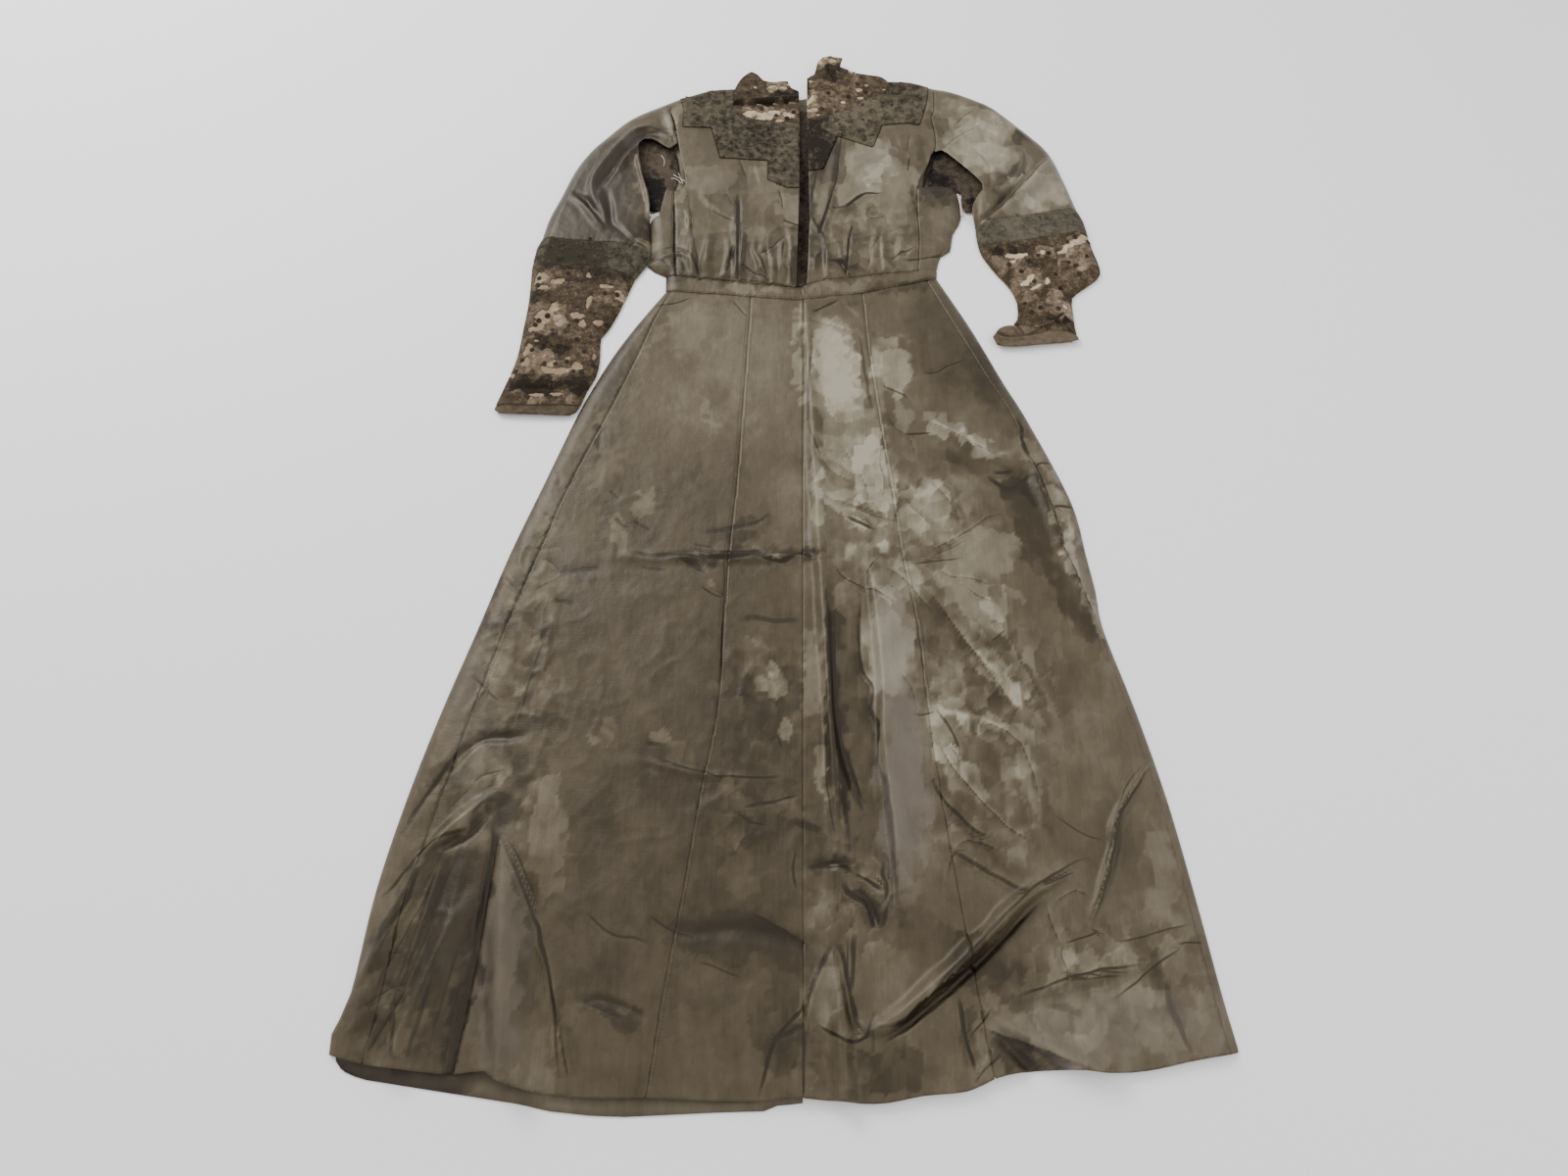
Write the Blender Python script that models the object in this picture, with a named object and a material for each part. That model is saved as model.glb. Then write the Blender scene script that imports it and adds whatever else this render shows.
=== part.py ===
"""Mourning dress laid flat, seen side up: closed cloth solids at real size in metres, +Z up.

Every table is in millimetres: x from the centre seam towards the wearer's right in the view,
y from the waist towards the collar, z from the surface the dress lies on.
"""

from dataclasses import dataclass
from dataclasses import field

import bmesh
import bpy
import numpy as np
from mathutils import Vector
from mathutils.geometry import delaunay_2d_cdt

COLLECTION = "mourning_dress"
MILLIMETRE = 0.001
CENTRE_X = -17.5
CENTRE_Y = -274.0
SEAM_GAP = 0.36
CLOTH = 1.5
UNDER_CLOTH = 1.2
LACE = 1.0
LACE_CLEARANCE = 0.3
ROLL_WIDTH = 18.0
EDGE_HEIGHT = 1.5
LEAST_HEIGHT = 3.4

# Colour and roughness of each cloth
CLOTHS = {
    "silk": ((0.115, 0.098, 0.070), 0.42),
    "crepe": ((0.050, 0.052, 0.042), 0.85),
    "braid": ((0.070, 0.075, 0.060), 0.80),
    "lining": ((0.420, 0.330, 0.210), 0.90),
    "lace": ((0.075, 0.052, 0.032), 0.85),
    "dark_lining": ((0.030, 0.026, 0.020), 0.85),
}
CLOTH_BY_NAME = (("yoke", "crepe"), ("sleeve_band", "braid"), ("lining_left", "lining"),
                 ("lining_right", "lining"), ("cuff_under", "lining"), ("lace", "lace"),
                 ("wrist", "lace"), ("placket", "dark_lining"))

# Skirt seams at each drop below the waist
SKIRT_DROPS = (50, 100, 150, 200, 300, 400, 500, 600, 700, 800, 900)
SKIRT_SEAMS = {
    "left": ((-185, 5), (-219, -246, -268, -287, -318, -349, -375, -402, -425, -442, -450), (-461, -957)),
    "side left": ((-178, 4.3), (-198, -213, -230, -248, -285, -314, -342, -366, -388, -406, -418),
                  (-425, -966)),
    "gore left": ((-69, -6.5), (-70, -72, -74, -76, -80, -87, -91, -94, -110, -123, -138), (-149, -996)),
    "centre": ((2, -12), (1, 1, 1, 1, 1, 1, 1, 1, 1, 1, 1), (1, -996)),
    "gore right": ((82, 0), (85, 88, 93, 98, 109, 119, 134, 140, 150, 162, 175), (186, -979)),
    "side right": ((170, 23), (200, 222, 244, 267, 294, 316, 342, 363, 383, 397, 409), (417, -957)),
    "right": ((185, 28), (222, 243, 263, 285, 322, 340, 349, 373, 393, 407, 419), (427, -955)),
}

# More points of the outer edges
EDGE_POINTS = {"left": ((-462, -938),), "right": ((335, -350), (346, -450))}

# Named lines shared by the panels on each side of them
SHARP_LINES = {
    "yoke left low": ((-3, 189), (-20, 189), (-48, 206), (-48, 245), (-118, 251), (-133, 314), (-175, 314)),
    "yoke right low": ((10, 224), (31, 228), (53, 295), (104, 271), (119, 318), (158, 322), (174, 318)),
    "patch side left": ((-89, 328), (-89, 351), (-102, 357)),
    "patch low left": ((-3, 322), (-89, 328)),
    "neck split left": ((-102, 357), (-101, 404)),
    "centre left low": ((-7, 10), (-5, 100), (-3, 189)),
    "centre left mid": ((-3, 189), (-3, 322)),
    "centre left top": ((-3, 322), (-4, 366)),
    "centre right low": ((7, 14.5), (9, 60), (11, 142), (10, 224)),
    "centre right mid": ((10, 224), (8, 332)),
    "centre right top": ((8, 332), (8, 390)),
    "waist split": ((2, -12), (-1, 9.5)),
    "waist end left": ((-185, 5), (-186, 32)),
    "waist end right": ((185, 28), (186, 44)),
    "waist dip": ((-7, 10), (-1, 9.5), (7, 14.5)),
    "top split right": ((128, 385), (132, 420)),
    "shoulder left": ((-205, 371), (-184, 383)),
    "shoulder right": ((192, 408), (200, 405)),
}
SOFT_LINES = {
    "waist low left": ((-185, 5), (-178, 4.3), (-120, -1), (-69, -6.5), (-30, -10), (2, -12)),
    "waist low right": ((2, -12), (40, -6), (82, 0), (130, 12), (170, 23), (185, 28)),
    "waist top far left": ((-186, 32), (-172, 30.5)),
    "waist top left": ((-172, 30.5), (-93, 20), (-40, 13), (-7, 10)),
    "waist top right": ((7, 14.5), (32, 20), (110, 32), (160, 40.5)),
    "waist top far right": ((160, 40.5), (186, 44)),
    "side left": ((-172, 30.5), (-176, 73), (-179, 130), (-182, 183)),
    "hole right side left": ((-182, 183), (-169, 188), (-167, 210), (-177, 261), (-181, 283)),
    "armscye left": ((-181, 283), (-185, 302), (-190, 328), (-205, 371)),
    "side piece left low": ((-186, 32), (-204, 42), (-213, 51)),
    "band inner left": ((-213, 51), (-208, 64), (-209, 74)),
    "sleeve inner left": ((-209, 74), (-211, 105), (-214, 129)),
    "hole low left": ((-214, 129), (-201, 137), (-193, 187), (-182, 183)),
    "hole left side left": ((-214, 129), (-216, 168), (-229, 216), (-237, 276), (-220, 290), (-193, 270),
                            (-181, 283)),
    "yoke side left": ((-175, 314), (-177, 359), (-184, 383)),
    "top left": ((-184, 383), (-167, 389), (-136, 401), (-101, 404)),
    "collar crease left": ((-102, 357), (-60, 361), (-4, 366)),
    "collar top left": ((-101, 404), (-76, 432), (-58, 413), (-40, 409), (-21, 411), (-16, 396), (-4, 387)),
    "side right": ((160, 40.5), (164, 100), (163, 150), (165, 189)),
    "side piece right edge": ((186, 44), (192, 67), (206, 78), (212, 109), (225, 138), (225, 184)),
    "side piece right top": ((225, 184), (199, 193), (165, 189)),
    "hole left side right": ((165, 189), (170, 210), (181, 232), (188, 256)),
    "armscye right": ((188, 256), (195, 269), (196, 302), (192, 335), (197, 347), (200, 405)),
    "hole right side right": ((188, 256), (203, 266), (223, 246), (258, 197), (252, 178), (243, 160),
                              (240, 140), (244, 120)),
    "yoke side right": ((174, 318), (186, 360), (192, 408)),
    "top right": ((132, 420), (165, 418), (192, 408)),
    "lace low right": ((8, 332), (25, 328), (48, 341), (76, 353), (99, 374), (128, 385)),
    "neck top right": ((132, 420), (83, 427)),
    "collar crease right": ((8, 390), (50, 398), (83, 427)),
    "collar top right": ((83, 427), (59, 439), (63, 459), (48, 461), (33, 461), (25, 453), (19, 422),
                         (8, 414)),
    "sleeve outer left": ((-205, 371), (-253, 341), (-290, 298), (-309, 272), (-328, 233), (-344, 179),
                          (-356, 141), (-363, 99)),
    "band top left": ((-363, 99), (-323, 91), (-273, 87), (-247, 85), (-209, 74)),
    "band outer left": ((-363, 99), (-368, 84), (-371, 46)),
    "band low left": ((-371, 46), (-322, 43), (-294, 44), (-266, 37), (-228, 25)),
    "band end left": ((-228, 25), (-213, 51)),
    "cuff outer left": ((-371, 46), (-369, -10), (-371, -57), (-374, -107), (-383, -147), (-393, -184)),
    "cuff inner left": ((-228, 25), (-248, -38), (-258, -62), (-266, -75), (-265, -114), (-268, -139),
                        (-277, -161), (-284, -185)),
    "wrist top left": ((-393, -184), (-340, -186), (-284, -185)),
    "wrist low left": ((-393, -184), (-393, -192), (-386, -198), (-343, -200), (-296, -201), (-288, -194),
                       (-284, -185)),
    "sleeve outer right": ((200, 405), (229, 397), (265, 378), (289, 361), (330, 313), (355, 280),
                           (366, 256), (377, 215), (388, 166), (391, 152)),
    "band top right": ((391, 152), (320, 137), (254, 122), (244, 120)),
    "band outer right": ((391, 152), (397, 134), (400, 111)),
    "band low right": ((400, 111), (350, 99), (299, 89), (246, 83)),
    "band inner right": ((246, 83), (244, 105), (244, 120)),
    "cuff outer right": ((400, 111), (403, 85), (410, 37), (386, 11), (367, -6), (365, -32), (365, -57),
                         (366, -68)),
    "cuff inner right": ((246, 83), (250, 68), (260, 48), (268, 34), (283, 11), (291, -15), (289, -43),
                         (283, -52)),
    "wrist top right": ((283, -52), (320, -62), (366, -68)),
    "wrist low right": ((283, -52), (262, -62), (253, -76), (258, -89), (284, -91), (320, -87), (356, -83),
                        (367, -79), (366, -68)),
    "hem side left": ((-461, -957), (-443, -962), (-425, -966)),
    "hem gore left": ((-425, -966), (-403, -969), (-343, -975), (-320, -973), (-306, -972), (-293, -980),
                      (-249, -992), (-200, -996), (-149, -996)),
    "hem front left": ((-149, -996), (-61, -999), (1, -996)),
    "hem front right": ((1, -996), (70, -1001), (117, -994), (159, -990), (186, -979)),
    "hem gore right": ((186, -979), (213, -973), (261, -971), (292, -974), (333, -972), (380, -963),
                       (417, -957)),
    "hem side right": ((417, -957), (427, -955)),
}

# Lines where a layer turns under to the surface
TURNED_LINES = (
    "skirt left", "skirt right", "waist end left", "waist end right", "side piece left low",
    "band end left", "band inner left", "sleeve inner left", "side piece right edge",
    "sleeve outer left", "band outer left", "cuff outer left", "cuff inner left", "sleeve outer right",
    "band outer right", "cuff outer right", "cuff inner right", "band inner right",
    "shoulder left", "shoulder right", "top left", "top right",
)

# Height of the cloth over the surface at named places
LOFT = (
    (0, -30, 4.5), (-100, -100, 5), (100, -100, 5.5), (0, -300, 5.5), (-200, -300, 4.5), (200, -300, 5.5),
    (0, -600, 6.5), (-250, -600, 5.5), (250, -600, 6), (0, -900, 6.5), (-350, -900, 6), (350, -900, 5.5),
    (-150, 15, 4), (-75, 8, 5), (0, 3, 5), (75, 15, 5), (150, 30, 4.5),
    (-190, 80, 8), (-140, 66, 13), (-60, 60, 15), (20, 52, 12), (60, 60, 15), (140, 76, 13), (190, 95, 8),
    (-130, 150, 11), (-50, 150, 11), (50, 150, 12), (130, 150, 11),
    (-140, 250, 8), (-60, 260, 8), (60, 260, 9), (150, 270, 9), (-100, 340, 7), (100, 350, 8),
    (0, 300, 7), (-50, 400, 7), (40, 430, 10), (-250, 320, 8), (-290, 230, 12), (-280, 150, 12),
    (-285, 60, 10), (-310, -50, 8), (-330, -150, 5), (280, 320, 10), (310, 230, 12), (320, 150, 11),
    (330, 80, 9), (330, 0, 8), (320, -70, 5),
)

LEFT_CUFF_GAPS = (
    (-348, 22, 17, 24, 0), (-322, 19, 19, 14, 0), (-266, 9, 19, 11, 0), (-248, -9, 11, 12, 20),
    (-330, -20, 18, 16, 40), (-345, -50, 24, 26, 40), (-287, -20, 8, 20, -20), (-303, -40, 20, 15, 0),
    (-277, -60, 13, 11, 0), (-357, -84, 13, 13, 0), (-357, -118, 13, 30, -20), (-316, -103, 15, 13, 0),
    (-285, -112, 11, 15, 0), (-322, -134, 28, 15, 0), (-290, -144, 13, 12, 0), (-314, -168, 20, 12, 0),
    (-350, -168, 14, 11, 0), (-300, -78, 14, 11, 0), (-344, -2, 14, 10, 0),
)
RIGHT_CUFF_GAPS = (
    (378, 88, 26, 14, 20), (350, 72, 18, 13, 20), (318, 68, 15, 13, 0), (283, 62, 24, 12, 0),
    (281, 40, 13, 15, 0), (385, 44, 14, 12, 20), (354, 42, 11, 13, 0), (317, 31, 30, 17, -20),
    (309, -3, 14, 18, 0), (345, -14, 18, 15, 0), (345, -42, 12, 13, 0), (315, -45, 15, 11, 0),
    (348, 16, 14, 10, 0), (309, 50, 11, 9, 0),
)
LEFT_NECK_GAPS = ((-72, 339, 18, 9, 0), (-46, 337, 14, 10, 10), (-24, 339, 12, 13, 0))
RIGHT_NECK_GAPS = ((22, 345, 9, 12, 0), (24, 366, 10, 9, 0), (50, 366, 10, 10, 0), (76, 388, 13, 9, 30),
                   (100, 398, 10, 9, 0), (50, 386, 8, 7, 0))
RIGHT_COLLAR_GAPS = ((38, 446, 9, 8, 0), (52, 428, 10, 9, 0))
LEFT_COLLAR_GAPS = ((-70, 396, 13, 7, 0), (-38, 385, 10, 7, 0))


@dataclass(frozen=True)
class Fold:
    """One fold: crest points with a height at each, and how far it spreads on both sides."""

    crest: tuple
    left: float
    right: float


@dataclass(frozen=True)
class Panel:
    """One closed cloth solid cut along named lines."""

    name: str
    outline: tuple
    spacing: float = 34.0
    lift: float = 0.0
    lace: str = ""
    gaps: tuple = field(default=())


FOLDS = (
    Fold(((6, -14, 2), (8, -60, 6), (22, -400, 9), (32, -600, 11), (38, -740, 7), (40, -800, 0)), 20, 12),
    Fold(((76, -405, 0), (84, -450, 8), (91, -570, 12), (90, -640, 13), (100, -760, 12), (106, -822, 0)),
         42, 8),
    Fold(((300, -766, 0), (255, -794, 8), (215, -822, 13), (145, -884, 13), (78, -934, 6), (20, -940, 0)),
         10, 16),
    Fold(((388, -655, 0), (337, -722, 6), (328, -755, 7), (312, -795, 6), (290, -842, 0)), 10, 10),
    Fold(((198, -908, 2), (285, -885, 7), (395, -856, 0)), 12, 14),
    Fold(((186, -922, 3), (240, -955, 14), (292, -978, 12), (296, -990, 12)), 30, 9),
    Fold(((36, -845, 0), (38, -900, 9), (40, -960, 13), (40, -1004, 13)), 16, 18),
    Fold(((-314, -730, 0), (-305, -820, 12), (-296, -900, 17), (-280, -1000, 19)), 42, 24),
    Fold(((-316, -685, 0), (-385, -755, 11), (-430, -860, 7), (-440, -890, 0)), 15, 12),
    Fold(((-338, -795, 0), (-372, -880, 10), (-398, -975, 9)), 22, 22),
    Fold(((-238, -404, 0), (-120, -407, 6), (-30, -406, 8), (24, -405, 0)), 10, 13),
    Fold(((150, -450, 0), (200, -502, 7), (232, -545, 7), (285, -592, 0)), 14, 12),
    Fold(((122, -598, 0), (200, -618, 7), (240, -638, 7), (272, -704, 0)), 14, 14),
    Fold(((132, -192, 0), (190, -232, 6), (225, -260, 6), (312, -302, 0)), 14, 14),
    Fold(((-190, -655, 0), (-110, -675, 4), (-28, -681, 0)), 7, 9),
    Fold(((-92, 168, 0), (-88, 100, 4), (-86, 45, 6), (-85, 20, 1)), 8, 14),
    Fold(((-126, 110, 0), (-130, 60, 5), (-128, 26, 1)), 10, 10),
    Fold(((-52, 96, 0), (-54, 55, 5), (-52, 16, 1)), 9, 9),
    Fold(((-26, 96, 0), (-26, 55, 5), (-27, 13, 1)), 8, 8),
    Fold(((60, 296, 0), (48, 216, 5), (39, 147, 6), (24, 92, 0)), 6, 18),
    Fold(((66, 112, 0), (64, 70, 5), (61, 26, 1)), 9, 9),
    Fold(((34, 84, 0), (35, 55, 4), (35, 20, 1)), 7, 7),
    Fold(((104, 106, 0), (100, 70, 5), (100, 31, 1)), 9, 9),
    Fold(((140, 110, 0), (136, 75, 5), (136, 37, 1)), 9, 9),
    Fold(((107, 182, 0), (83, 171, 5), (64, 152, 5), (46, 144, 0)), 12, 8),
    Fold(((364, 252, 0), (324, 191, 8), (293, 153, 7), (252, 114, 3)), 18, 6),
    Fold(((252, 272, 0), (276, 222, 5), (302, 168, 0)), 14, 14),
    Fold(((-278, 206, 0), (-253, 249, 6), (-236, 281, 4), (-226, 296, 0)), 14, 14),
)

PANELS = (
    Panel("skirt_side_left", ("skirt left", "hem side left", "-skirt side left", "-waist a")),
    Panel("skirt_gore_left", ("skirt side left", "hem gore left", "-skirt gore left", "-waist b")),
    Panel("skirt_front_left", ("skirt gore left", "hem front left", "-skirt centre", "-waist c")),
    Panel("skirt_front_right", ("skirt centre", "hem front right", "-skirt gore right", "-waist d")),
    Panel("skirt_gore_right", ("skirt gore right", "hem gore right", "-skirt side right", "-waist e")),
    Panel("skirt_side_right", ("skirt side right", "hem side right", "-skirt right", "-waist f")),
    Panel("waistband_left", ("waist low left", "waist split", "waist dip left", "-waist top left",
                             "-waist top far left", "-waist end left"), 14),
    Panel("waistband_right", ("waist low right", "waist end right", "-waist top far right",
                              "-waist top right", "-waist dip right", "-waist split"), 14),
    Panel("bodice_side_left", ("waist top far left", "side left", "-hole low left", "-sleeve inner left",
                               "-band inner left", "-side piece left low"), 16),
    Panel("bodice_front_left", ("waist top left", "centre left low", "yoke left low", "yoke side left",
                                "-shoulder left", "-armscye left", "-hole right side left", "-side left"),
          18),
    Panel("bodice_front_right", ("waist top right", "side right", "hole left side right",
                                 "armscye right", "-shoulder right", "-yoke side right",
                                 "-yoke right low", "-centre right low"), 18),
    Panel("bodice_side_right", ("waist top far right", "side piece right edge", "side piece right top",
                                "-side right"), 16),
    Panel("yoke_left", ("-yoke left low", "centre left mid", "patch low left", "patch side left",
                        "neck split left", "-top left", "-yoke side left"), 20, 1.2),
    Panel("yoke_right", ("yoke right low", "yoke side right", "-top right", "-top split right",
                         "-lace low right", "-centre right mid"), 20, 1.2),
    Panel("neck_lining_left", ("-patch low left", "centre left top", "-collar crease left",
                               "-patch side left"), 14, 0.0, "neck_lace_left", LEFT_NECK_GAPS),
    Panel("neck_lining_right", ("lace low right", "top split right", "neck top right",
                                "-collar crease right", "-centre right top"),
          14, 0.0, "neck_lace_right", RIGHT_NECK_GAPS),
    Panel("collar_lining_left", ("collar crease left", "collar end left", "-collar top left",
                                 "-neck split left"), 14, 1.5, "collar_lace_left", LEFT_COLLAR_GAPS),
    Panel("collar_lining_right", ("collar crease right", "collar top right", "collar end right"),
          13, 1.5, "collar_lace_right", RIGHT_COLLAR_GAPS),
    Panel("sleeve_top_left", ("armscye left", "sleeve outer left", "band top left", "sleeve inner left",
                              "hole left side left"), 20),
    Panel("sleeve_top_right", ("armscye right", "sleeve outer right", "band top right",
                               "-hole right side right"), 20),
    Panel("sleeve_band_left", ("band top left", "-band inner left", "-band end left", "-band low left",
                               "-band outer left"), 16, 1.2),
    Panel("sleeve_band_right", ("band top right", "-band inner right", "-band low right",
                                "-band outer right"), 16, 1.2),
    Panel("cuff_lining_left", ("band low left", "cuff inner left", "-wrist top left", "-cuff outer left"),
          24, 0.0, "cuff_lace_left", LEFT_CUFF_GAPS),
    Panel("cuff_lining_right", ("band low right", "cuff inner right", "wrist top right",
                                "-cuff outer right"), 24, 0.0, "cuff_lace_right", RIGHT_CUFF_GAPS),
    Panel("wrist_band_left", ("wrist top left", "-wrist low left"), 12),
    Panel("wrist_band_right", ("wrist top right", "-wrist low right"), 12),
)

# Layers that lie flat on the surface: outline, underside height, thickness
FLAT_LAYERS = {
    "skirt_back_left": (((-178, 0), (-120, -6), (-70, -11), (1, -16), (1, -1002), (-20, -1001),
                         (-36, -1007), (-76, -1008), (-123, -1010), (-169, -1012), (-201, -1011),
                         (-242, -1007), (-270, -1001), (-312, -995), (-376, -986), (-425, -979),
                         (-440, -974), (-451, -967), (-456, -957), (-455, -940), (-444, -900),
                         (-436, -800), (-419, -700), (-396, -600), (-368, -500), (-343, -400),
                         (-311, -300), (-278, -200), (-260, -150), (-240, -100), (-213, -50)), 0.0),
    "skirt_back_right": (((1, -16), (82, -5), (130, 7), (177, 20), (214, -50), (236, -100), (256, -150),
                          (278, -200), (315, -300), (333, -400), (342, -500), (366, -600), (386, -700),
                          (400, -800), (412, -900), (419, -946), (380, -954), (300, -962), (190, -968),
                          (117, -983), (1, -985)), 0.0),
    "waistband_back": (((-178, 0), (-120, -6), (-70, -11), (1, -16), (82, -5), (130, 7), (177, 20),
                        (178, 43), (110, 31), (32, 19), (-1, 9), (-93, 19), (-178, 31)), 0.0),
    "bodice_back": (((-178, 31), (-93, 19), (-1, 9), (32, 19), (110, 31), (178, 43), (186, 72),
                     (201, 84), (206, 112), (219, 142), (219, 178), (199, 184), (173, 190), (177, 225),
                     (188, 262), (189, 302), (188, 340), (188, 390), (163, 405), (128, 407), (80, 412),
                     (0, 382), (-70, 390), (-104, 392), (-135, 390), (-165, 377), (-200, 356),
                     (-193, 328), (-187, 260), (-191, 190), (-192, 150), (-205, 126), (-203, 80),
                     (-206, 58), (-180, 42)), 0.0),
    "sleeve_under_left": (((-200, 356), (-247, 330), (-281, 290), (-301, 268), (-318, 231), (-334, 177),
                           (-346, 139), (-353, 97), (-359, 82), (-363, 47), (-322, 44), (-294, 45),
                           (-266, 38), (-233, 28), (-219, 52), (-214, 76), (-219, 125), (-221, 148),
                           (-203, 154), (-196, 168), (-191, 190), (-187, 260), (-193, 328)), 0.0),
    "sleeve_under_right": (((188, 390), (222, 381), (257, 363), (277, 348), (317, 303), (347, 272),
                            (357, 252), (367, 212), (379, 163), (382, 149), (389, 131), (395, 112),
                            (350, 101), (299, 91), (251, 85), (249, 106), (249, 122), (246, 140),
                            (250, 160), (258, 178), (240, 190), (200, 194), (173, 190), (177, 225),
                            (188, 262), (189, 302), (188, 340)), 0.0),
    "cuff_under_left": (((-363, 47), (-322, 44), (-294, 45), (-266, 38), (-233, 28), (-253, -39),
                         (-263, -63), (-271, -76), (-270, -114), (-274, -140), (-284, -162), (-293, -194),
                         (-343, -195), (-385, -193), (-376, -147), (-366, -107), (-363, -57),
                         (-360, -10)), 0.0),
    "cuff_under_right": (((251, 85), (299, 91), (350, 101), (395, 112), (398, 85), (404, 40), (383, 15),
                          (363, -3), (360, -32), (360, -57), (360, -80), (320, -84), (268, -84),
                          (262, -74), (272, -63), (294, -54), (295, -43), (296, -13), (288, 13),
                          (273, 36), (265, 50), (255, 70)), 0.0),
    "placket_under": (((-22, 16), (0, 14), (26, 22), (26, 352), (0, 356), (-22, 352)), 1.7),
    "armhole_lining_left": (((-194, 154), (-182, 190), (-176, 225), (-183, 262), (-197, 292), (-222, 302),
                             (-246, 288), (-240, 220), (-229, 176), (-213, 154)), 1.7),
    "armhole_lining_right": (((178, 180), (184, 225), (194, 262), (206, 278), (232, 256), (268, 202),
                              (262, 172), (252, 152), (232, 150), (228.5, 160), (228, 188), (212, 189),
                              (208, 182)), 1.7),
}


def soften(points: tuple, step: float = 14.0) -> np.ndarray:
    """Return a smooth line through the points, with one point about every step."""
    given = np.asarray(points, float)
    padded = np.vstack([2 * given[0] - given[1], given, 2 * given[-1] - given[-2]])
    pieces = []
    for index in range(len(given) - 1):
        first, second, third, fourth = padded[index:index + 4]
        length = np.linalg.norm(third - second)
        count = max(1, int(round(length / step)))
        t = (np.arange(count) / count)[:, None]
        pieces.append(0.5 * (2 * second + (third - first) * t
                             + (2 * first - 5 * second + 4 * third - fourth) * t ** 2
                             + (3 * second - first - 3 * third + fourth) * t ** 3))
    pieces.append(given[-1:])
    return np.vstack(pieces)


def straighten(points: tuple, step: float = 18.0) -> np.ndarray:
    """Return the points joined by straight lines, with one point about every step."""
    given = np.asarray(points, float)
    pieces = []
    for first, second in zip(given[:-1], given[1:]):
        count = max(1, int(round(np.linalg.norm(second - first) / step)))
        t = (np.arange(count) / count)[:, None]
        pieces.append(first + (second - first) * t)
    pieces.append(given[-1:])
    return np.vstack(pieces)


def cut_at(line: np.ndarray, first: float, last: float) -> np.ndarray:
    """Return the part of a left to right line between two x values."""
    inside = line[(line[:, 0] > first + 0.5) & (line[:, 0] < last - 0.5)]
    ends = [(x, np.interp(x, line[:, 0], line[:, 1])) for x in (first, last)]
    return np.vstack([ends[:1], inside, ends[1:]])


def make_lines() -> dict:
    """Return every named line as an array of points."""
    lines = {name: soften(points) for name, points in SOFT_LINES.items()}
    lines.update({name: straighten(points) for name, points in SHARP_LINES.items()})
    for name, (top, across, hem) in SKIRT_SEAMS.items():
        points = [top] + [(x, -drop) for x, drop in zip(across, SKIRT_DROPS)] + [hem]
        points = sorted(points + list(EDGE_POINTS.get(name, ())), key=lambda point: -point[1])
        lines["skirt " + name] = soften(tuple(points), 30.0)
    waist = np.vstack([lines["waist low left"], lines["waist low right"][1:]])
    stops = (-185, -178, -69, 2, 82, 170, 185)
    for letter, first, last in zip("abcdef", stops[:-1], stops[1:]):
        lines["waist " + letter] = cut_at(waist, first, last)
    lines["waist dip left"] = np.array([(-1, 9.5), (-7, 10)])
    lines["waist dip right"] = np.array([(-1, 9.5), (7, 14.5)])
    lines["collar end left"] = np.array([(-4, 366), (-4, 387)])
    lines["collar end right"] = np.array([(8, 414), (8, 390)])
    return lines


LINES = make_lines()


def nearest(x: np.ndarray, y: np.ndarray, line: np.ndarray) -> tuple:
    """Return the distance to a line, the side of it and the place along it for many points."""
    best = np.full(x.shape, 1e9)
    side = np.zeros(x.shape)
    place = np.zeros(x.shape)
    for index, (first, second) in enumerate(zip(line[:-1], line[1:])):
        along = second - first
        t = np.clip(((x - first[0]) * along[0] + (y - first[1]) * along[1]) / (along @ along), 0, 1)
        off_x = x - first[0] - t * along[0]
        off_y = y - first[1] - t * along[1]
        distance = np.hypot(off_x, off_y)
        nearer = distance < best
        best = np.where(nearer, distance, best)
        side = np.where(nearer, along[0] * off_y - along[1] * off_x, side)
        place = np.where(nearer, index + t, place)
    return best, side, place


def fold_height(x: np.ndarray, y: np.ndarray, fold: Fold) -> np.ndarray:
    """Return the rise of one fold: its height times a soft bell over its width."""
    crest = np.asarray(fold.crest, float)
    distance, side, place = nearest(x, y, crest[:, :2])
    height = np.interp(place, np.arange(len(crest)), crest[:, 2])
    width = np.where(side > 0, fold.left, fold.right)
    q = np.clip(1 - distance / width, 0, 1)
    return height * q * q * (3 - 2 * q)


def loft(x: np.ndarray, y: np.ndarray) -> np.ndarray:
    """Return the loft between the named places, each weighed by its nearness."""
    table = np.asarray(LOFT, float)
    away = (x[..., None] - table[:, 0]) ** 2 + (y[..., None] - table[:, 1]) ** 2
    weight = 1 / (away + 24.0 ** 2) ** 2
    return (weight * table[:, 2]).sum(axis=-1) / weight.sum(axis=-1)


def cloth_height(x: np.ndarray, y: np.ndarray) -> np.ndarray:
    """Return the top of the cloth: loft and folds, rolled down where a layer turns under."""
    edge = np.full(x.shape, 1e9)
    for name in TURNED_LINES:
        edge = np.minimum(edge, nearest(x, y, LINES[name])[0])
    q = np.clip(edge / ROLL_WIDTH, 0, 1)
    rise = q * (2 - q)
    folds = np.zeros(x.shape)
    for fold in FOLDS:
        folds = np.maximum(folds, fold_height(x, y, fold))
    return EDGE_HEIGHT + rise * (loft(x, y) + folds)


def inside(x: np.ndarray, y: np.ndarray, polygon: np.ndarray) -> np.ndarray:
    """Tell which points lie inside a polygon."""
    count = np.zeros(x.shape, int)
    following = np.roll(polygon, -1, axis=0)
    for (ax, ay), (bx, by) in zip(polygon, following):
        if ay == by:
            continue
        crosses = (ay > y) != (by > y)
        count += crosses & (x < (bx - ax) * (y - ay) / (by - ay) + ax)
    return count % 2 == 1


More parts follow.
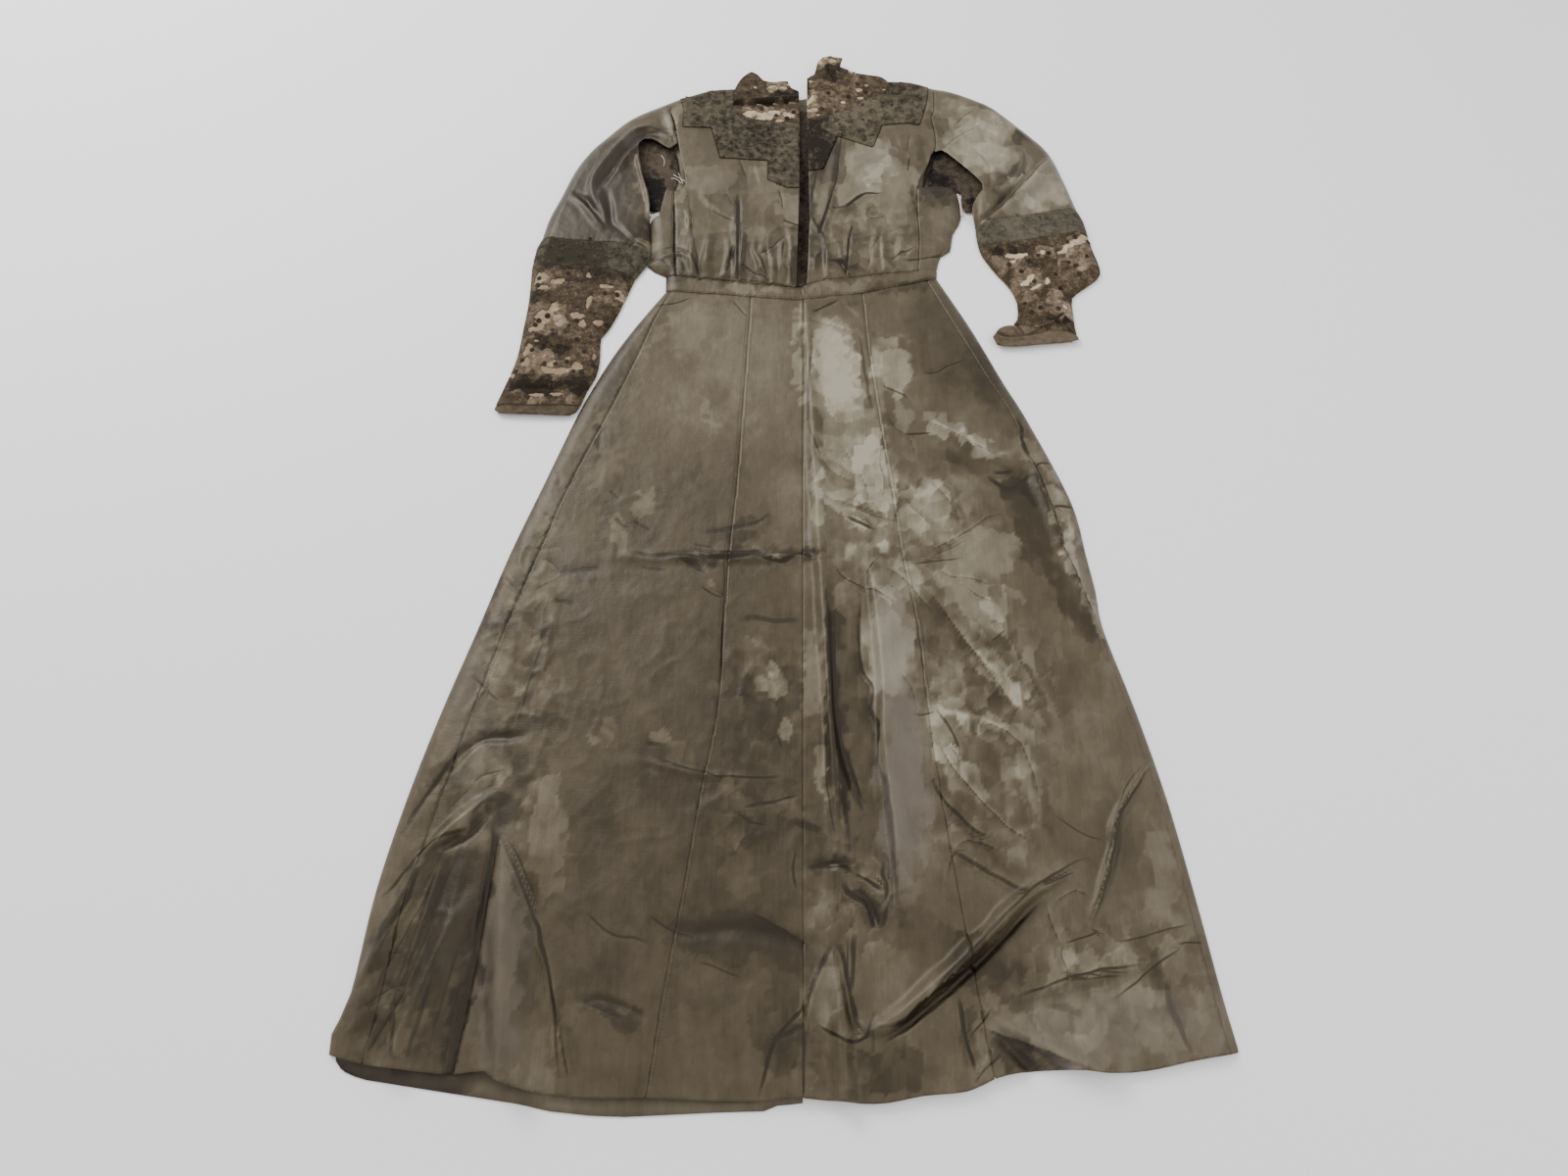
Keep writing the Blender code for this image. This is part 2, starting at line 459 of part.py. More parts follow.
def area(polygon: np.ndarray) -> float:
    """Return the signed area of a polygon."""
    following = np.roll(polygon, -1, axis=0)
    return 0.5 * float(np.sum(polygon[:, 0] * following[:, 1] - following[:, 0] * polygon[:, 1]))


def shrink(polygon: np.ndarray, distance: float) -> np.ndarray:
    """Move every edge of a counter-clockwise polygon inwards by a distance."""
    before = polygon - np.roll(polygon, 1, axis=0)
    after = np.roll(polygon, -1, axis=0) - polygon
    before /= np.linalg.norm(before, axis=1, keepdims=True)
    after /= np.linalg.norm(after, axis=1, keepdims=True)
    normal_before = np.column_stack([-before[:, 1], before[:, 0]])
    normal_after = np.column_stack([-after[:, 1], after[:, 0]])
    middle = normal_before + normal_after
    scale = np.maximum((middle * normal_before).sum(axis=1), 0.35)
    return polygon + middle * (distance / scale)[:, None]


def panel_outline(names: tuple) -> np.ndarray:
    """Join named lines head to tail into one counter-clockwise outline."""
    chain = None
    for name in names:
        line = LINES[name.lstrip("-")]
        if name.startswith("-"):
            line = line[::-1]
        if chain is None:
            chain = line
            continue
        if np.linalg.norm(chain[-1] - line[0]) > 0.01:
            if np.linalg.norm(chain[-1] - line[-1]) < 0.01:
                line = line[::-1]
            elif np.linalg.norm(chain[0] - line[0]) < 0.01:
                chain = chain[::-1]
            else:
                chain = chain[::-1]
                line = line[::-1]
        if np.linalg.norm(chain[-1] - line[0]) > 0.01:
            raise ValueError(f"{name} does not follow on: {chain[-1]} {line[0]}")
        chain = np.vstack([chain, line[1:]])
    if np.linalg.norm(chain[0] - chain[-1]) > 0.01:
        raise ValueError(f"outline of {names[0]} is open: {chain[0]} {chain[-1]}")
    chain = chain[:-1]
    if area(chain) < 0:
        chain = chain[::-1]
    return chain


def gap_loop(gap: tuple, turn: int) -> np.ndarray:
    """Return an uneven rounded opening: middle x and y, width, length, angle."""
    middle_x, middle_y, wide, long, angle = gap
    steps = np.arange(8) * 2 * np.pi / 8
    uneven = 1 + 0.13 * np.sin(2 * steps + turn) + 0.09 * np.cos(3 * steps + 2.1 * turn)
    a = 0.5 * wide * uneven * np.cos(steps)
    b = 0.5 * long * uneven * np.sin(steps)
    turned = np.radians(angle)
    return np.column_stack([middle_x + a * np.cos(turned) - b * np.sin(turned),
                            middle_y + a * np.sin(turned) + b * np.cos(turned)])


def guide_lines(outline: np.ndarray) -> list:
    """Return crest and foot lines of the folds that meet a panel, and rings along turned edges."""
    low = outline.min(axis=0) - 5
    high = outline.max(axis=0) + 5
    guides = []
    for fold in FOLDS:
        crest = np.asarray(fold.crest, float)[:, :2]
        ahead = np.gradient(crest, axis=0)
        ahead /= np.linalg.norm(ahead, axis=1, keepdims=True)
        normal = np.column_stack([-ahead[:, 1], ahead[:, 0]])
        offsets = (0.0, 0.92 * fold.left, -0.92 * fold.right)
        if max(fold.left, fold.right) > 26:
            offsets += (0.45 * fold.left, -0.45 * fold.right)
        for offset in offsets:
            guides.append(soften(tuple(map(tuple, crest + normal * offset)), 28.0))
    for name in TURNED_LINES:
        line = LINES[name]
        ahead = np.gradient(line, axis=0)
        ahead /= np.linalg.norm(ahead, axis=1, keepdims=True)
        normal = np.column_stack([-ahead[:, 1], ahead[:, 0]])
        for offset in (6.0, -6.0):
            guides.append(line + normal * offset)
    return [g for g in guides if np.any(np.all((g > low) & (g < high), axis=1))]


def triangulate(outline: np.ndarray, spacing: float, guides: list, holes: list) -> tuple:
    """Fill an outline with triangles that follow the guides and the loops of the holes."""
    fixed = [outline]
    for loop in holes:
        fixed.append(loop)
    kept_guides = []
    border = np.vstack([outline, outline[:1]])
    for guide in guides:
        clear = inside(guide[:, 0], guide[:, 1], outline)
        clear &= nearest(guide[:, 0], guide[:, 1], border)[0] > 3.0
        for loop in holes:
            ring = np.vstack([loop, loop[:1]])
            clear &= nearest(guide[:, 0], guide[:, 1], ring)[0] > 2.5
            clear &= ~inside(guide[:, 0], guide[:, 1], loop)
        kept_guides.append((guide, clear))
        if clear.any():
            fixed.append(guide[clear])
    placed = np.vstack(fixed)
    low = outline.min(axis=0)
    high = outline.max(axis=0)
    rows = np.arange(low[1], high[1], spacing * 0.87)
    grid = [(x + (index % 2) * spacing / 2, y) for index, y in enumerate(rows)
            for x in np.arange(low[0], high[0], spacing)]
    grid = np.array(grid)
    grid = grid[inside(grid[:, 0], grid[:, 1], outline)]
    if len(grid):
        away = np.sqrt(((grid[:, None, :] - placed[None, :, :]) ** 2).sum(axis=2)).min(axis=1)
        grid = grid[away > 0.5 * spacing]
    points = [outline]
    faces = [list(range(len(outline)))]
    edges = []
    start = len(outline)
    for loop in holes:
        points.append(loop)
        edges += [(start + i, start + (i + 1) % len(loop)) for i in range(len(loop))]
        start += len(loop)
    for guide, clear in kept_guides:
        number = np.cumsum(clear) - 1 + start
        edges += [(int(number[i]), int(number[i + 1])) for i in range(len(guide) - 1)
                  if clear[i] and clear[i + 1]]
        points.append(guide[clear])
        start += int(clear.sum())
    points.append(grid)
    cloud = np.vstack([p for p in points if len(p)])
    result = delaunay_2d_cdt([Vector(p) for p in cloud], edges, faces, 1, 0.05)
    vertices = np.array([tuple(v) for v in result[0]])
    triangles = np.array([tuple(f) for f in result[2]])
    middle = vertices[triangles].mean(axis=1)
    triangles = triangles[inside(middle[:, 0], middle[:, 1], outline)]
    first, second, third = (vertices[triangles[:, k]] for k in range(3))
    turn = ((second[:, 0] - first[:, 0]) * (third[:, 1] - first[:, 1])
            - (second[:, 1] - first[:, 1]) * (third[:, 0] - first[:, 0]))
    triangles[turn < 0] = triangles[turn < 0][:, ::-1]
    return vertices, triangles


def make_material(name: str) -> bpy.types.Material:
    """Return the material of a cloth, made once."""
    if name in bpy.data.materials:
        return bpy.data.materials[name]
    colour, roughness = CLOTHS[name]
    material = bpy.data.materials.new(name)
    material.use_nodes = True
    shader = material.node_tree.nodes["Principled BSDF"]
    shader.inputs["Base Color"].default_value = (*colour, 1.0)
    shader.inputs["Roughness"].default_value = roughness
    shader.inputs["Metallic"].default_value = 0.0
    return material


def cloth_of(name: str) -> str:
    """Return the cloth that a piece is cut from, by its name."""
    if name.startswith("armhole"):
        return "dark_lining"
    for part_of_name, cloth in CLOTH_BY_NAME:
        if part_of_name in name:
            return cloth
    return "silk"


def add_solid(name: str, flat: np.ndarray, triangles: np.ndarray, top: np.ndarray,
              thickness: float) -> bpy.types.Object:
    """Lay an open sheet at its height, then extrude it straight down by its thickness."""
    used = np.unique(triangles)
    number = np.full(len(flat), -1)
    number[used] = np.arange(len(used))
    shifted = (flat[used] - (CENTRE_X, CENTRE_Y)) * MILLIMETRE
    sheet = np.column_stack([shifted, top[used] * MILLIMETRE])
    mesh = bpy.data.meshes.new(name)
    mesh.from_pydata(sheet.tolist(), [], number[triangles].tolist())
    model = bmesh.new()
    model.from_mesh(mesh)
    lower = bmesh.ops.extrude_face_region(model, geom=model.faces[:], use_keep_orig=True)
    moved = [item for item in lower["geom"] if isinstance(item, bmesh.types.BMVert)]
    bmesh.ops.translate(model, verts=moved, vec=(0, 0, -thickness * MILLIMETRE))
    bmesh.ops.recalc_face_normals(model, faces=model.faces[:])
    model.to_mesh(mesh)
    model.free()
    mesh.materials.append(make_material(cloth_of(name)))
    made = bpy.data.objects.new(name, mesh)
    bpy.data.collections[COLLECTION].objects.link(made)
    return made


def add_panel(panel: Panel) -> None:
    """Add one shaped panel, and the lace on it where it has lace."""
    outline = shrink(panel_outline(panel.outline), SEAM_GAP / 2)
    loops = [gap_loop(gap, index) for index, gap in enumerate(panel.gaps)]
    flat, triangles = triangulate(outline, panel.spacing, guide_lines(outline), loops)
    top = cloth_height(flat[:, 0], flat[:, 1]) + panel.lift
    border = np.vstack([outline, outline[:1]])
    within = nearest(flat[:, 0], flat[:, 1], border)[0] > 1.0
    top = np.where(within, np.maximum(top, LEAST_HEIGHT), top)
    add_solid(panel.name, flat, triangles, top, CLOTH)
    if not panel.lace:
        return
    middle = flat[triangles].mean(axis=1)
    kept = np.ones(len(triangles), bool)
    for loop in loops:
        kept &= ~inside(middle[:, 0], middle[:, 1], loop)
    add_solid(panel.lace, flat, triangles[kept], top + LACE_CLEARANCE + LACE, LACE)


def add_flat_layer(name: str, points: tuple, underside: float) -> None:
    """Add one layer that lies flat, with a seam gap all round."""
    outline = straighten(points + points[:1], 90.0)[:-1]
    if area(outline) < 0:
        outline = outline[::-1]
    outline = shrink(outline, SEAM_GAP / 2)
    flat, triangles = triangulate(outline, 130.0, [], [])
    add_solid(name, flat, triangles, np.full(len(flat), underside + UNDER_CLOTH), UNDER_CLOTH)


def main() -> None:
    """Empty the scene, then add every layer."""
    for old in list(bpy.data.objects):
        bpy.data.objects.remove(old, do_unlink=True)
    collection = bpy.data.collections.new(COLLECTION)
    bpy.context.scene.collection.children.link(collection)
    for name, (points, underside) in FLAT_LAYERS.items():
        add_flat_layer(name, points, underside)
    for panel in PANELS:
        add_panel(panel)


main()
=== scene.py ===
"""Mourning dress laid flat: silk taffeta, crepe, braid and lace laid over the form of the solids.

All tables are in millimetres in the plan of the dress: x from the centre seam to the right as
seen, y from the waist towards the collar, z from the surface that the dress lies on.
"""
import logging
import math
from dataclasses import dataclass
from enum import Enum

import bpy
import numpy as np
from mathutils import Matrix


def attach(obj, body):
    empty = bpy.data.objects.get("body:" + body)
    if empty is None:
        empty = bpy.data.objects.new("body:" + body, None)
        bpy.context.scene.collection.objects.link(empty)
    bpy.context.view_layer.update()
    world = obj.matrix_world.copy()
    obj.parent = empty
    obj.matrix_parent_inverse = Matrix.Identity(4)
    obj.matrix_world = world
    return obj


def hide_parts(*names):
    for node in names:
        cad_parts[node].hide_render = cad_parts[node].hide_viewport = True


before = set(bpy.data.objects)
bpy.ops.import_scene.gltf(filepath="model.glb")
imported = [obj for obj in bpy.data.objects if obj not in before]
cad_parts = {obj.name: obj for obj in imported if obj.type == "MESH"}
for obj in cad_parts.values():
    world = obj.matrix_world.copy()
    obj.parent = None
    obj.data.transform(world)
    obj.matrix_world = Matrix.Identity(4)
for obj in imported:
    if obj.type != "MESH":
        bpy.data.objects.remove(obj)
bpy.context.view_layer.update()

LOG = logging.getLogger("mourning dress")

MILLIMETRE = 0.001
CENTRE_X = -17.5
CENTRE_Y = -274.0
# Half the gap left between two pieces, and the thickness of cloth and of lace
HALF_SEAM = 0.05
SHELL = 0.9
LACE_SHELL = 0.7
# The height of an edge that turns under, and how far from it the cloth rises to its own height
EDGE_HEIGHT = 1.5
ROLL_WIDTH = 18.0
# How far lace lies over its lining, and its grid squares as a share of its lining's
LACE_LIFT = 1.15
LACE_SHARE = 0.55
# How far a crisp line's painted shade darkens or dips the cloth, and the offset that means that none is near
LINE_REACH = 8.0
NO_LINE = 9.0

Points = tuple[tuple[float, ...], ...]
Triple = tuple[float, float, float]
# A mesh's points, and four point numbers for each face
Sheet = tuple[np.ndarray, np.ndarray]
Socket = bpy.types.NodeSocket

# The skirt's seams: the point at the waist, x at each drop below the waist, the point at the hem
SKIRT_DROPS = (50, 100, 150, 200, 300, 400, 500, 600, 700, 800, 900)
SKIRT_SEAMS = {
    "left": ((-185, 5), (-219, -246, -268, -287, -318, -349, -375, -402, -425, -442, -450), (-461, -957)),
    "side left": ((-178, 4.3), (-198, -213, -230, -248, -285, -314, -342, -366, -388, -406, -418),
                  (-425, -966)),
    "gore left": ((-69, -6.5), (-70, -72, -74, -76, -80, -87, -91, -94, -110, -123, -138), (-149, -996)),
    "centre": ((2, -12), (1, 1, 1, 1, 1, 1, 1, 1, 1, 1, 1), (1, -996)),
    "gore right": ((82, 0), (85, 88, 93, 98, 109, 119, 134, 140, 150, 162, 175), (186, -979)),
    "side right": ((170, 23), (200, 222, 244, 267, 294, 316, 342, 363, 383, 397, 409), (417, -957)),
    "right": ((185, 28), (222, 243, 263, 285, 322, 340, 349, 373, 393, 407, 419), (427, -955)),
}
EDGE_POINTS = {"left": ((-462, -938),), "right": ((335, -350), (346, -450))}

# Cut lines with corners, and below them the cut lines that curve
SHARP_LINES = {
    "yoke left low": ((-3, 189), (-20, 189), (-48, 206), (-48, 245), (-118, 251), (-133, 314), (-175, 314)),
    "yoke right low": ((10, 224), (31, 228), (53, 295), (104, 271), (119, 318), (158, 322), (174, 318)),
    "patch side left": ((-89, 328), (-89, 351), (-102, 357)),
    "patch low left": ((-3, 322), (-89, 328)),
    "neck split left": ((-102, 357), (-101, 404)),
    "centre left low": ((-7, 10), (-5, 100), (-3, 189)),
    "centre left mid": ((-3, 189), (-3, 322)),
    "centre left top": ((-3, 322), (-4, 366)),
    "centre right low": ((7, 14.5), (9, 60), (11, 142), (10, 224)),
    "centre right mid": ((10, 224), (8, 332)),
    "centre right top": ((8, 332), (8, 390)),
    "waist split": ((2, -12), (-1, 9.5)),
    "waist end left": ((-185, 5), (-186, 32)),
    "waist end right": ((185, 28), (186, 44)),
    "waist dip left": ((-1, 9.5), (-7, 10)),
    "waist dip right": ((-1, 9.5), (7, 14.5)),
    "collar end left": ((-4, 366), (-4, 387)),
    "collar end right": ((8, 414), (8, 390)),
    "top split right": ((128, 385), (132, 420)),
    "shoulder left": ((-205, 371), (-184, 383)),
    "shoulder right": ((192, 408), (200, 405)),
}
SOFT_LINES = {
    "waist low left": ((-185, 5), (-178, 4.3), (-120, -1), (-69, -6.5), (-30, -10), (2, -12)),
    "waist low right": ((2, -12), (40, -6), (82, 0), (130, 12), (170, 23), (185, 28)),
    "waist top far left": ((-186, 32), (-172, 30.5)),
    "waist top left": ((-172, 30.5), (-93, 20), (-40, 13), (-7, 10)),
    "waist top right": ((7, 14.5), (32, 20), (110, 32), (160, 40.5)),
    "waist top far right": ((160, 40.5), (186, 44)),
    "side left": ((-172, 30.5), (-176, 73), (-179, 130), (-182, 183)),
    "hole right side left": ((-182, 183), (-169, 188), (-167, 210), (-177, 261), (-181, 283)),
    "armscye left": ((-181, 283), (-185, 302), (-190, 328), (-205, 371)),
    "side piece left low": ((-186, 32), (-204, 42), (-213, 51)),
    "band inner left": ((-213, 51), (-208, 64), (-209, 74)),
    "sleeve inner left": ((-209, 74), (-211, 105), (-214, 129)),
    "hole low left": ((-214, 129), (-201, 137), (-193, 187), (-182, 183)),
    "hole left side left": ((-214, 129), (-216, 168), (-229, 216), (-237, 276), (-220, 290), (-193, 270),
                            (-181, 283)),
    "yoke side left": ((-175, 314), (-177, 359), (-184, 383)),
    "top left": ((-184, 383), (-167, 389), (-136, 401), (-101, 404)),
    "collar crease left": ((-102, 357), (-60, 361), (-4, 366)),
    "collar top left": ((-101, 404), (-76, 432), (-58, 413), (-40, 409), (-21, 411), (-16, 396), (-4, 387)),
    "side right": ((160, 40.5), (164, 100), (163, 150), (165, 189)),
    "side piece right edge": ((186, 44), (192, 67), (206, 78), (212, 109), (225, 138), (225, 184)),
    "side piece right top": ((225, 184), (199, 193), (165, 189)),
    "hole left side right": ((165, 189), (170, 210), (181, 232), (188, 256)),
    "armscye right": ((188, 256), (195, 269), (196, 302), (192, 335), (197, 347), (200, 405)),
    "hole right side right": ((188, 256), (203, 266), (223, 246), (258, 197), (252, 178), (243, 160),
                              (240, 140), (244, 120)),
    "yoke side right": ((174, 318), (186, 360), (192, 408)),
    "top right": ((132, 420), (165, 418), (192, 408)),
    "lace low right": ((8, 332), (25, 328), (48, 341), (76, 353), (99, 374), (128, 385)),
    "neck top right": ((132, 420), (83, 427)),
    "collar crease right": ((8, 390), (50, 398), (83, 427)),
    "collar top right": ((83, 427), (59, 439), (63, 459), (48, 461), (33, 461), (25, 453), (19, 422),
                         (8, 414)),
    "sleeve outer left": ((-205, 371), (-253, 341), (-290, 298), (-309, 272), (-328, 233), (-344, 179),
                          (-356, 141), (-363, 99)),
    "band top left": ((-363, 99), (-323, 91), (-273, 87), (-247, 85), (-209, 74)),
    "band outer left": ((-363, 99), (-368, 84), (-371, 46)),
    "band low left": ((-371, 46), (-322, 43), (-294, 44), (-266, 37), (-228, 25)),
    "band end left": ((-228, 25), (-213, 51)),
    "cuff outer left": ((-371, 46), (-369, -10), (-371, -57), (-374, -107), (-383, -147), (-393, -184)),
    "cuff inner left": ((-228, 25), (-248, -38), (-258, -62), (-266, -75), (-265, -114), (-268, -139),
                        (-277, -161), (-284, -185)),
    "wrist top left": ((-393, -184), (-340, -186), (-284, -185)),
    "wrist low left": ((-393, -184), (-393, -192), (-386, -198), (-343, -200), (-296, -201), (-288, -194),
                       (-284, -185)),
    "sleeve outer right": ((200, 405), (229, 397), (265, 378), (289, 361), (330, 313), (355, 280),
                           (366, 256), (377, 215), (388, 166), (391, 152)),
    "band top right": ((391, 152), (320, 137), (254, 122), (244, 120)),
    "band outer right": ((391, 152), (397, 134), (400, 111)),
    "band low right": ((400, 111), (350, 99), (299, 89), (246, 83)),
    "band inner right": ((246, 83), (244, 105), (244, 120)),
    "cuff outer right": ((400, 111), (403, 85), (410, 37), (386, 11), (367, -6), (365, -32), (365, -57),
                         (366, -68)),
    "cuff inner right": ((246, 83), (250, 68), (260, 48), (268, 34), (283, 11), (291, -15), (289, -43),
                         (283, -52)),
    "wrist top right": ((283, -52), (320, -62), (366, -68)),
    "wrist low right": ((283, -52), (262, -62), (253, -76), (258, -89), (284, -91), (320, -87), (356, -83),
                        (367, -79), (366, -68)),
    "hem side left": ((-461, -957), (-443, -962), (-425, -966)),
    "hem gore left": ((-425, -966), (-403, -969), (-343, -975), (-320, -973), (-306, -972), (-293, -980),
                      (-249, -992), (-200, -996), (-149, -996)),
    "hem front left": ((-149, -996), (-61, -999), (1, -996)),
    "hem front right": ((1, -996), (70, -1001), (117, -994), (159, -990), (186, -979)),
    "hem gore right": ((186, -979), (213, -973), (261, -971), (292, -974), (333, -972), (380, -963),
                       (417, -957)),
    "hem side right": ((417, -957), (427, -955)),
}

# Edges that turn under
TURNED_LINES = (
    "skirt left", "skirt right", "waist end left", "waist end right", "side piece left low",
    "band end left", "band inner left", "sleeve inner left", "side piece right edge",
    "sleeve outer left", "band outer left", "cuff outer left", "cuff inner left", "sleeve outer right",
    "band outer right", "cuff outer right", "cuff inner right", "band inner right",
    "shoulder left", "shoulder right", "top left", "top right",
)

# Lines where two panels are sewn: how far the seam dips and how far down the skirt it shows
SEWN_LINES = (
    ("skirt side left", 0.2, -545), ("skirt gore left", 0.2, -1010), ("skirt centre", 0.3, -1010),
    ("skirt gore right", 0.2, -1010), ("side left", 0.8, -1010), ("side right", 0.8, -1010),
    ("armscye left", 0.9, -1010), ("armscye right", 0.9, -1010), ("waist low left", 0.9, -1010),
    ("waist low right", 0.9, -1010), ("waist top left", 0.9, -1010), ("waist top right", 0.9, -1010),
    ("band top left", 0.7, -1010), ("band top right", 0.7, -1010),
)

# Height of the cloth over the surface at named places: x, y and height
LOFT = (
    (0, -30, 4.5), (-100, -100, 5), (100, -100, 5.5), (0, -300, 5.5), (-200, -300, 4.5), (200, -300, 5.5),
    (0, -600, 6.5), (-250, -600, 5.5), (250, -600, 6), (0, -900, 6.5), (-350, -900, 6), (350, -900, 5.5),
    (-150, 15, 4), (-75, 8, 5), (0, 3, 5), (75, 15, 5), (150, 30, 4.5),
    (-190, 80, 8), (-140, 66, 13), (-60, 60, 15), (20, 52, 12), (60, 60, 15), (140, 76, 13), (190, 95, 8),
    (-130, 150, 11), (-50, 150, 11), (50, 150, 12), (130, 150, 11),
    (-140, 250, 8), (-60, 260, 8), (60, 260, 9), (150, 270, 9), (-100, 340, 7), (100, 350, 8),
    (0, 300, 7), (-50, 400, 7), (40, 430, 10), (-250, 320, 8), (-290, 230, 12), (-280, 150, 12),
    (-285, 60, 10), (-310, -50, 8), (-330, -150, 5), (280, 320, 10), (310, 230, 12), (320, 150, 11),
    (330, 80, 9), (330, 0, 8), (320, -70, 5),
)

# Openings in the lace: middle x and y, width, length and turn
LEFT_CUFF_GAPS = (
    (-355, 22, 20, 22, 0), (-350, 6, 16, 9, 0), (-331, 17, 19, 12, 10), (-265, 7, 20, 8, 0),
    (-246, -6, 16, 16, 20), (-331, -27, 15, 14, 40), (-344, -45, 30, 24, 30), (-352, -63, 20, 16, 0),
    (-286, -20, 7, 26, -10), (-300, -42, 20, 13, 0), (-292, -56, 12, 13, 0), (-271, -54, 17, 9, 0),
    (-360, -98, 13, 20, -10), (-361, -118, 12, 16, 0), (-318, -131, 34, 13, 0), (-336, -126, 10, 9, 0),
    (-293, -124, 15, 14, 20), (-306, -112, 9, 8, 0), (-272, -108, 6, 10, 0), (-340, -171, 20, 8, -8),
    (-316, -169, 16, 9, 0), (-350, -84, 7, 6, 0), (-290, 26, 7, 12, 10), (-376, -138, 7, 9, 0),
)
RIGHT_CUFF_GAPS = (
    (390, 94, 26, 14, 35), (374, 84, 26, 13, 25), (360, 70, 15, 9, 30), (300, 62, 22, 10, 20),
    (286, 62, 14, 9, 0), (290, 52, 10, 6, 0), (312, 24, 15, 10, 45), (303, 14, 12, 12, 0),
    (318, 8, 18, 7, 35), (334, 18, 7, 14, -20), (354, -26, 8, 9, 30), (332, 68, 9, 8, 0),
)
LEFT_NECK_GAPS = ((-76, 343, 26, 15, 0), (-54, 337, 24, 20, 0), (-41, 344, 18, 16, 0), (-20, 340, 18, 14, 0),
                  (-33, 328, 14, 7, 10))
RIGHT_NECK_GAPS = ((14, 370, 10, 20, -20), (17, 350, 16, 11, 0), (24, 340, 8, 7, 0), (86, 392, 10, 9, 0),
                   (62, 366, 9, 7, 0), (88, 376, 12, 6, 0), (98, 402, 7, 6, 0), (124, 394, 6, 5, 0))
RIGHT_COLLAR_GAPS = ((47, 453, 14, 10, -20), (28, 451, 6, 12, 10), (75, 428, 8, 6, 0), (14, 408, 7, 6, 0))
LEFT_COLLAR_GAPS = ((-45, 400, 14, 8, 0), (-28, 396, 12, 9, 0), (-20, 404, 6, 7, 0), (-70, 396, 7, 6, 0))


@dataclass(frozen=True)
class Fold:
    """A ridge, or a trough where its heights are below nought.

    crest: x, y and height along it. left and right: how far it spreads on each side.
    """

    crest: Points
    left: float
    right: float

    def sinks(self) -> bool:
        """Tell whether this is a trough."""
        return min(point[2] for point in self.crest) < 0


@dataclass(frozen=True)
class Patch:
    """A patch of painted sheen or shade, or another value: middle x and y, width, length, turn, strength."""

    x: float
    y: float
    wide: float
    long: float
    turn: float
    strength: float


@dataclass(frozen=True)
class Crease:
    """A crisp line in the cloth: a groove with painted shade along it, and painted light and shade beside it.

    line: x and y along it. width: half its width. dark: how dark its painted shade is. left and right: how
    much lighter or darker painted light and shade make the cloth beside it. reach: how far that spreads.
    """

    line: Points
    width: float
    dark: float
    left: float = 0.0
    right: float = 0.0
    reach: float = 12.0

    def measure(self, x: np.ndarray, y: np.ndarray) -> tuple[np.ndarray, np.ndarray, np.ndarray]:
        """Return points' distance to the line, their side, and its strength beside them.

        The strength rises from 0 to 1 over the line's first fifth and falls over its last.
        """
        smooth = soften(self.line, 7.0)
        distance, side, place = nearest(x, y, smooth)
        end = len(smooth) - 1
        return distance, side, np.clip(5 * np.minimum(place, end - place) / end, 0, 1)


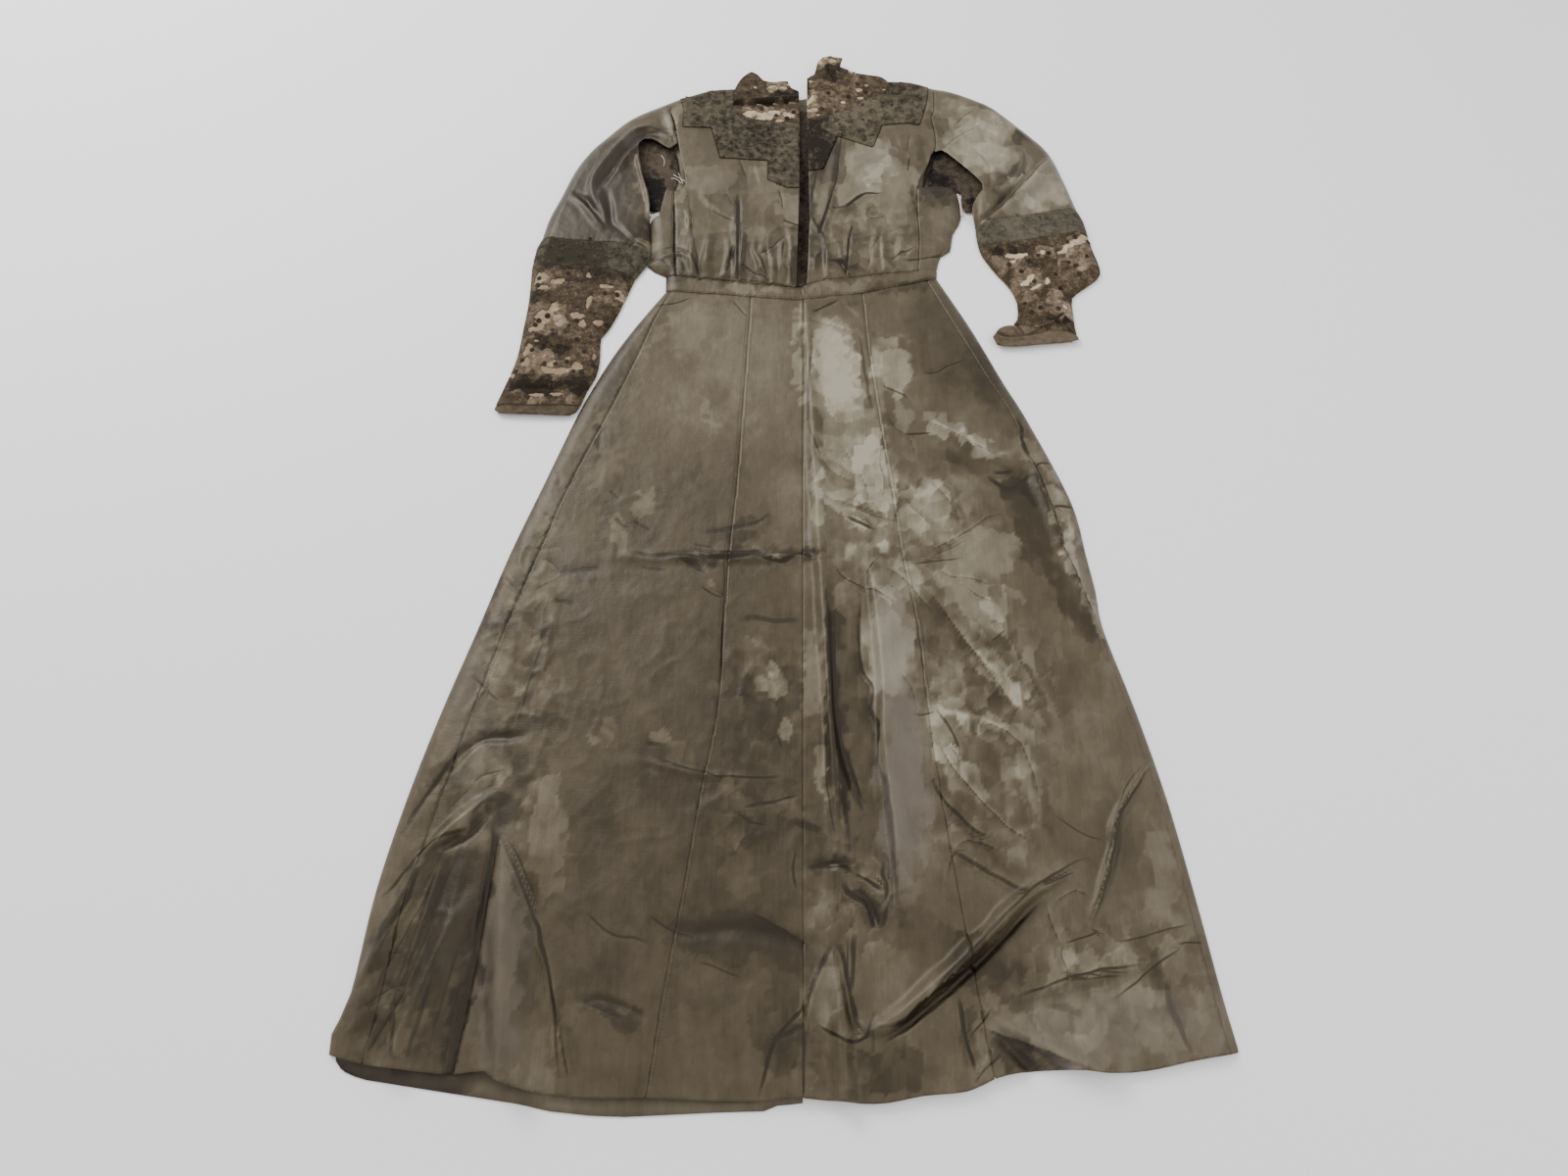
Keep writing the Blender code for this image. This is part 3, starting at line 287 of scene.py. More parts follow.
# The folds that the solids have too
MAIN_FOLDS = (
    Fold(((6, -14, 2), (8, -60, 6), (22, -400, 9), (32, -600, 11), (38, -740, 7), (40, -800, 0)), 20, 12),
    Fold(((76, -405, 0), (84, -450, 8), (91, -570, 12), (90, -640, 13), (100, -760, 12), (106, -822, 0)),
         42, 8),
    Fold(((300, -766, 0), (255, -794, 8), (215, -822, 13), (145, -884, 13), (78, -934, 6), (20, -940, 0)),
         10, 16),
    Fold(((388, -655, 0), (337, -722, 6), (328, -755, 7), (312, -795, 6), (290, -842, 0)), 10, 10),
    Fold(((198, -908, 2), (285, -885, 7), (395, -856, 0)), 12, 14),
    Fold(((186, -922, 3), (240, -955, 14), (292, -978, 12), (296, -990, 12)), 30, 9),
    Fold(((36, -845, 0), (38, -900, 9), (40, -960, 13), (40, -1004, 13)), 16, 18),
    Fold(((-314, -730, 0), (-305, -820, 12), (-296, -900, 17), (-280, -1000, 19)), 42, 24),
    Fold(((-316, -685, 0), (-385, -755, 11), (-430, -860, 7), (-440, -890, 0)), 15, 12),
    Fold(((-338, -795, 0), (-372, -880, 10), (-398, -975, 9)), 22, 22),
    Fold(((-238, -404, 0), (-120, -407, 6), (-30, -406, 8), (24, -405, 0)), 10, 13),
    Fold(((150, -450, 0), (200, -502, 7), (232, -545, 7), (285, -592, 0)), 14, 12),
    Fold(((122, -598, 0), (200, -618, 7), (240, -638, 7), (272, -704, 0)), 14, 14),
    Fold(((132, -192, 0), (190, -232, 6), (225, -260, 6), (312, -302, 0)), 14, 14),
    Fold(((-190, -655, 0), (-110, -675, 4), (-28, -681, 0)), 7, 9),
    Fold(((-92, 168, 0), (-88, 100, 4), (-86, 45, 6), (-85, 20, 1)), 8, 14),
    Fold(((-126, 110, 0), (-130, 60, 5), (-128, 26, 1)), 10, 10),
    Fold(((-52, 96, 0), (-54, 55, 5), (-52, 16, 1)), 9, 9),
    Fold(((-26, 96, 0), (-26, 55, 5), (-27, 13, 1)), 8, 8),
    Fold(((60, 296, 0), (48, 216, 5), (39, 147, 6), (24, 92, 0)), 6, 18),
    Fold(((66, 112, 0), (64, 70, 5), (61, 26, 1)), 9, 9),
    Fold(((34, 84, 0), (35, 55, 4), (35, 20, 1)), 7, 7),
    Fold(((104, 106, 0), (100, 70, 5), (100, 31, 1)), 9, 9),
    Fold(((140, 110, 0), (136, 75, 5), (136, 37, 1)), 9, 9),
    Fold(((107, 182, 0), (83, 171, 5), (64, 152, 5), (46, 144, 0)), 12, 8),
    Fold(((364, 252, 0), (324, 191, 8), (293, 153, 7), (252, 114, 3)), 18, 6),
    Fold(((252, 272, 0), (276, 222, 5), (302, 168, 0)), 14, 14),
    Fold(((-278, 206, 0), (-253, 249, 6), (-236, 281, 4), (-226, 296, 0)), 14, 14),
)

# The edge of the right gore that laps over the side panel
LAP_FOLD = Fold(((272, -204, 0), (281, -250, 3), (291, -290, 5), (299, -325, 5), (305, -350, 5),
                 (311, -380, 5), (316, -400, 5), (324, -430, 5), (331, -460, 4), (340, -492, 0)), 1.2, 16)

# Creases of the skirt, ridges first and troughs after them
SKIRT_CREASES = tuple(Fold(*row) for row in (
    (((-310, -752, 0), (-290, -795, 3), (-245, -900, 4), (-228, -945, 3), (-221, -990, 2)), 8, 6),
    (((-372, -742, 0), (-384, -820, 4), (-400, -895, 4), (-426, -955, 3)), 10, 8),
    (((-350, -742, 0), (-362, -840, 3), (-379, -925, 3), (-384, -970, 2)), 9, 9),
    (((-405, -780, 0), (-420, -850, 3), (-436, -930, 2)), 9, 9),
    (((-375, -612, 0), (-362, -590, 3), (-352, -560, 0)), 8, 8),
    (((72, -762, 0), (84, -778, 4), (92, -792, 0)), 6, 7),
    (((50, -790, 0), (66, -792, 4), (84, -806, 0)), 6, 6),
    (((96, -800, 0), (86, -822, 4), (80, -842, 0)), 6, 6),
    (((30, -850, 0), (14, -895, 4), (2, -940, 4), (4, -1000, 3)), 5, 8),
    (((298, -764, 0), (272, -779, 4), (246, -794, 4), (150, -883, 4), (108, -913, 3), (74, -938, 0)), 4,
     14), (((165, -990, 2), (182, -962, 4), (198, -946, 0)), 6, 6),
    (((183, -922, 3), (214, -944, 5), (266, -969, 3)), 10, 3),
    (((128, -640, 0), (166, -690, 3), (198, -722, 3), (250, -792, 0)), 12, 14),
    (((240, -272, 0), (262, -262, 3), (285, -262, 0)), 9, 9),
    (((-324, -738, 0), (-323, -770, -5), (-329, -860, -7), (-340, -980, -7)), 6, 7),
    (((-326, -692, 0), (-348, -735, -4), (-392, -768, -4), (-418, -830, -4), (-440, -872, 0)), 9, 8),
    (((-402, -704, 0), (-374, -655, -4), (-350, -634, -4), (-322, -634, -3), (-302, -628, 0)), 8, 8),
    (((-234, -908, 0), (-202, -906, -3), (-178, -912, -4), (-150, -926, 0)), 6, 7),
    (((-160, -824, 0), (-120, -840, -2), (-60, -838, -3), (10, -852, -3), (24, -850, 0)), 12, 14),
    (((-100, -868, 0), (-60, -885, -2), (0, -900, 0)), 12, 12),
    (((-205, -402, 0), (-170, -406, -2), (-138, -402, -4), (-100, -410, -5), (0, -401, -4), (24, -413, -2),
     (28, -418, 0)), 5, 6),
    (((34, -430, 0), (36, -500, -4), (38, -600, -6), (46, -655, -6), (60, -700, -4), (70, -722, 0)), 7, 8),
    (((2, -778, 0), (22, -772, -4), (50, -772, -4), (58, -770, 0)), 8, 7),
    (((48, -798, 0), (66, -806, -5), (74, -826, -5), (76, -840, 0)), 5, 5),
    (((36, -850, 0), (44, -900, -5), (52, -932, -5), (68, -940, 0)), 5, 6),
    (((248, -804, 0), (205, -848, -6), (150, -897, -7), (96, -936, -5), (78, -946, 0)), 4, 9),
    (((184, -932, 0), (214, -958, -7), (232, -972, -9), (268, -974, -5)), 5, 12),
    (((150, -690, 0), (174, -738, -3), (208, -770, -3), (240, -792, 0)), 9, 9),
    (((160, -258, 0), (200, -272, -3), (236, -290, 0)), 12, 14),
))

# Creases of the bodice and waistband
BODICE_CREASES = tuple(Fold(*row) for row in (
    (((-83, 128, 0), (-80, 90, 4), (-82, 40, 5), (-84, 22, 2)), 3, 12),
    (((-62, 92, 0), (-66, 70, 3), (-58, 46, 4), (-52, 20, 2)), 7, 5),
    (((-40, 112, 0), (-46, 80, 3), (-40, 48, 4), (-38, 16, 2)), 6, 6),
    (((-22, 120, 0), (-14, 84, 3), (-16, 14, 2)), 6, 6),
    (((-104, 100, 0), (-100, 64, 3), (-104, 30, 3)), 7, 7),
    (((-150, 100, 0), (-152, 66, 4), (-148, 34, 3)), 8, 8),
    (((-198, 60, 0), (-178, 66, 3), (-160, 62, 3), (-146, 44, 0)), 5, 7),
    (((-160, 150, 0), (-158, 125, 3), (-156, 108, 0)), 6, 5),
    (((-140, 200, 0), (-138, 172, 2), (-120, 150, 2), (-92, 128, 0)), 10, 10),
    (((-70, 250, 0), (-60, 215, 2), (-56, 190, 0)), 8, 8),
    (((12, 142, 0), (16, 122, 3), (24, 104, 3), (28, 92, 0)), 4, 5),
    (((30, 108, 0), (33, 80, 3), (36, 24, 2)), 4, 6), (((68, 130, 0), (70, 100, 4), (63, 30, 2)), 3, 10),
    (((52, 80, 0), (54, 58, 3), (60, 40, 0)), 6, 5),
    (((88, 148, 0), (92, 128, 2), (104, 128, 2), (114, 146, 0)), 7, 7),
    (((118, 118, 0), (112, 80, 3), (116, 40, 2)), 9, 9),
    (((152, 130, 0), (156, 104, 3), (150, 96, 0)), 6, 5),
    (((136, 50, 0), (150, 62, 3), (162, 82, 0)), 6, 6),
    (((168, 190, 0), (176, 168, 2), (168, 148, 0)), 8, 7),
    (((140, 300, 0), (146, 278, 2), (150, 262, 0)), 6, 6),
    (((-88, 180, 0), (-87, 90, -5), (-86, 24, -3)), 3, 3),
    (((-104, 36, 0), (-96, 64, -4), (-90, 84, 0)), 4, 4),
    (((-140, 66, 0), (-142, 46, -3), (-138, 24, -2)), 4, 4),
    (((58, 300, 0), (40, 156, -4), (30, 118, -4), (24, 96, 0)), 3, 3),
    (((70, 112, 0), (66, 80, -4), (62, 40, -4), (60, 26, -2)), 3, 3),
    (((44, 50, 0), (54, 46, -4), (60, 34, -3)), 5, 4),
))

# Creases of the sleeves
SLEEVE_CREASES = tuple(Fold(*row) for row in (
    (((-333, 186, 0), (-300, 146, 5), (-284, 122, 4), (-272, 110, 0)), 4, 12),
    (((-284, 128, 0), (-292, 160, 4), (-299, 196, 5), (-290, 228, 5), (-252, 300, 4), (-226, 314, 3),
     (-208, 304, 0)), 10, 9),
    (((-268, 118, 0), (-282, 150, 3), (-288, 180, 3), (-276, 210, 3), (-262, 228, 0)), 6, 9),
    (((-240, 270, 0), (-236, 240, 4), (-214, 150, 3), (-216, 110, 0)), 14, 6),
    (((-250, 120, 0), (-238, 102, 2), (-218, 84, 0)), 8, 8),
    (((-200, 360, 0), (-196, 340, 3), (-186, 300, 3)), 3, 10),
    (((360, 254, 0), (330, 213, 5), (300, 176, 6), (252, 118, 3)), 14, 3),
    (((204, 270, 0), (222, 284, 4), (250, 306, 3), (262, 320, 0)), 6, 10),
    (((322, 262, 0), (320, 236, 3), (308, 204, 0)), 8, 8),
    (((344, 230, 0), (352, 210, 2), (354, 180, 0)), 10, 8),
    (((300, 330, 0), (316, 304, 2.5), (336, 276, 0)), 10, 10),
    (((262, 190, 0), (256, 160, 3), (254, 130, 2)), 7, 7),
    (((228, 374, 0), (224, 350, 2), (214, 330, 0)), 8, 8),
    (((-326, 180, 0), (-306, 168, -4), (-292, 148, -4), (-282, 132, 0)), 5, 9),
    (((-286, 180, 0), (-280, 205, -5), (-238, 292, -4), (-214, 300, -3), (-202, 286, 0)), 10, 8),
    (((-278, 190, 0), (-270, 150, -4), (-266, 124, -4), (-250, 106, 0)), 8, 9),
    (((350, 250, 0), (318, 206, -4), (290, 172, -5), (258, 132, -3)), 3, 8),
    (((326, 258, 0), (310, 226, -3), (286, 196, -3), (268, 176, 0)), 8, 8),
))

# Creases of the lace cuffs and collar
LACE_CREASES = tuple(Fold(*row) for row in (
    (((-292, 40, 0), (-284, -24, 2), (-292, -60, 0)), 6, 6),
    (((-372, -60, 0), (-320, -78, 2.5), (-266, -84, 0)), 8, 8),
    (((-380, -150, 0), (-330, -146, 3), (-276, -156, 0)), 7, 10),
    (((-384, -172, 0), (-330, -172, 2), (-282, -172, 0)), 5, 5),
    (((396, 40, 0), (356, 18, 3), (322, -6, 3), (300, -30, 0)), 9, 9),
    (((362, -30, 0), (336, -52, 4), (300, -72, 4), (272, -76, 0)), 7, 5),
    (((372, 96, 0), (340, 78, 2), (296, 72, 0)), 8, 8), (((404, 70, 0), (380, 62, 2), (352, 60, 0)), 7, 7),
    (((-98, 366, 4), (-6, 374, 4)), 7, 7), (((-76, 430, 0), (-72, 404, 3), (-66, 376, 0)), 6, 8),
    (((-30, 408, 0), (-32, 392, 2), (-40, 378, 0)), 5, 5),
    (((24, 400, 0), (34, 420, 4), (36, 450, 3), (44, 462, 2)), 6, 7),
    (((60, 456, 0), (52, 436, 3), (58, 410, 3), (66, 390, 0)), 6, 6),
    (((14, 400, 0), (18, 380, 3), (20, 356, 0)), 6, 6),
    (((80, 424, 0), (92, 406, 2.5), (88, 384, 0)), 7, 7),
    (((-352, -92, 0), (-316, -96, -2), (-270, -100, 0)), 6, 6),
    (((-378, -160, 0), (-330, -160, -3), (-280, -164, 0)), 5, 5),
    (((356, -36, 0), (326, -62, -4), (300, -72, -5), (286, -66, -4), (288, -54, 0)), 4, 4),
    (((284, -74, 0), (270, -72, -4), (258, -70, 0)), 3, 4),
    (((30, 440, 0), (44, 430, -3), (50, 412, -3), (46, 398, 0)), 5, 5),
    (((-104, 360, -3), (-60, 362, -5), (-4, 367, -4)), 3, 2.5),
))

# Crisp lines of the skirt, from the hem's fan at the left to the right edge
SKIRT_LINES = tuple(Crease(*row) for row in (
    (((-330, -728), (-324, -765), (-340, -978)), 3.2, 1.3, 0.2, -0.5, 16),
    (((-330, -732), (-312, -752), (-276, -820), (-264, -850), (-250, -890), (-232, -985)), 2, 0.9, 0.5,
     0.25, 8), (((-312, -745), (-296, -765), (-270, -815)), 1.4, 0.5, -0.2, 0.3, 10),
    (((-224, -980), (-238, -930)), 1.4, 0.4, 0, 0.45, 8),
    (((-350, -706), (-338, -694), (-326, -690)), 1.6, 0.8, 0, -0.3, 10),
    (((-358, -690), (-348, -678), (-322, -670)), 1.2, 0.6, 0.25, 0, 8),
    (((-352, -722), (-336, -694)), 1.8, 0.5, 0, 0),
    (((-360, -636), (-316, -626)), 2.2, 1, 0.2, -0.2, 9),
    (((-368, -640), (-384, -662), (-424, -742)), 2.4, 0.9, 0.1, -0.15, 14),
    (((-352, -732), (-394, -756), (-424, -798), (-436, -806)), 1.8, 0.9, -0.1, 0.2, 12),
    (((-398, -775), (-402, -800), (-412, -825), (-441, -872)), 2.2, 0.9, 0.1, 0, 8),
    (((-372, -762), (-424, -900)), 1.2, 0.45, 0, 0.25, 8),
    (((-358, -760), (-386, -845), (-396, -890)), 1.6, 0.4, 0.3, -0.2, 8),
    (((-390, -892), (-422, -956)), 1.4, 0.7, 0.2, 0, 8),
    (((-388, -890), (-416, -900), (-430, -912)), 1, 0.5, 0.25, 0, 6),
    (((-404, -906), (-394, -962)), 2.6, 0.5, 0, 0),
    (((-366, -880), (-382, -966)), 2, 0.35, 0.15, 0, 10),
    (((-346, -850), (-362, -950)), 1.6, 0.3, 0.15, 0, 10),
    (((-378, -716), (-352, -684)), 1.4, 0.35, 0, 0.15, 8),
    (((-164, -654), (-100, -676), (-40, -680), (-22, -677)), 1.2, 0.9, 0.15, -0.1, 7),
    (((-62, -712), (-4, -700)), 1.8, 0.9, 0.15, 0, 8),
    (((-70, -718), (-56, -728), (-34, -732)), 1.2, 0.55),
    (((-218, -908), (-204, -910), (-176, -922)), 3, 1.1, 0, 0.1, 8),
    (((-222, -820), (-196, -843), (-170, -846), (-156, -852)), 1.8, 0.45),
    (((-156, -826), (-126, -843), (-104, -848)), 1.6, 0.45),
    (((-50, -822), (8, -856)), 1.8, 0.8, 0.2, -0.6, 24),
    (((-104, -870), (-60, -886)), 1.4, 0.35, 0.1, 0, 8),
    (((4, -900), (0, -915), (-26, -945), (-42, -997)), 2.2, 0.8, 0.2, -0.1, 10),
    (((-26, -944), (2, -930)), 2.4, 0.8), (((3, -930), (1, -1000)), 1.6, 0.5, 0.1, -0.2, 10),
    (((32, -850), (12, -892), (4, -915), (3, -932)), 2.4, 0.9, 0.4, -0.1, 8),
    (((38, -852), (56, -935)), 2.4, 1, -0.3, 0.4, 8),
    (((14, -930), (42, -944), (56, -944), (64, -940), (72, -918)), 1.8, 1, 0.2, 0, 8),
    (((70, -932), (86, -932), (100, -926), (130, -900), (170, -876), (250, -808)), 2.2, 1.1, 0.45, -0.5,
     12), (((96, -940), (136, -908), (156, -898)), 1.2, 0.6, 0, 0.2, 6),
    (((120, -908), (220, -814), (278, -774), (300, -766)), 1.6, 0.9, 0.3, 0, 7),
    (((246, -797), (284, -780)), 1.2, 0.7, 0.2, 0.2, 6),
    (((382, -664), (348, -706), (337, -726), (318, -785), (294, -838)), 1.6, 0.9, -0.35, 0.3, 12),
    (((376, -660), (343, -700), (314, -782), (290, -836)), 0.8, 0.5, 0, 0.1, 5),
    (((292, -838), (300, -842), (266, -852)), 1.2, 0.7),
    (((264, -854), (262, -866), (268, -880)), 1.2, 0.4, 0.2, -0.1, 8),
    (((210, -905), (284, -882), (342, -874)), 1.6, 0.9, 0.2, 0, 8),
    (((262, -890), (320, -884)), 1.2, 0.4), (((306, -908), (384, -856)), 1.4, 0.8, 0.15, -0.1, 8),
    (((318, -852), (396, -834)), 1.2, 0.6, 0.15, 0, 6), (((380, -853), (408, -852)), 1.2, 0.8),
    (((366, -885), (364, -910), (380, -958)), 3, 0.7),
    (((156, -905), (160, -945), (168, -972)), 2, 1.3, 0.2, -0.1, 10),
    (((180, -934), (262, -968)), 2, 1, 0.5, -1, 18),
    (((186, -916), (164, -942)), 1.2, 0.7, 0, 0.2, 8),
    (((200, -950), (162, -986)), 1.4, 0.5, 0.2, 0, 6), (((240, -912), (262, -914), (280, -925)), 4, 0.35),
    (((140, -676), (154, -706), (188, -740), (200, -744)), 2.4, 0.7, 0.3, -0.5, 10),
    (((152, -750), (170, -765), (222, -796), (240, -800)), 2.6, 0.6, 0.3, -0.3, 14),
    (((120, -606), (132, -608), (146, -605)), 1.2, 0.8),
    (((146, -600), (164, -624), (173, -650)), 1.6, 0.7, 0.2, 0.2, 6),
    (((268, -720), (300, -742), (318, -748)), 1.2, 0.4),
    (((70, -450), (66, -520), (70, -555), (80, -575), (78, -600), (84, -622), (84, -672), (92, -692), (98,
     -800), (104, -818)), 2, 0.9, 0.5, -0.6, 15),
    (((28, -450), (36, -600), (50, -760)), 2.6, 1.2, -0.9, 0.35, 12),
    (((50, -650), (66, -716)), 2.4, 0.8, -0.2, -0.2, 8),
    (((24, -600), (28, -690), (36, -750)), 1.2, 0.5, 0.35, 0.2, 5),
    (((40, -740), (40, -650)), 1.2, 0.3, 0, 0.3, 5),
    (((4, -776), (30, -771), (46, -775), (54, -783)), 2.4, 0.7, 0.1, -0.5, 12),
    (((56, -782), (84, -800)), 2.6, 1, 0.3, 0.3, 6),
    (((44, -790), (48, -802), (68, -814), (74, -838)), 3, 1.1, 0.2, 0.1, 7),
    (((86, -770), (84, -784), (88, -800), (84, -838)), 2.2, 0.8, 0.2, 0.2, 6),
    (((54, -842), (50, -900)), 2.6, 0.9, 0.2, -0.2, 8), (((-6, -758), (-9, -778), (-6, -800)), 1.4, 0.6),
    (((-12, -724), (24, -740)), 4.5, 0.5),
    (((272, -206), (278, -222), (277, -240), (284, -270)), 2.6, 1, 0, -0.1, 8),
    (((282, -262), (296, -298), (314, -378)), 1.2, 0.9, 0.1, 0.35, 5),
    (((314, -378), (310, -386), (343, -492)), 1, 0.6, 0.7, -0.7, 14),
    (((290, -278), (300, -273), (312, -274)), 1.6, 0.9, 0.1, 0.1, 5),
    (((304, -337), (332, -337)), 1.8, 1, 0.1, 0, 5),
    (((230, -292), (240, -304), (254, -312), (266, -308), (278, -298), (292, -296)), 3.2, 0.9, 0.2, -0.2,
     10), (((268, -314), (280, -322), (286, -340)), 5, 0.6), (((238, -290), (262, -286)), 3, 0.7),
    (((54, -350), (88, -370)), 2.2, 1.3, 0.35, 0.35, 6),
    (((56, -332), (74, -344), (106, -356)), 1.4, 0.5, 0.2, 0.1, 8),
    (((130, -232), (164, -228)), 1.6, 0.8, 0, -0.1, 6),
    (((104, -155), (132, -170), (136, -178)), 1.6, 0.7, 0.2, -0.1, 6),
    (((156, -136), (176, -134), (188, -124), (216, -112)), 1.4, 0.8, 0.1, 0, 5),
    (((88, -412), (76, -432)), 1.4, 0.8), (((130, -417), (192, -408)), 1.3, 0.75, 0.1, 0, 5),
    (((154, -398), (208, -368)), 1.1, 0.55, 0.15, 0.15, 5),
    (((150, -408), (200, -384)), 1, 0.4, 0.1, 0.1, 5),
    (((150, -455), (240, -602)), 1.2, 0.3, 0.55, -0.5, 18),
    (((236, -440), (241, -470), (238, -508), (250, -548), (268, -588), (278, -602)), 1, 0.1, -0.4, 0.35,
     12), (((44, -338), (68, -344), (90, -360), (101, -378), (76, -398)), 1.2, 0, 0.6, 0.3, 6),
    (((24, -322), (92, -344), (110, -342)), 1.2, 0.1, 0.5, -0.3, 9),
    (((112, -300), (128, -330), (148, -352), (160, -372)), 1, 0.2, -0.3, 0.3, 10),
    (((160, -300), (186, -340), (190, -362)), 1, 0.3, 0.3, -0.3, 9),
    (((186, -300), (182, -318), (188, -336)), 1.4, 0.2, 0.5, 0.1, 5),
    (((160, -398), (228, -352), (250, -346)), 0.9, 0.3, 0.25, -0.15, 7),
    (((150, -212), (176, -222), (236, -258), (256, -262)), 1, 0.2, 0.5, -0.3, 12),
    (((110, -205), (120, -222), (136, -236), (142, -262)), 1, 0.2, 0.3, -0.3, 9),
    (((48, -245), (76, -296), (82, -330)), 1, 0.15, 0.35, -0.3, 10),
    (((100, -250), (98, -275), (102, -300), (96, -330)), 1, 0.3, -0.2, 0.3, 8),
    (((40, -420), (52, -436), (110, -470)), 1.3, 0.5, 0.35, -0.3, 8),
    (((100, -425), (118, -436), (150, -478)), 1.2, 0.3, 0.35, -0.3, 8),
    (((160, -425), (176, -434), (200, -436), (226, -446)), 1.1, 0.3, 0.3, -0.2, 8),
    (((190, -445), (210, -462), (226, -466)), 1.1, 0.35, 0.3, -0.2, 6),
    (((136, -480), (140, -510), (137, -540), (142, -575)), 1.1, 0.35, 0.2, 0.25, 6),
    (((112, -560), (124, -580), (128, -604)), 1.2, 0.35, 0.3, -0.2, 7),
    (((186, -612), (210, -622), (236, -640), (248, -668), (256, -700)), 1.2, 0.25, 0.4, -0.35, 12),
    (((150, -640), (164, -668), (212, -728), (240, -748)), 1.2, 0.4, 0.4, -0.45, 12),
    (((158, -640), (170, -656), (172, -680)), 1.2, 0.3, 0.4, -0.2, 6),
    (((262, -812), (282, -800), (296, -806)), 1.1, 0.3, 0.3, -0.2, 6),
    (((252, -812), (256, -840), (262, -854)), 1.1, 0.3, 0.35, -0.3, 8),
    (((150, -790), (160, -760), (176, -748), (214, -762)), 1.2, 0.3, 0.3, -0.3, 8),
    (((216, -520), (236, -502)), 1.2, 0.7, 0.15, 0, 6), (((5, -215), (24, -268)), 1.4, 0.6, 0.2, 0.3, 7),
    (((20, -268), (46, -292), (64, -300)), 1.2, 0.1, 0.5, -0.35, 16),
    (((172, -500), (224, -565)), 1.6, 0.2, 0.35, -0.35, 14),
    (((-100, -403), (-60, -404), (-48, -398)), 4, 1.3, 0, 0),
    (((-60, -404), (-24, -414), (-6, -404), (8, -406), (20, -414)), 2.8, 1.1),
    (((-122, -402), (-100, -404)), 2.2, 1), (((-132, -400), (-106, -426)), 1, 0, 0.9, 0.3, 6),
    (((-62, -391), (-26, -413)), 1, 0, 0.9, 0.3, 6),
    (((-200, -400), (-170, -406), (-150, -402)), 2.2, 0.8, 0, 0.1, 6),
    (((-150, -404), (-112, -428)), 3.2, 0.9, 0, 0.1, 6), (((-192, -420), (-160, -424)), 2.6, 0.6),
    (((-288, -428), (-240, -422)), 3.6, 0.9, 0, 0.15, 8),
    (((-290, -465), (-276, -466), (-262, -472)), 3.4, 0.6),
    (((-118, -448), (-92, -463)), 1.4, 0.9, 0.4, 0, 7),
    (((-120, -375), (-62, -362), (-46, -354), (-36, -342)), 3, 0.6, 0, 0.15, 7),
    (((-205, -355), (-180, -372)), 2.2, 0.7, 0, 0.1, 6),
    (((-228, -352), (-218, -362), (-206, -366)), 2.8, 0.6), (((-130, -390), (-104, -394)), 2, 0.5),
    (((-255, -224), (-255, -256)), 1.8, 1.1, 0.2, 0.2, 5),
    (((-306, -284), (-300, -296), (-300, -308)), 2.2, 0.9),
    (((-236, -313), (-222, -328)), 1.6, 0.8, 0.25, 0.1, 6),
    (((-296, -318), (-280, -296), (-282, -286)), 1.4, 0.5, -0.1, 0.2, 6),
    (((-314, -346), (-290, -358)), 1.6, 0.6, 0.1, -0.1, 6),
    (((-308, -350), (-304, -366), (-320, -392), (-308, -396), (-290, -392), (-282, -404)), 1, 0.45,
     -0.35, 0.25, 12),
    (((-316, -410), (-300, -412), (-284, -428), (-296, -440), (-316, -452)), 1, 0.45, -0.3, 0.3, 12),
    (((-352, -432), (-332, -452)), 2, 0.6),
    (((-288, -455), (-296, -462), (-298, -490), (-294, -500)), 1, 0.3, -0.25, 0.2, 10),
    (((-300, -505), (-299, -525), (-318, -628)), 1.4, 0.5, -0.3, 0.35, 14),
    (((-372, -560), (-336, -592)), 1.6, 0.7, 0.1, 0.1, 6),
    (((-352, -576), (-362, -590), (-366, -604)), 1.8, 0.6),
    (((-74, -492), (-54, -488), (-30, -492), (0, -490)), 3.6, 0.5), (((-92, -404), (-91, -580)), 0.9, 0.75),
    (((-36, -640), (-28, -632), (-20, -648)), 1.6, 0.6), (((-172, -640), (-148, -641)), 2.4, 0.5),
    (((-198, -22), (-176, -19), (-148, -8)), 1.8, 1.1, 0.35, 0, 6),
    (((-94, -14), (-72, -44)), 1.1, 0.7, 0.1, 0.1, 5), (((12, -36), (50, -12)), 1.8, 1, 0.2, 0, 6),
    (((10, -44), (72, -68)), 2, 0, 0.5, -0.2, 8),
    (((14, -66), (8, -200), (12, -240)), 2, 0.7, 0.3, 0.2, 8),
    (((76, -70), (90, -200)), 2.2, 0.5, 0.2, 0.1, 8), (((54, -12), (76, -42)), 1.2, 0, 0.5, 0.5, 4),
))

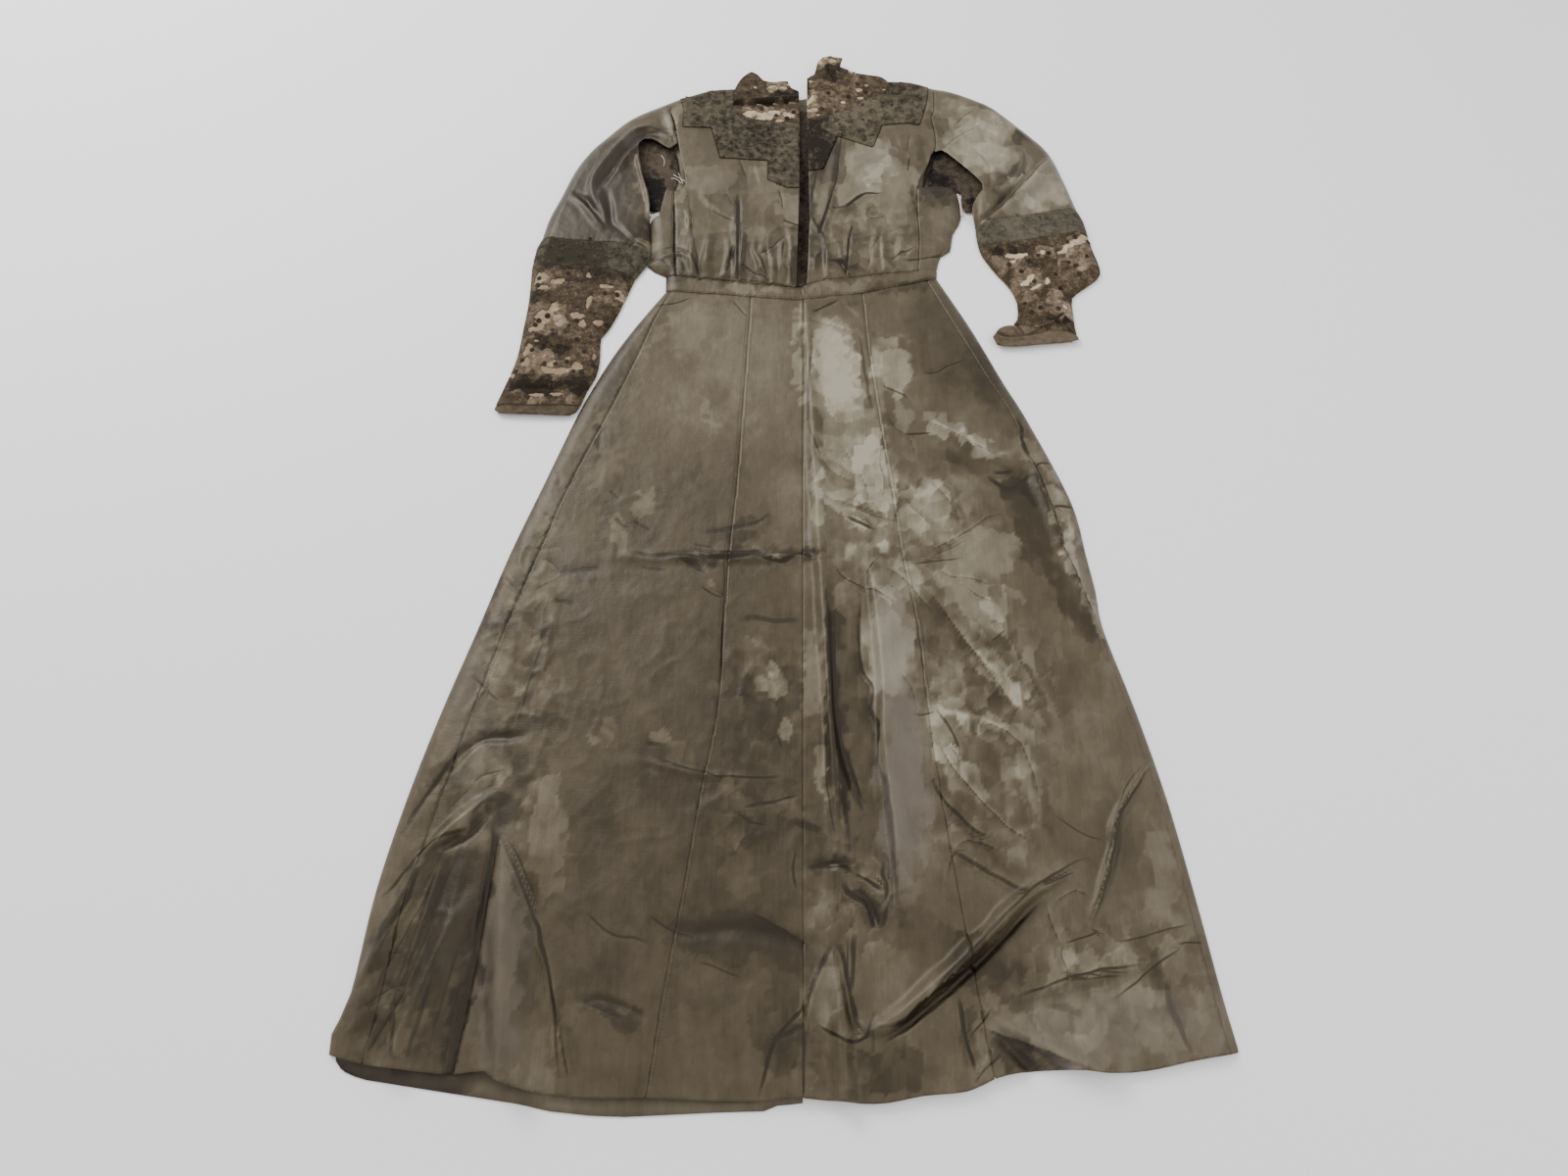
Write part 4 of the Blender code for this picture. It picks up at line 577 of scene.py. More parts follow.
# Crisp lines of the bodice and waistband
BODICE_LINES = tuple(Crease(*row) for row in (
    (((59, 300), (54, 250), (49, 205), (42, 168), (27, 118), (22, 98)), 1.5, 2.2, 0.2, -0.25, 12),
    (((42, 150), (62, 149), (78, 163), (90, 176), (114, 179)), 1.7, 2.6, 0.15, -0.15, 10),
    (((70, 112), (66, 90), (62, 40), (66, 26)), 1.6, 2.2, 0.3, -0.2, 10),
    (((22, 225), (12, 155)), 1.8, 0.9, 0.3, -0.5, 10),
    (((12, 140), (22, 108), (30, 98), (33, 40)), 1.6, 1, 0.2, -0.3, 9), (((12, 60), (30, 60)), 2.2, 0.7),
    (((36, 50), (56, 46), (64, 28)), 2.6, 0.9), (((120, 56), (132, 58), (160, 80)), 1.4, 0.7, 0.2, 0, 6),
    (((136, 52), (178, 62), (190, 68), (196, 78)), 1.6, 0.7, 0.1, 0.1, 6),
    (((156, 250), (152, 222)), 1.4, 0.8, 0.1, -0.1, 8), (((158, 300), (154, 262)), 1.2, 0.4, 0.2, -0.1, 8),
    (((160, 200), (158, 170), (166, 130)), 2, 0.2, 0, -0.4, 18),
    (((104, 156), (96, 150), (92, 132), (104, 128), (120, 138)), 1.2, 0.35, 0.2, 0, 8),
    (((112, 110), (92, 50), (90, 34)), 1.4, 0.35, 0.15, -0.15, 9),
    (((-92, 178), (-87, 110), (-84, 70), (-84, 18)), 2.4, 2, 0.35, -0.25, 10),
    (((-88, 92), (-86, 58), (-86, 24)), 4, 1.1),
    (((-92, 250), (-78, 205)), 1.4, 0.6, 0.15, -0.1, 8), (((-88, 84), (-104, 30)), 2, 0.9, 0, -0.1, 7),
    (((-126, 146), (-94, 124)), 1.6, 0.8, 0.1, 0, 6), (((-33, 186), (-26, 146)), 1.1, 0.8, 0.15, -0.1, 7),
    (((-26, 128), (-2, 116)), 1.6, 1, 0.2, 0, 7), (((-22, 98), (-62, 50)), 1.6, 0.9, 0.2, -0.1, 8),
    (((-24, 88), (-30, 24)), 1.6, 0.9, 0.2, -0.15, 8),
    (((-54, 74), (-56, 56), (-46, 24)), 1.6, 0.9, 0.25, -0.1, 7),
    (((-84, 46), (-62, 30), (-34, 18)), 1.6, 0.8, 0.1, 0, 6),
    (((-16, 60), (-14, 20)), 1.4, 0.5, 0.2, -0.1, 7),
    (((-180, 160), (-176, 70), (-170, 40), (-162, 28)), 1.8, 1.8, 0.15, 0.1, 8),
    (((-196, 74), (-178, 80), (-166, 76), (-154, 64), (-138, 28)), 1.5, 0.8, 0.1, -0.3, 12),
    (((-170, 70), (-158, 34)), 1.5, 0.8), (((-204, 58), (-194, 60), (-176, 36)), 1.5, 0.8),
    (((-162, 180), (-150, 90), (-138, 34)), 1.2, 0.4, 0.15, -0.2, 10),
    (((-170, 150), (-156, 110)), 1.2, 0.5, 0.2, 0.1, 6),
    (((-112, 190), (-94, 150)), 1.2, 0.2, 0, -0.25, 12),
    (((-198, 360), (-188, 315), (-190, 290), (-186, 278)), 1.5, 1.1, 0.2, -0.2, 8),
    (((168, 190), (208, 190)), 2.5, 1, 0, -0.6, 14), (((-104, 26), (-8, 10)), 1.3, 0.5),
    (((176, 60), (194, 72)), 1.5, 0.8), (((132, 12), (178, 26)), 3, 0.4),
))

# Crisp lines of the sleeves
SLEEVE_LINES = tuple(Crease(*row) for row in (
    (((-330, 184), (-296, 146), (-272, 112)), 2.2, 0.9, 0.2, -0.5, 14),
    (((-240, 288), (-276, 225), (-286, 195), (-284, 170), (-276, 150)), 3, 0.8, -0.35, -0.35, 16),
    (((-186, 296), (-220, 312), (-238, 306), (-256, 292)), 2.4, 0.6, 0.1, -0.35, 12),
    (((-270, 130), (-240, 96), (-210, 78)), 1.8, 0.8, 0.3, -0.3, 14),
    (((-236, 270), (-240, 240), (-228, 180)), 1.2, 0.3, 0, 0.35, 10),
    (((-262, 262), (-270, 230), (-262, 200)), 2, 0.3, 0, -0.2, 10),
    (((360, 252), (298, 170), (258, 126)), 1.6, 0.9, 0.3, -0.35, 16),
    (((322, 262), (322, 240), (312, 214), (300, 196)), 1.4, 0.4, 0, -0.2, 10),
    (((204, 268), (258, 312)), 1.6, 0.3, -0.2, 0.3, 12),
    (((258, 350), (244, 338), (224, 312)), 1.6, 0.4, 0.1, 0, 8),
    (((250, 270), (264, 240), (270, 210), (262, 180)), 2, 0.2, 0.1, -0.2, 16),
    (((258, -68), (276, -74), (298, -72), (312, -64), (326, -57)), 2.2, 1.4),
    (((287, -50), (291, -60), (295, -68)), 1.8, 1.4), (((330, -50), (342, -43), (352, -34)), 2.2, 1.4),
))

# Lighter and darker silk, crepe and lining: painted sheen where light catches the cloth, then painted shade
PAINTED_SHEEN_AND_SHADE = tuple(Patch(*row) for row in (
    (45, -125, 62, 150, 2, 1.1), (92, -150, 22, 110, 0, 0.3), (118, -128, 44, 92, 10, 0.75),
    (62, -235, 80, 90, -30, 0.7), (88, -290, 56, 110, 0, 0.85), (150, -345, 70, 80, 0, 0.7),
    (190, -235, 90, 18, -28, 0.7), (215, -400, 90, 70, 0, 0.45), (110, -440, 60, 60, 0, 0.45),
    (55, -345, 22, 60, 35, 0.6), (92, -392, 34, 16, 0, 0.8), (190, -455, 90, 40, -45, 0.5),
    (100, -520, 56, 150, 0, 0.5), (226, -560, 80, 22, -50, 0.75), (158, -606, 46, 24, 0, 0.7),
    (216, -622, 90, 22, -18, 0.55), (176, -678, 34, 90, 34, 0.5), (245, -680, 22, 70, 15, 0.35),
    (212, -748, 50, 60, 30, 0.3), (300, -930, 240, 80, 4, 0.3), (290, -866, 60, 26, 5, 0.4),
    (372, -780, 34, 110, 0, 0.3), (14, -560, 26, 120, 0, 0.45), (20, -320, 14, 120, 0, 0.55),
    (-4, -110, 10, 170, 0, 0.55), (24, -660, 10, 130, 0, 0.6), (22, -900, 34, 70, 0, 0.35),
    (-30, -575, 34, 44, 30, 0.7), (-18, -630, 12, 34, 0, 0.7), (-52, -540, 30, 70, 10, 0.35),
    (-60, -785, 36, 60, 0, 0.25), (-80, -690, 50, 16, 0, 0.25), (-156, -632, 28, 24, 0, 0.55),
    (-132, -650, 24, 16, 0, 0.35), (-236, -630, 12, 34, 10, 0.5), (-210, -625, 8, 26, 0, 0.4),
    (-272, -740, 38, 130, 6, 0.5), (-300, -870, 40, 190, 6, 0.3), (-250, -960, 60, 70, 20, 0.3),
    (-228, -370, 18, 60, 5, 0.6), (-196, -330, 18, 36, 20, 0.5), (-112, -420, 34, 12, -45, 0.5),
    (-44, -402, 34, 10, -25, 0.5), (-98, -452, 24, 8, -50, 0.5), (-250, -200, 30, 34, 0, 0.3),
    (-240, -290, 30, 70, 10, 0.3), (-300, -440, 34, 34, 30, 0.35), (-310, -365, 30, 30, 30, 0.35),
    (-340, -570, 40, 50, 20, 0.3), (-358, -605, 20, 50, 10, 0.35), (-320, -600, 16, 60, 0, 0.25),
    (-130, -120, 190, 240, 0, 0.28), (-40, -240, 60, 300, 0, 0.12), (-150, -60, 60, 80, 0, 0.2),
    (-195, -80, 14, 90, -22, 0.3), (-265, -145, 20, 90, -22, 0.2), (-120, -200, 10, 60, 15, 0.25),
    (-385, -770, 30, 60, 0, 0.15), (-325, -670, 20, 40, -20, 0.35), (-400, -920, 20, 60, 15, 0.3),
    (100, 245, 70, 100, 0, 0.75), (80, 180, 60, 70, 20, 0.6), (135, 190, 60, 130, 0, 0.45),
    (110, 120, 100, 60, 0, 0.35), (120, 60, 80, 50, 0, 0.2), (20, 150, 14, 70, 0, 0.3),
    (-130, 210, 70, 70, 0, 0.3), (-55, 190, 50, 90, 10, 0.3), (-120, 120, 60, 70, 0, 0.15),
    (-16, 150, 26, 60, 0, 0.4), (-30, 70, 30, 60, 0, 0.2), (-60, 110, 36, 50, 0, 0.25),
    (-174, 160, 16, 60, 0, 0.4), (-162, 120, 12, 40, 0, 0.4), (-190, 330, 22, 60, -12, 0.45),
    (-250, 320, 60, 40, 40, 0.15), (-300, 240, 34, 110, -28, 0.12), (-302, 180, 10, 100, 0, 0.3),
    (-228, 200, 20, 140, 12, 0.5), (-290, 120, 60, 16, -48, 0.3), (-212, 90, 14, 40, 0, 0.4),
    (262, 275, 90, 110, 0, 0.85), (300, 220, 60, 90, -30, 0.35), (280, 330, 90, 40, -30, 0.4),
    (345, 190, 70, 110, -20, 0.45), (310, 150, 80, 30, 0, 0.4), (228, 340, 50, 60, 0, 0.25),
    (186, 360, 16, 60, 0, 0.3), (252, 150, 16, 70, 5, 0.3), (190, 130, 40, 80, 0, 0.1),
    (200, -85, 110, 190, 12, -0.35), (262, -170, 60, 160, 24, -0.3), (275, -350, 50, 150, 16, -0.6),
    (205, -270, 70, 40, -20, -0.35), (318, -470, 34, 110, 14, -0.6), (262, -310, 50, 26, 10, -0.4),
    (40, -600, 16, 260, 0, -0.9), (62, -620, 20, 220, 4, -0.35), (30, -776, 64, 16, 0, -0.25),
    (66, -820, 36, 40, 0, -0.6), (90, -968, 70, 60, 0, -0.5), (130, -850, 130, 60, -35, -0.25),
    (190, -880, 110, 50, -40, -0.4), (210, -965, 60, 30, -30, -0.7), (160, -940, 14, 60, 0, -0.4),
    (270, -560, 140, 110, 0, -0.1), (190, -540, 40, 60, -35, -0.3), (262, -640, 60, 50, 0, -0.2),
    (330, -770, 50, 120, 20, -0.2), (360, -910, 14, 70, 8, -0.3), (-60, -850, 150, 50, -8, -0.35),
    (-20, -930, 60, 90, 10, -0.35), (-160, -760, 240, 260, 0, -0.12), (-190, -918, 60, 14, -12, -0.4),
    (-350, -870, 60, 240, 4, -0.45), (-332, -890, 12, 210, -4, -0.9), (-400, -850, 70, 220, -12, -0.4),
    (-390, -700, 40, 90, -30, -0.4), (-318, -720, 40, 40, 0, -0.45), (-350, -635, 50, 12, 0, -0.5),
    (-230, -950, 14, 90, 12, -0.4), (-100, -406, 150, 12, 2, -0.6), (-70, -368, 80, 12, 10, -0.35),
    (-268, -426, 40, 14, 0, -0.4), (-180, -560, 240, 260, 0, -0.05), (5, -402, 40, 16, -10, -0.6),
    (-256, -232, 8, 44, 0, -0.5), (120, 10, 120, 22, 10, -0.45), (-85, 80, 10, 110, 0, -0.6),
    (-175, 110, 8, 90, 0, -0.5), (-180, 56, 60, 26, -20, -0.35), (20, 90, 22, 90, 0, -0.5),
    (50, 46, 50, 22, 0, -0.4), (-185, 30, 50, 14, 0, -0.5), (-262, 240, 26, 110, -28, -0.75),
    (-232, 298, 60, 18, 10, -0.5), (-268, 150, 24, 100, 12, -0.8), (-240, 110, 60, 40, -10, -0.7),
    (-304, 160, 14, 60, -35, -0.5), (-260, 100, 100, 22, 0, -0.4), (205, 320, 30, 50, 20, -0.4),
    (330, 300, 26, 70, -40, -0.5), (306, 216, 60, 22, 50, -0.45), (280, 186, 26, 60, -10, -0.4),
    (176, 250, 14, 120, 0, -0.3), (190, 170, 50, 40, 0, -0.6), (190, 185, 60, 20, 0, -0.6),
    (-290, 205, 70, 150, -28, -0.45), (-300, 66, 120, 40, 0, -0.6), (330, 118, 120, 40, 8, 0.25),
    (330, 180, 90, 60, 0, 0.35), (80, 335, 90, 60, 20, 0.6), (100, -540, 50, 120, 0, 0.35),
    (-60, 4, 130, 18, -4, 0.4), (60, 12, 130, 18, 6, 0.3), (330, -440, 16, 150, 12, 0.6),
    (312, -350, 30, 80, 16, 0.5), (297, -280, 20, 90, 16, 0.2), (-290, -880, 60, 170, 6, -0.35),
    (-370, -860, 70, 200, -6, -0.3), (-70, 300, 60, 60, 0, -0.3), (15, 300, 30, 90, 0, -0.5),
    (20, 260, 30, 60, 0, -0.4), (130, 350, 60, 50, 0, 0.15), (-150, 350, 60, 40, 0, 0.2),
    (-80, 210, 60, 30, 0, -0.2), (-210, -480, 420, 1100, 10, -0.3), (-120, 110, 230, 230, 0, -0.25),
    (100, 150, 200, 250, 0, -0.12), (-282, 190, 110, 280, -20, -0.8), (-320, -70, 170, 260, 0, -0.9),
    (330, 0, 160, 190, 0, 0.7), (28, 280, 40, 150, 0, -1.0), (-10, 60, 14, 110, 0, -0.7),
    (10, 150, 12, 160, 0, -0.7), (-30, -700, 120, 300, 0, -0.2), (270, 270, 60, 70, 0, -0.1),
    (60, -190, 60, 110, 0, 0.15), (-100, 300, 140, 110, 0, -0.25), (128, -205, 30, 40, 0, 0.4),
    (60, -214, 90, 34, 0, -0.45), (202, -230, 130, 13, -33, 0.5), (66, -120, 5, 130, 3, -0.3),
    (88, -130, 8, 130, -4, -0.3), (44, -130, 3, 140, 0, 0.25), (74, -150, 3, 120, 3, 0.3),
    (42, -300, 40, 60, -30, 0.4), (150, -490, 30, 90, -25, -0.3), (238, -470, 24, 60, -30, 0.35),
    (205, -508, 26, 110, -32, 0.4), (172, -560, 34, 90, -20, 0.4), (236, -590, 20, 40, -35, 0.35),
    (150, -640, 26, 60, 20, 0.4), (60, -400, 30, 20, 20, 0.3),
))
# Where the lace is thin over its lining, where it is worked dark, and painted shade along the left collar's crease
LACE_PATCHES = tuple(Patch(*row) for row in (
    (-300, 34, 150, 22, 0, -0.5), (-346, -82, 40, 18, 0, -0.5), (-312, -101, 24, 14, 10, -0.6),
    (-345, -156, 70, 30, 5, -0.8), (-296, -156, 46, 22, -25, -0.8), (-350, -12, 40, 14, 0, -0.5),
    (-302, -22, 16, 16, 0, -0.8), (-309, -60, 9, 12, 0, -0.8), (-318, -52, 22, 44, 15, 0.7),
    (-338, -104, 32, 34, 20, 0.7), (-322, -117, 50, 14, 0, 0.7), (-280, -90, 50, 50, 0, 0.2),
    (-330, -175, 90, 14, -3, 0.6), (-346, -42, 60, 60, 30, 0.5), (-350, 18, 44, 40, 0, 0.5),
    (-252, 0, 50, 30, 10, 0.4), (-320, -130, 90, 20, 0, 0.5), (-362, -108, 24, 60, 0, 0.5),
    (330, 50, 22, 26, 0, -0.6), (369, 48, 20, 18, 0, -0.5), (312, 52, 14, 14, 0, -0.3),
    (350, -44, 30, 12, 45, -0.8), (268, 78, 30, 12, 0, -0.5), (300, 84, 70, 10, 12, -0.4),
    (350, 20, 60, 40, 0, 0.1), (380, 60, 50, 40, 0, 0.35), (310, 40, 60, 50, 0, 0.35),
    (310, 12, 50, 34, 20, 0.4), (310, -30, 40, 60, 0, 0.1), (350, -20, 34, 40, 20, 0.4),
    (280, 50, 34, 30, 0, 0.5), (380, 86, 60, 34, 20, 0.5), (330, -76, 70, 16, 0, 0.3),
    (-30, 400, 44, 24, 0, 0.9), (-50, 366, 100, 9, 4, -1.2), (-26, 374, 50, 10, 5, -0.8),
    (-90, 380, 24, 30, 0, -0.3), (-50, 340, 90, 30, 0, 0.8), (48, 428, 26, 40, 0, -0.5),
    (8, 396, 18, 30, 0, -1.0), (50, 374, 70, 60, -20, 0.35), (96, 410, 60, 24, -20, 0.25),
    (14, 360, 24, 50, -20, 0.7), (46, 455, 30, 20, 0, 0.7), (28, 450, 14, 34, 0, 0.4),
    (80, 394, 60, 14, -30, 0.3), (385, 30, 60, 90, 0, 0.25), (350, 60, 60, 40, 0, 0.2),
    (332, 68, 24, 24, 0, 0.6), (384, 42, 30, 18, -30, 0.5), (356, 38, 16, 18, 0, 0.5),
    (304, -12, 30, 24, 0, 0.35), (340, -16, 30, 24, 0, 0.4), (356, -34, 14, 24, 0, 0.8),
    (276, 44, 26, 26, 0, 0.2), (325, -64, 30, 16, 0, 0.5),
))

# Painted shade under the hem and front opening and in the armholes, and painted light where these are lit
UNDER_PAINTED_SHADE_AND_LIGHT = tuple(Patch(*row) for row in (
    (-400, -975, 180, 50, 0, -1.2), (-216, 178, 34, 110, 0, -1.3), (-213, 252, 34, 46, 0, 0.5),
    (-205, 242, 20, 46, 0, 0.9), (-183, 210, 26, 60, 0, 0.8), (-222, 284, 56, 12, 0, -1.0),
    (-176, 224, 10, 60, 20, -0.6), (200, 260, 30, 22, 0, -0.9), (195, 245, 18, 20, 0, 1.3),
    (194, 208, 46, 60, 0, -1.1), (240, 208, 40, 60, 0, 0.6), (237, 154, 16, 50, 0, -1.3),
    (214, 178, 24, 30, 0, 0.4), (0, 160, 20, 340, 0, -0.7),
))

# Where the silk is more crumpled, and where it is smoother
CRUMPLED_PATCHES = tuple(Patch(*row) for row in (
    (-110, -180, 200, 330, 0, -0.3), (200, -90, 100, 160, 12, -0.25), (55, -130, 60, 160, 0, -0.2),
    (120, -330, 200, 120, -20, 0.45), (90, -430, 120, 90, 0, 0.5), (210, -570, 170, 160, 0, 0.5),
    (190, -720, 160, 120, 20, 0.45), (60, -800, 110, 120, 0, 0.5), (300, -890, 240, 120, 5, 0.4),
    (40, -950, 140, 90, 0, 0.35), (-40, -590, 110, 160, 0, 0.35), (-50, -720, 120, 70, 0, 0.4),
    (-330, -500, 80, 280, 16, 0.55), (-340, -690, 110, 130, -30, 0.5), (-400, -880, 90, 180, 0, 0.4),
    (-290, -880, 60, 200, 5, -0.15), (-60, -400, 120, 50, 0, 0.3), (-60, 70, 160, 110, 0, 0.35),
    (80, 80, 150, 120, 0, 0.4), (100, 240, 90, 110, 0, 0.1), (250, 300, 120, 100, -20, 0.1),
    (310, -320, 50, 220, 16, 0.4), (-250, 200, 90, 160, -20, 0.3),
))

# Where the silk's sheen turns violet
VIOLET_PATCHES = tuple(Patch(*row) for row in (
    (106, -560, 52, 260, 0, 0.6), (108, -700, 46, 200, -3, 1.0), (14, -330, 12, 120, 0, 0.6),
    (8, -240, 10, 60, 0, 0.3), (300, -930, 220, 70, 4, 0.5), (-300, -880, 50, 200, 4, 0.45),
    (-380, -560, 60, 300, 14, 0.3), (-300, -330, 40, 260, 14, 0.25), (320, 190, 70, 150, 0, 0.35),
    (335, -430, 18, 130, 12, 0.5), (-290, 220, 60, 120, -28, 0.2), (-240, 290, 50, 30, 0, 0.4),
    (-130, 200, 60, 60, 0, 0.3), (110, 250, 60, 80, 0, 0.35),
))


def soften(points: Points, step: float = 12.0) -> np.ndarray:
    """Carry a smooth line through points.

    Between points b and c, with a before and d after: half of 2b + (c - a)t
    + (2a - 5b + 4c - d)t^2 + (3b - a - 3c + d)t^3.

    Args:
        points: the places that the line passes through.
        step: the distance between the points that are returned.

    Returns:
        The line as an array with a row for each point.
    """
    given = np.asarray(points, float)
    padded = np.vstack([2 * given[0] - given[1], given, 2 * given[-1] - given[-2]])
    pieces = []
    for index in range(len(given) - 1):
        a, b, c, d = padded[index:index + 4]
        count = max(1, int(round(np.linalg.norm((c - b)[:2]) / step)))
        t = (np.arange(count) / count)[:, None]
        pieces.append(0.5 * (2 * b + (c - a) * t + (2 * a - 5 * b + 4 * c - d) * t ** 2
                             + (3 * b - a - 3 * c + d) * t ** 3))
    pieces.append(given[-1:])
    return np.vstack(pieces)


def straighten(points: Points, step: float = 12.0) -> np.ndarray:
    """Join points by straight lines: a + (b - a)t between each two.

    Args:
        points: the corners of the line.
        step: the distance between the points that are returned.

    Returns:
        The line as an array with a row for each point.
    """
    given = np.asarray(points, float)
    pieces = []
    for first, second in zip(given[:-1], given[1:]):
        count = max(1, int(round(np.linalg.norm(second - first) / step)))
        t = (np.arange(count) / count)[:, None]
        pieces.append(first + (second - first) * t)
    pieces.append(given[-1:])
    return np.vstack(pieces)


def cut_at(line: np.ndarray, first: float, last: float) -> np.ndarray:
    """Return the part of a line that runs from left to right between two x values."""
    inner = line[(line[:, 0] > first + 0.5) & (line[:, 0] < last - 0.5)]
    ends = [(x, np.interp(x, line[:, 0], line[:, 1])) for x in (first, last)]
    return np.vstack([ends[:1], inner, ends[1:]])


def make_lines() -> dict[str, np.ndarray]:
    """Return every named line of the cut as an array of points."""
    lines = {name: soften(points) for name, points in SOFT_LINES.items()}
    lines.update({name: straighten(points) for name, points in SHARP_LINES.items()})
    for name, (top, across, hem) in SKIRT_SEAMS.items():
        points = [top] + [(x, -drop) for x, drop in zip(across, SKIRT_DROPS)] + [hem]
        points = sorted(points + list(EDGE_POINTS.get(name, ())), key=lambda point: -point[1])
        lines["skirt " + name] = soften(tuple(points), 20.0)
    waist = np.vstack([lines["waist low left"], lines["waist low right"][1:]])
    stops = (-185, -178, -69, 2, 82, 170, 185)
    for letter, first, last in zip("abcdef", stops[:-1], stops[1:]):
        lines["waist " + letter] = cut_at(waist, first, last)
    return lines


LINES = make_lines()


def nearest(x: np.ndarray, y: np.ndarray, line: np.ndarray) -> tuple[np.ndarray, np.ndarray, np.ndarray]:
    """Measure points against a line: the least distance to its straight stretches.

    Args:
        x: the points' x values.
        y: the points' y values.
        line: the line's points.

    Returns:
        The distance, the side (above nought on the left) and the place along the line.
    """
    best = np.full(x.shape, 1e9)
    side = np.zeros(x.shape)
    place = np.zeros(x.shape)
    for index, (first, second) in enumerate(zip(line[:-1], line[1:])):
        along = second - first
        t = np.clip(((x - first[0]) * along[0] + (y - first[1]) * along[1]) / (along @ along), 0, 1)
        off_x = x - first[0] - t * along[0]
        off_y = y - first[1] - t * along[1]
        distance = off_x * off_x + off_y * off_y
        nearer = distance < best
        best = np.where(nearer, distance, best)
        side = np.where(nearer, along[0] * off_y - along[1] * off_x, side)
        place = np.where(nearer, index + t, place)
    return np.sqrt(best), side, place


def within_reach(x: np.ndarray, y: np.ndarray, line: np.ndarray, reach: float) -> np.ndarray:
    """Tell which points lie in a line's box widened by a reach."""
    low = line[:, :2].min(axis=0) - reach
    high = line[:, :2].max(axis=0) + reach
    return (x > low[0]) & (x < high[0]) & (y > low[1]) & (y < high[1])


def noise(x: np.ndarray, y: np.ndarray, size: float, seed: int) -> np.ndarray:
    """Blend a random value at each corner of a square lattice with 3t^2 - 2t^3 each way.

    Args:
        x: the points' x values.
        y: the points' y values.
        size: the side of a lattice square.
        seed: which random values are used.

    Returns:
        A smooth value from 0 to 1 at each point.
    """
    gx = x / size
    gy = y / size
    ix = np.floor(gx)
    iy = np.floor(gy)
    fx = gx - ix
    fy = gy - iy
    fx = fx * fx * (3 - 2 * fx)
    fy = fy * fy * (3 - 2 * fy)

    def corner(i: np.ndarray, j: np.ndarray) -> np.ndarray:
        """Return a random value from 0 to 1 for each lattice corner."""
        value = np.sin(i * 127.1 + j * 311.7 + seed * 74.7) * 43758.5453
        return value - np.floor(value)

    low = corner(ix, iy) * (1 - fx) + corner(ix + 1, iy) * fx
    high = corner(ix, iy + 1) * (1 - fx) + corner(ix + 1, iy + 1) * fx
    return low * (1 - fy) + high * fy


def crumple(x: np.ndarray, y: np.ndarray, size: float, seed: int) -> np.ndarray:
    """Return sharp wandering creases: 1 - |2n - 1| of a noise n read at places that noise moves.

    Args:
        x: the points' x values.
        y: the points' y values.
        size: the distance between creases.
        seed: which creases are made.

    Returns:
        A value from 0 to 1, near 1 along the creases.
    """
    moved_x = x + 0.7 * size * (noise(x, y, size * 1.3, seed + 11) - 0.5) * 2
    moved_y = y + 0.7 * size * (noise(x, y, size * 1.3, seed + 23) - 0.5) * 2
    value = noise(moved_x, moved_y, size, seed)
    return 1 - np.abs(2 * value - 1)


def facets(x: np.ndarray, y: np.ndarray, size: float, seed: int) -> tuple[np.ndarray, np.ndarray]:
    """Find the nearest of scattered places: one in each lattice square, moved by a random amount.

    Args:
        x: the points' x values.
        y: the points' y values.
        size: the side of a lattice square; the squares are 1.5 times as long as they are wide.
        seed: which places are used.

    Returns:
        The x and the y of the nearest place.
    """
    long = 1.5 * size
    column = np.floor(x / size)
    row = np.floor(y / long)
    best = np.full(x.shape, 1e9)
    best_x = x.copy()
    best_y = y.copy()
    for i in (-1, 0, 1):
        for j in (-1, 0, 1):
            chance_x = np.sin((column + i) * 127.1 + (row + j) * 311.7 + seed) * 43758.5453
            chance_y = np.sin((column + i) * 269.5 + (row + j) * 183.3 + seed) * 43758.5453
            place_x = (column + i + 0.1 + 0.8 * (chance_x - np.floor(chance_x))) * size
            place_y = (row + j + 0.1 + 0.8 * (chance_y - np.floor(chance_y))) * long
            distance = (place_x - x) ** 2 + ((place_y - y) / 1.5) ** 2
            nearer = distance < best
            best = np.where(nearer, distance, best)
            best_x = np.where(nearer, place_x, best_x)
            best_y = np.where(nearer, place_y, best_y)
    return best_x, best_y


def painted_facet_shading(x: np.ndarray, y: np.ndarray, size: float, seed: int) -> np.ndarray:
    """Return painted light and shade of crumpled facets: each has its own tone and its own slope of tone.

    Args:
        x: the points' x values.
        y: the points' y values.
        size: a facet's width in mm.
        seed: which facets are used.

    Returns:
        Values around nought, mostly between -0.7 and 0.7.
    """
    wander_x = x + 0.7 * size * (noise(x, y, 1.1 * size, seed + 1) - 0.5)
    wander_y = y + 0.7 * size * (noise(x, y, 1.1 * size, seed + 2) - 0.5)
    middle_x, middle_y = facets(wander_x, wander_y, size, seed)
    chance = np.sin(middle_x * 12.9898 + middle_y * 78.233) * 43758.5453
    chance -= np.floor(chance)
    lean = np.sin(middle_x * 39.346 + middle_y * 11.135) * 24634.6345
    lean = 2 * math.pi * (lean - np.floor(lean))
    slope = (np.cos(lean) * (wander_x - middle_x) + np.sin(lean) * (wander_y - middle_y)) / size
    return 0.9 * (chance - 0.5) + 0.9 * slope


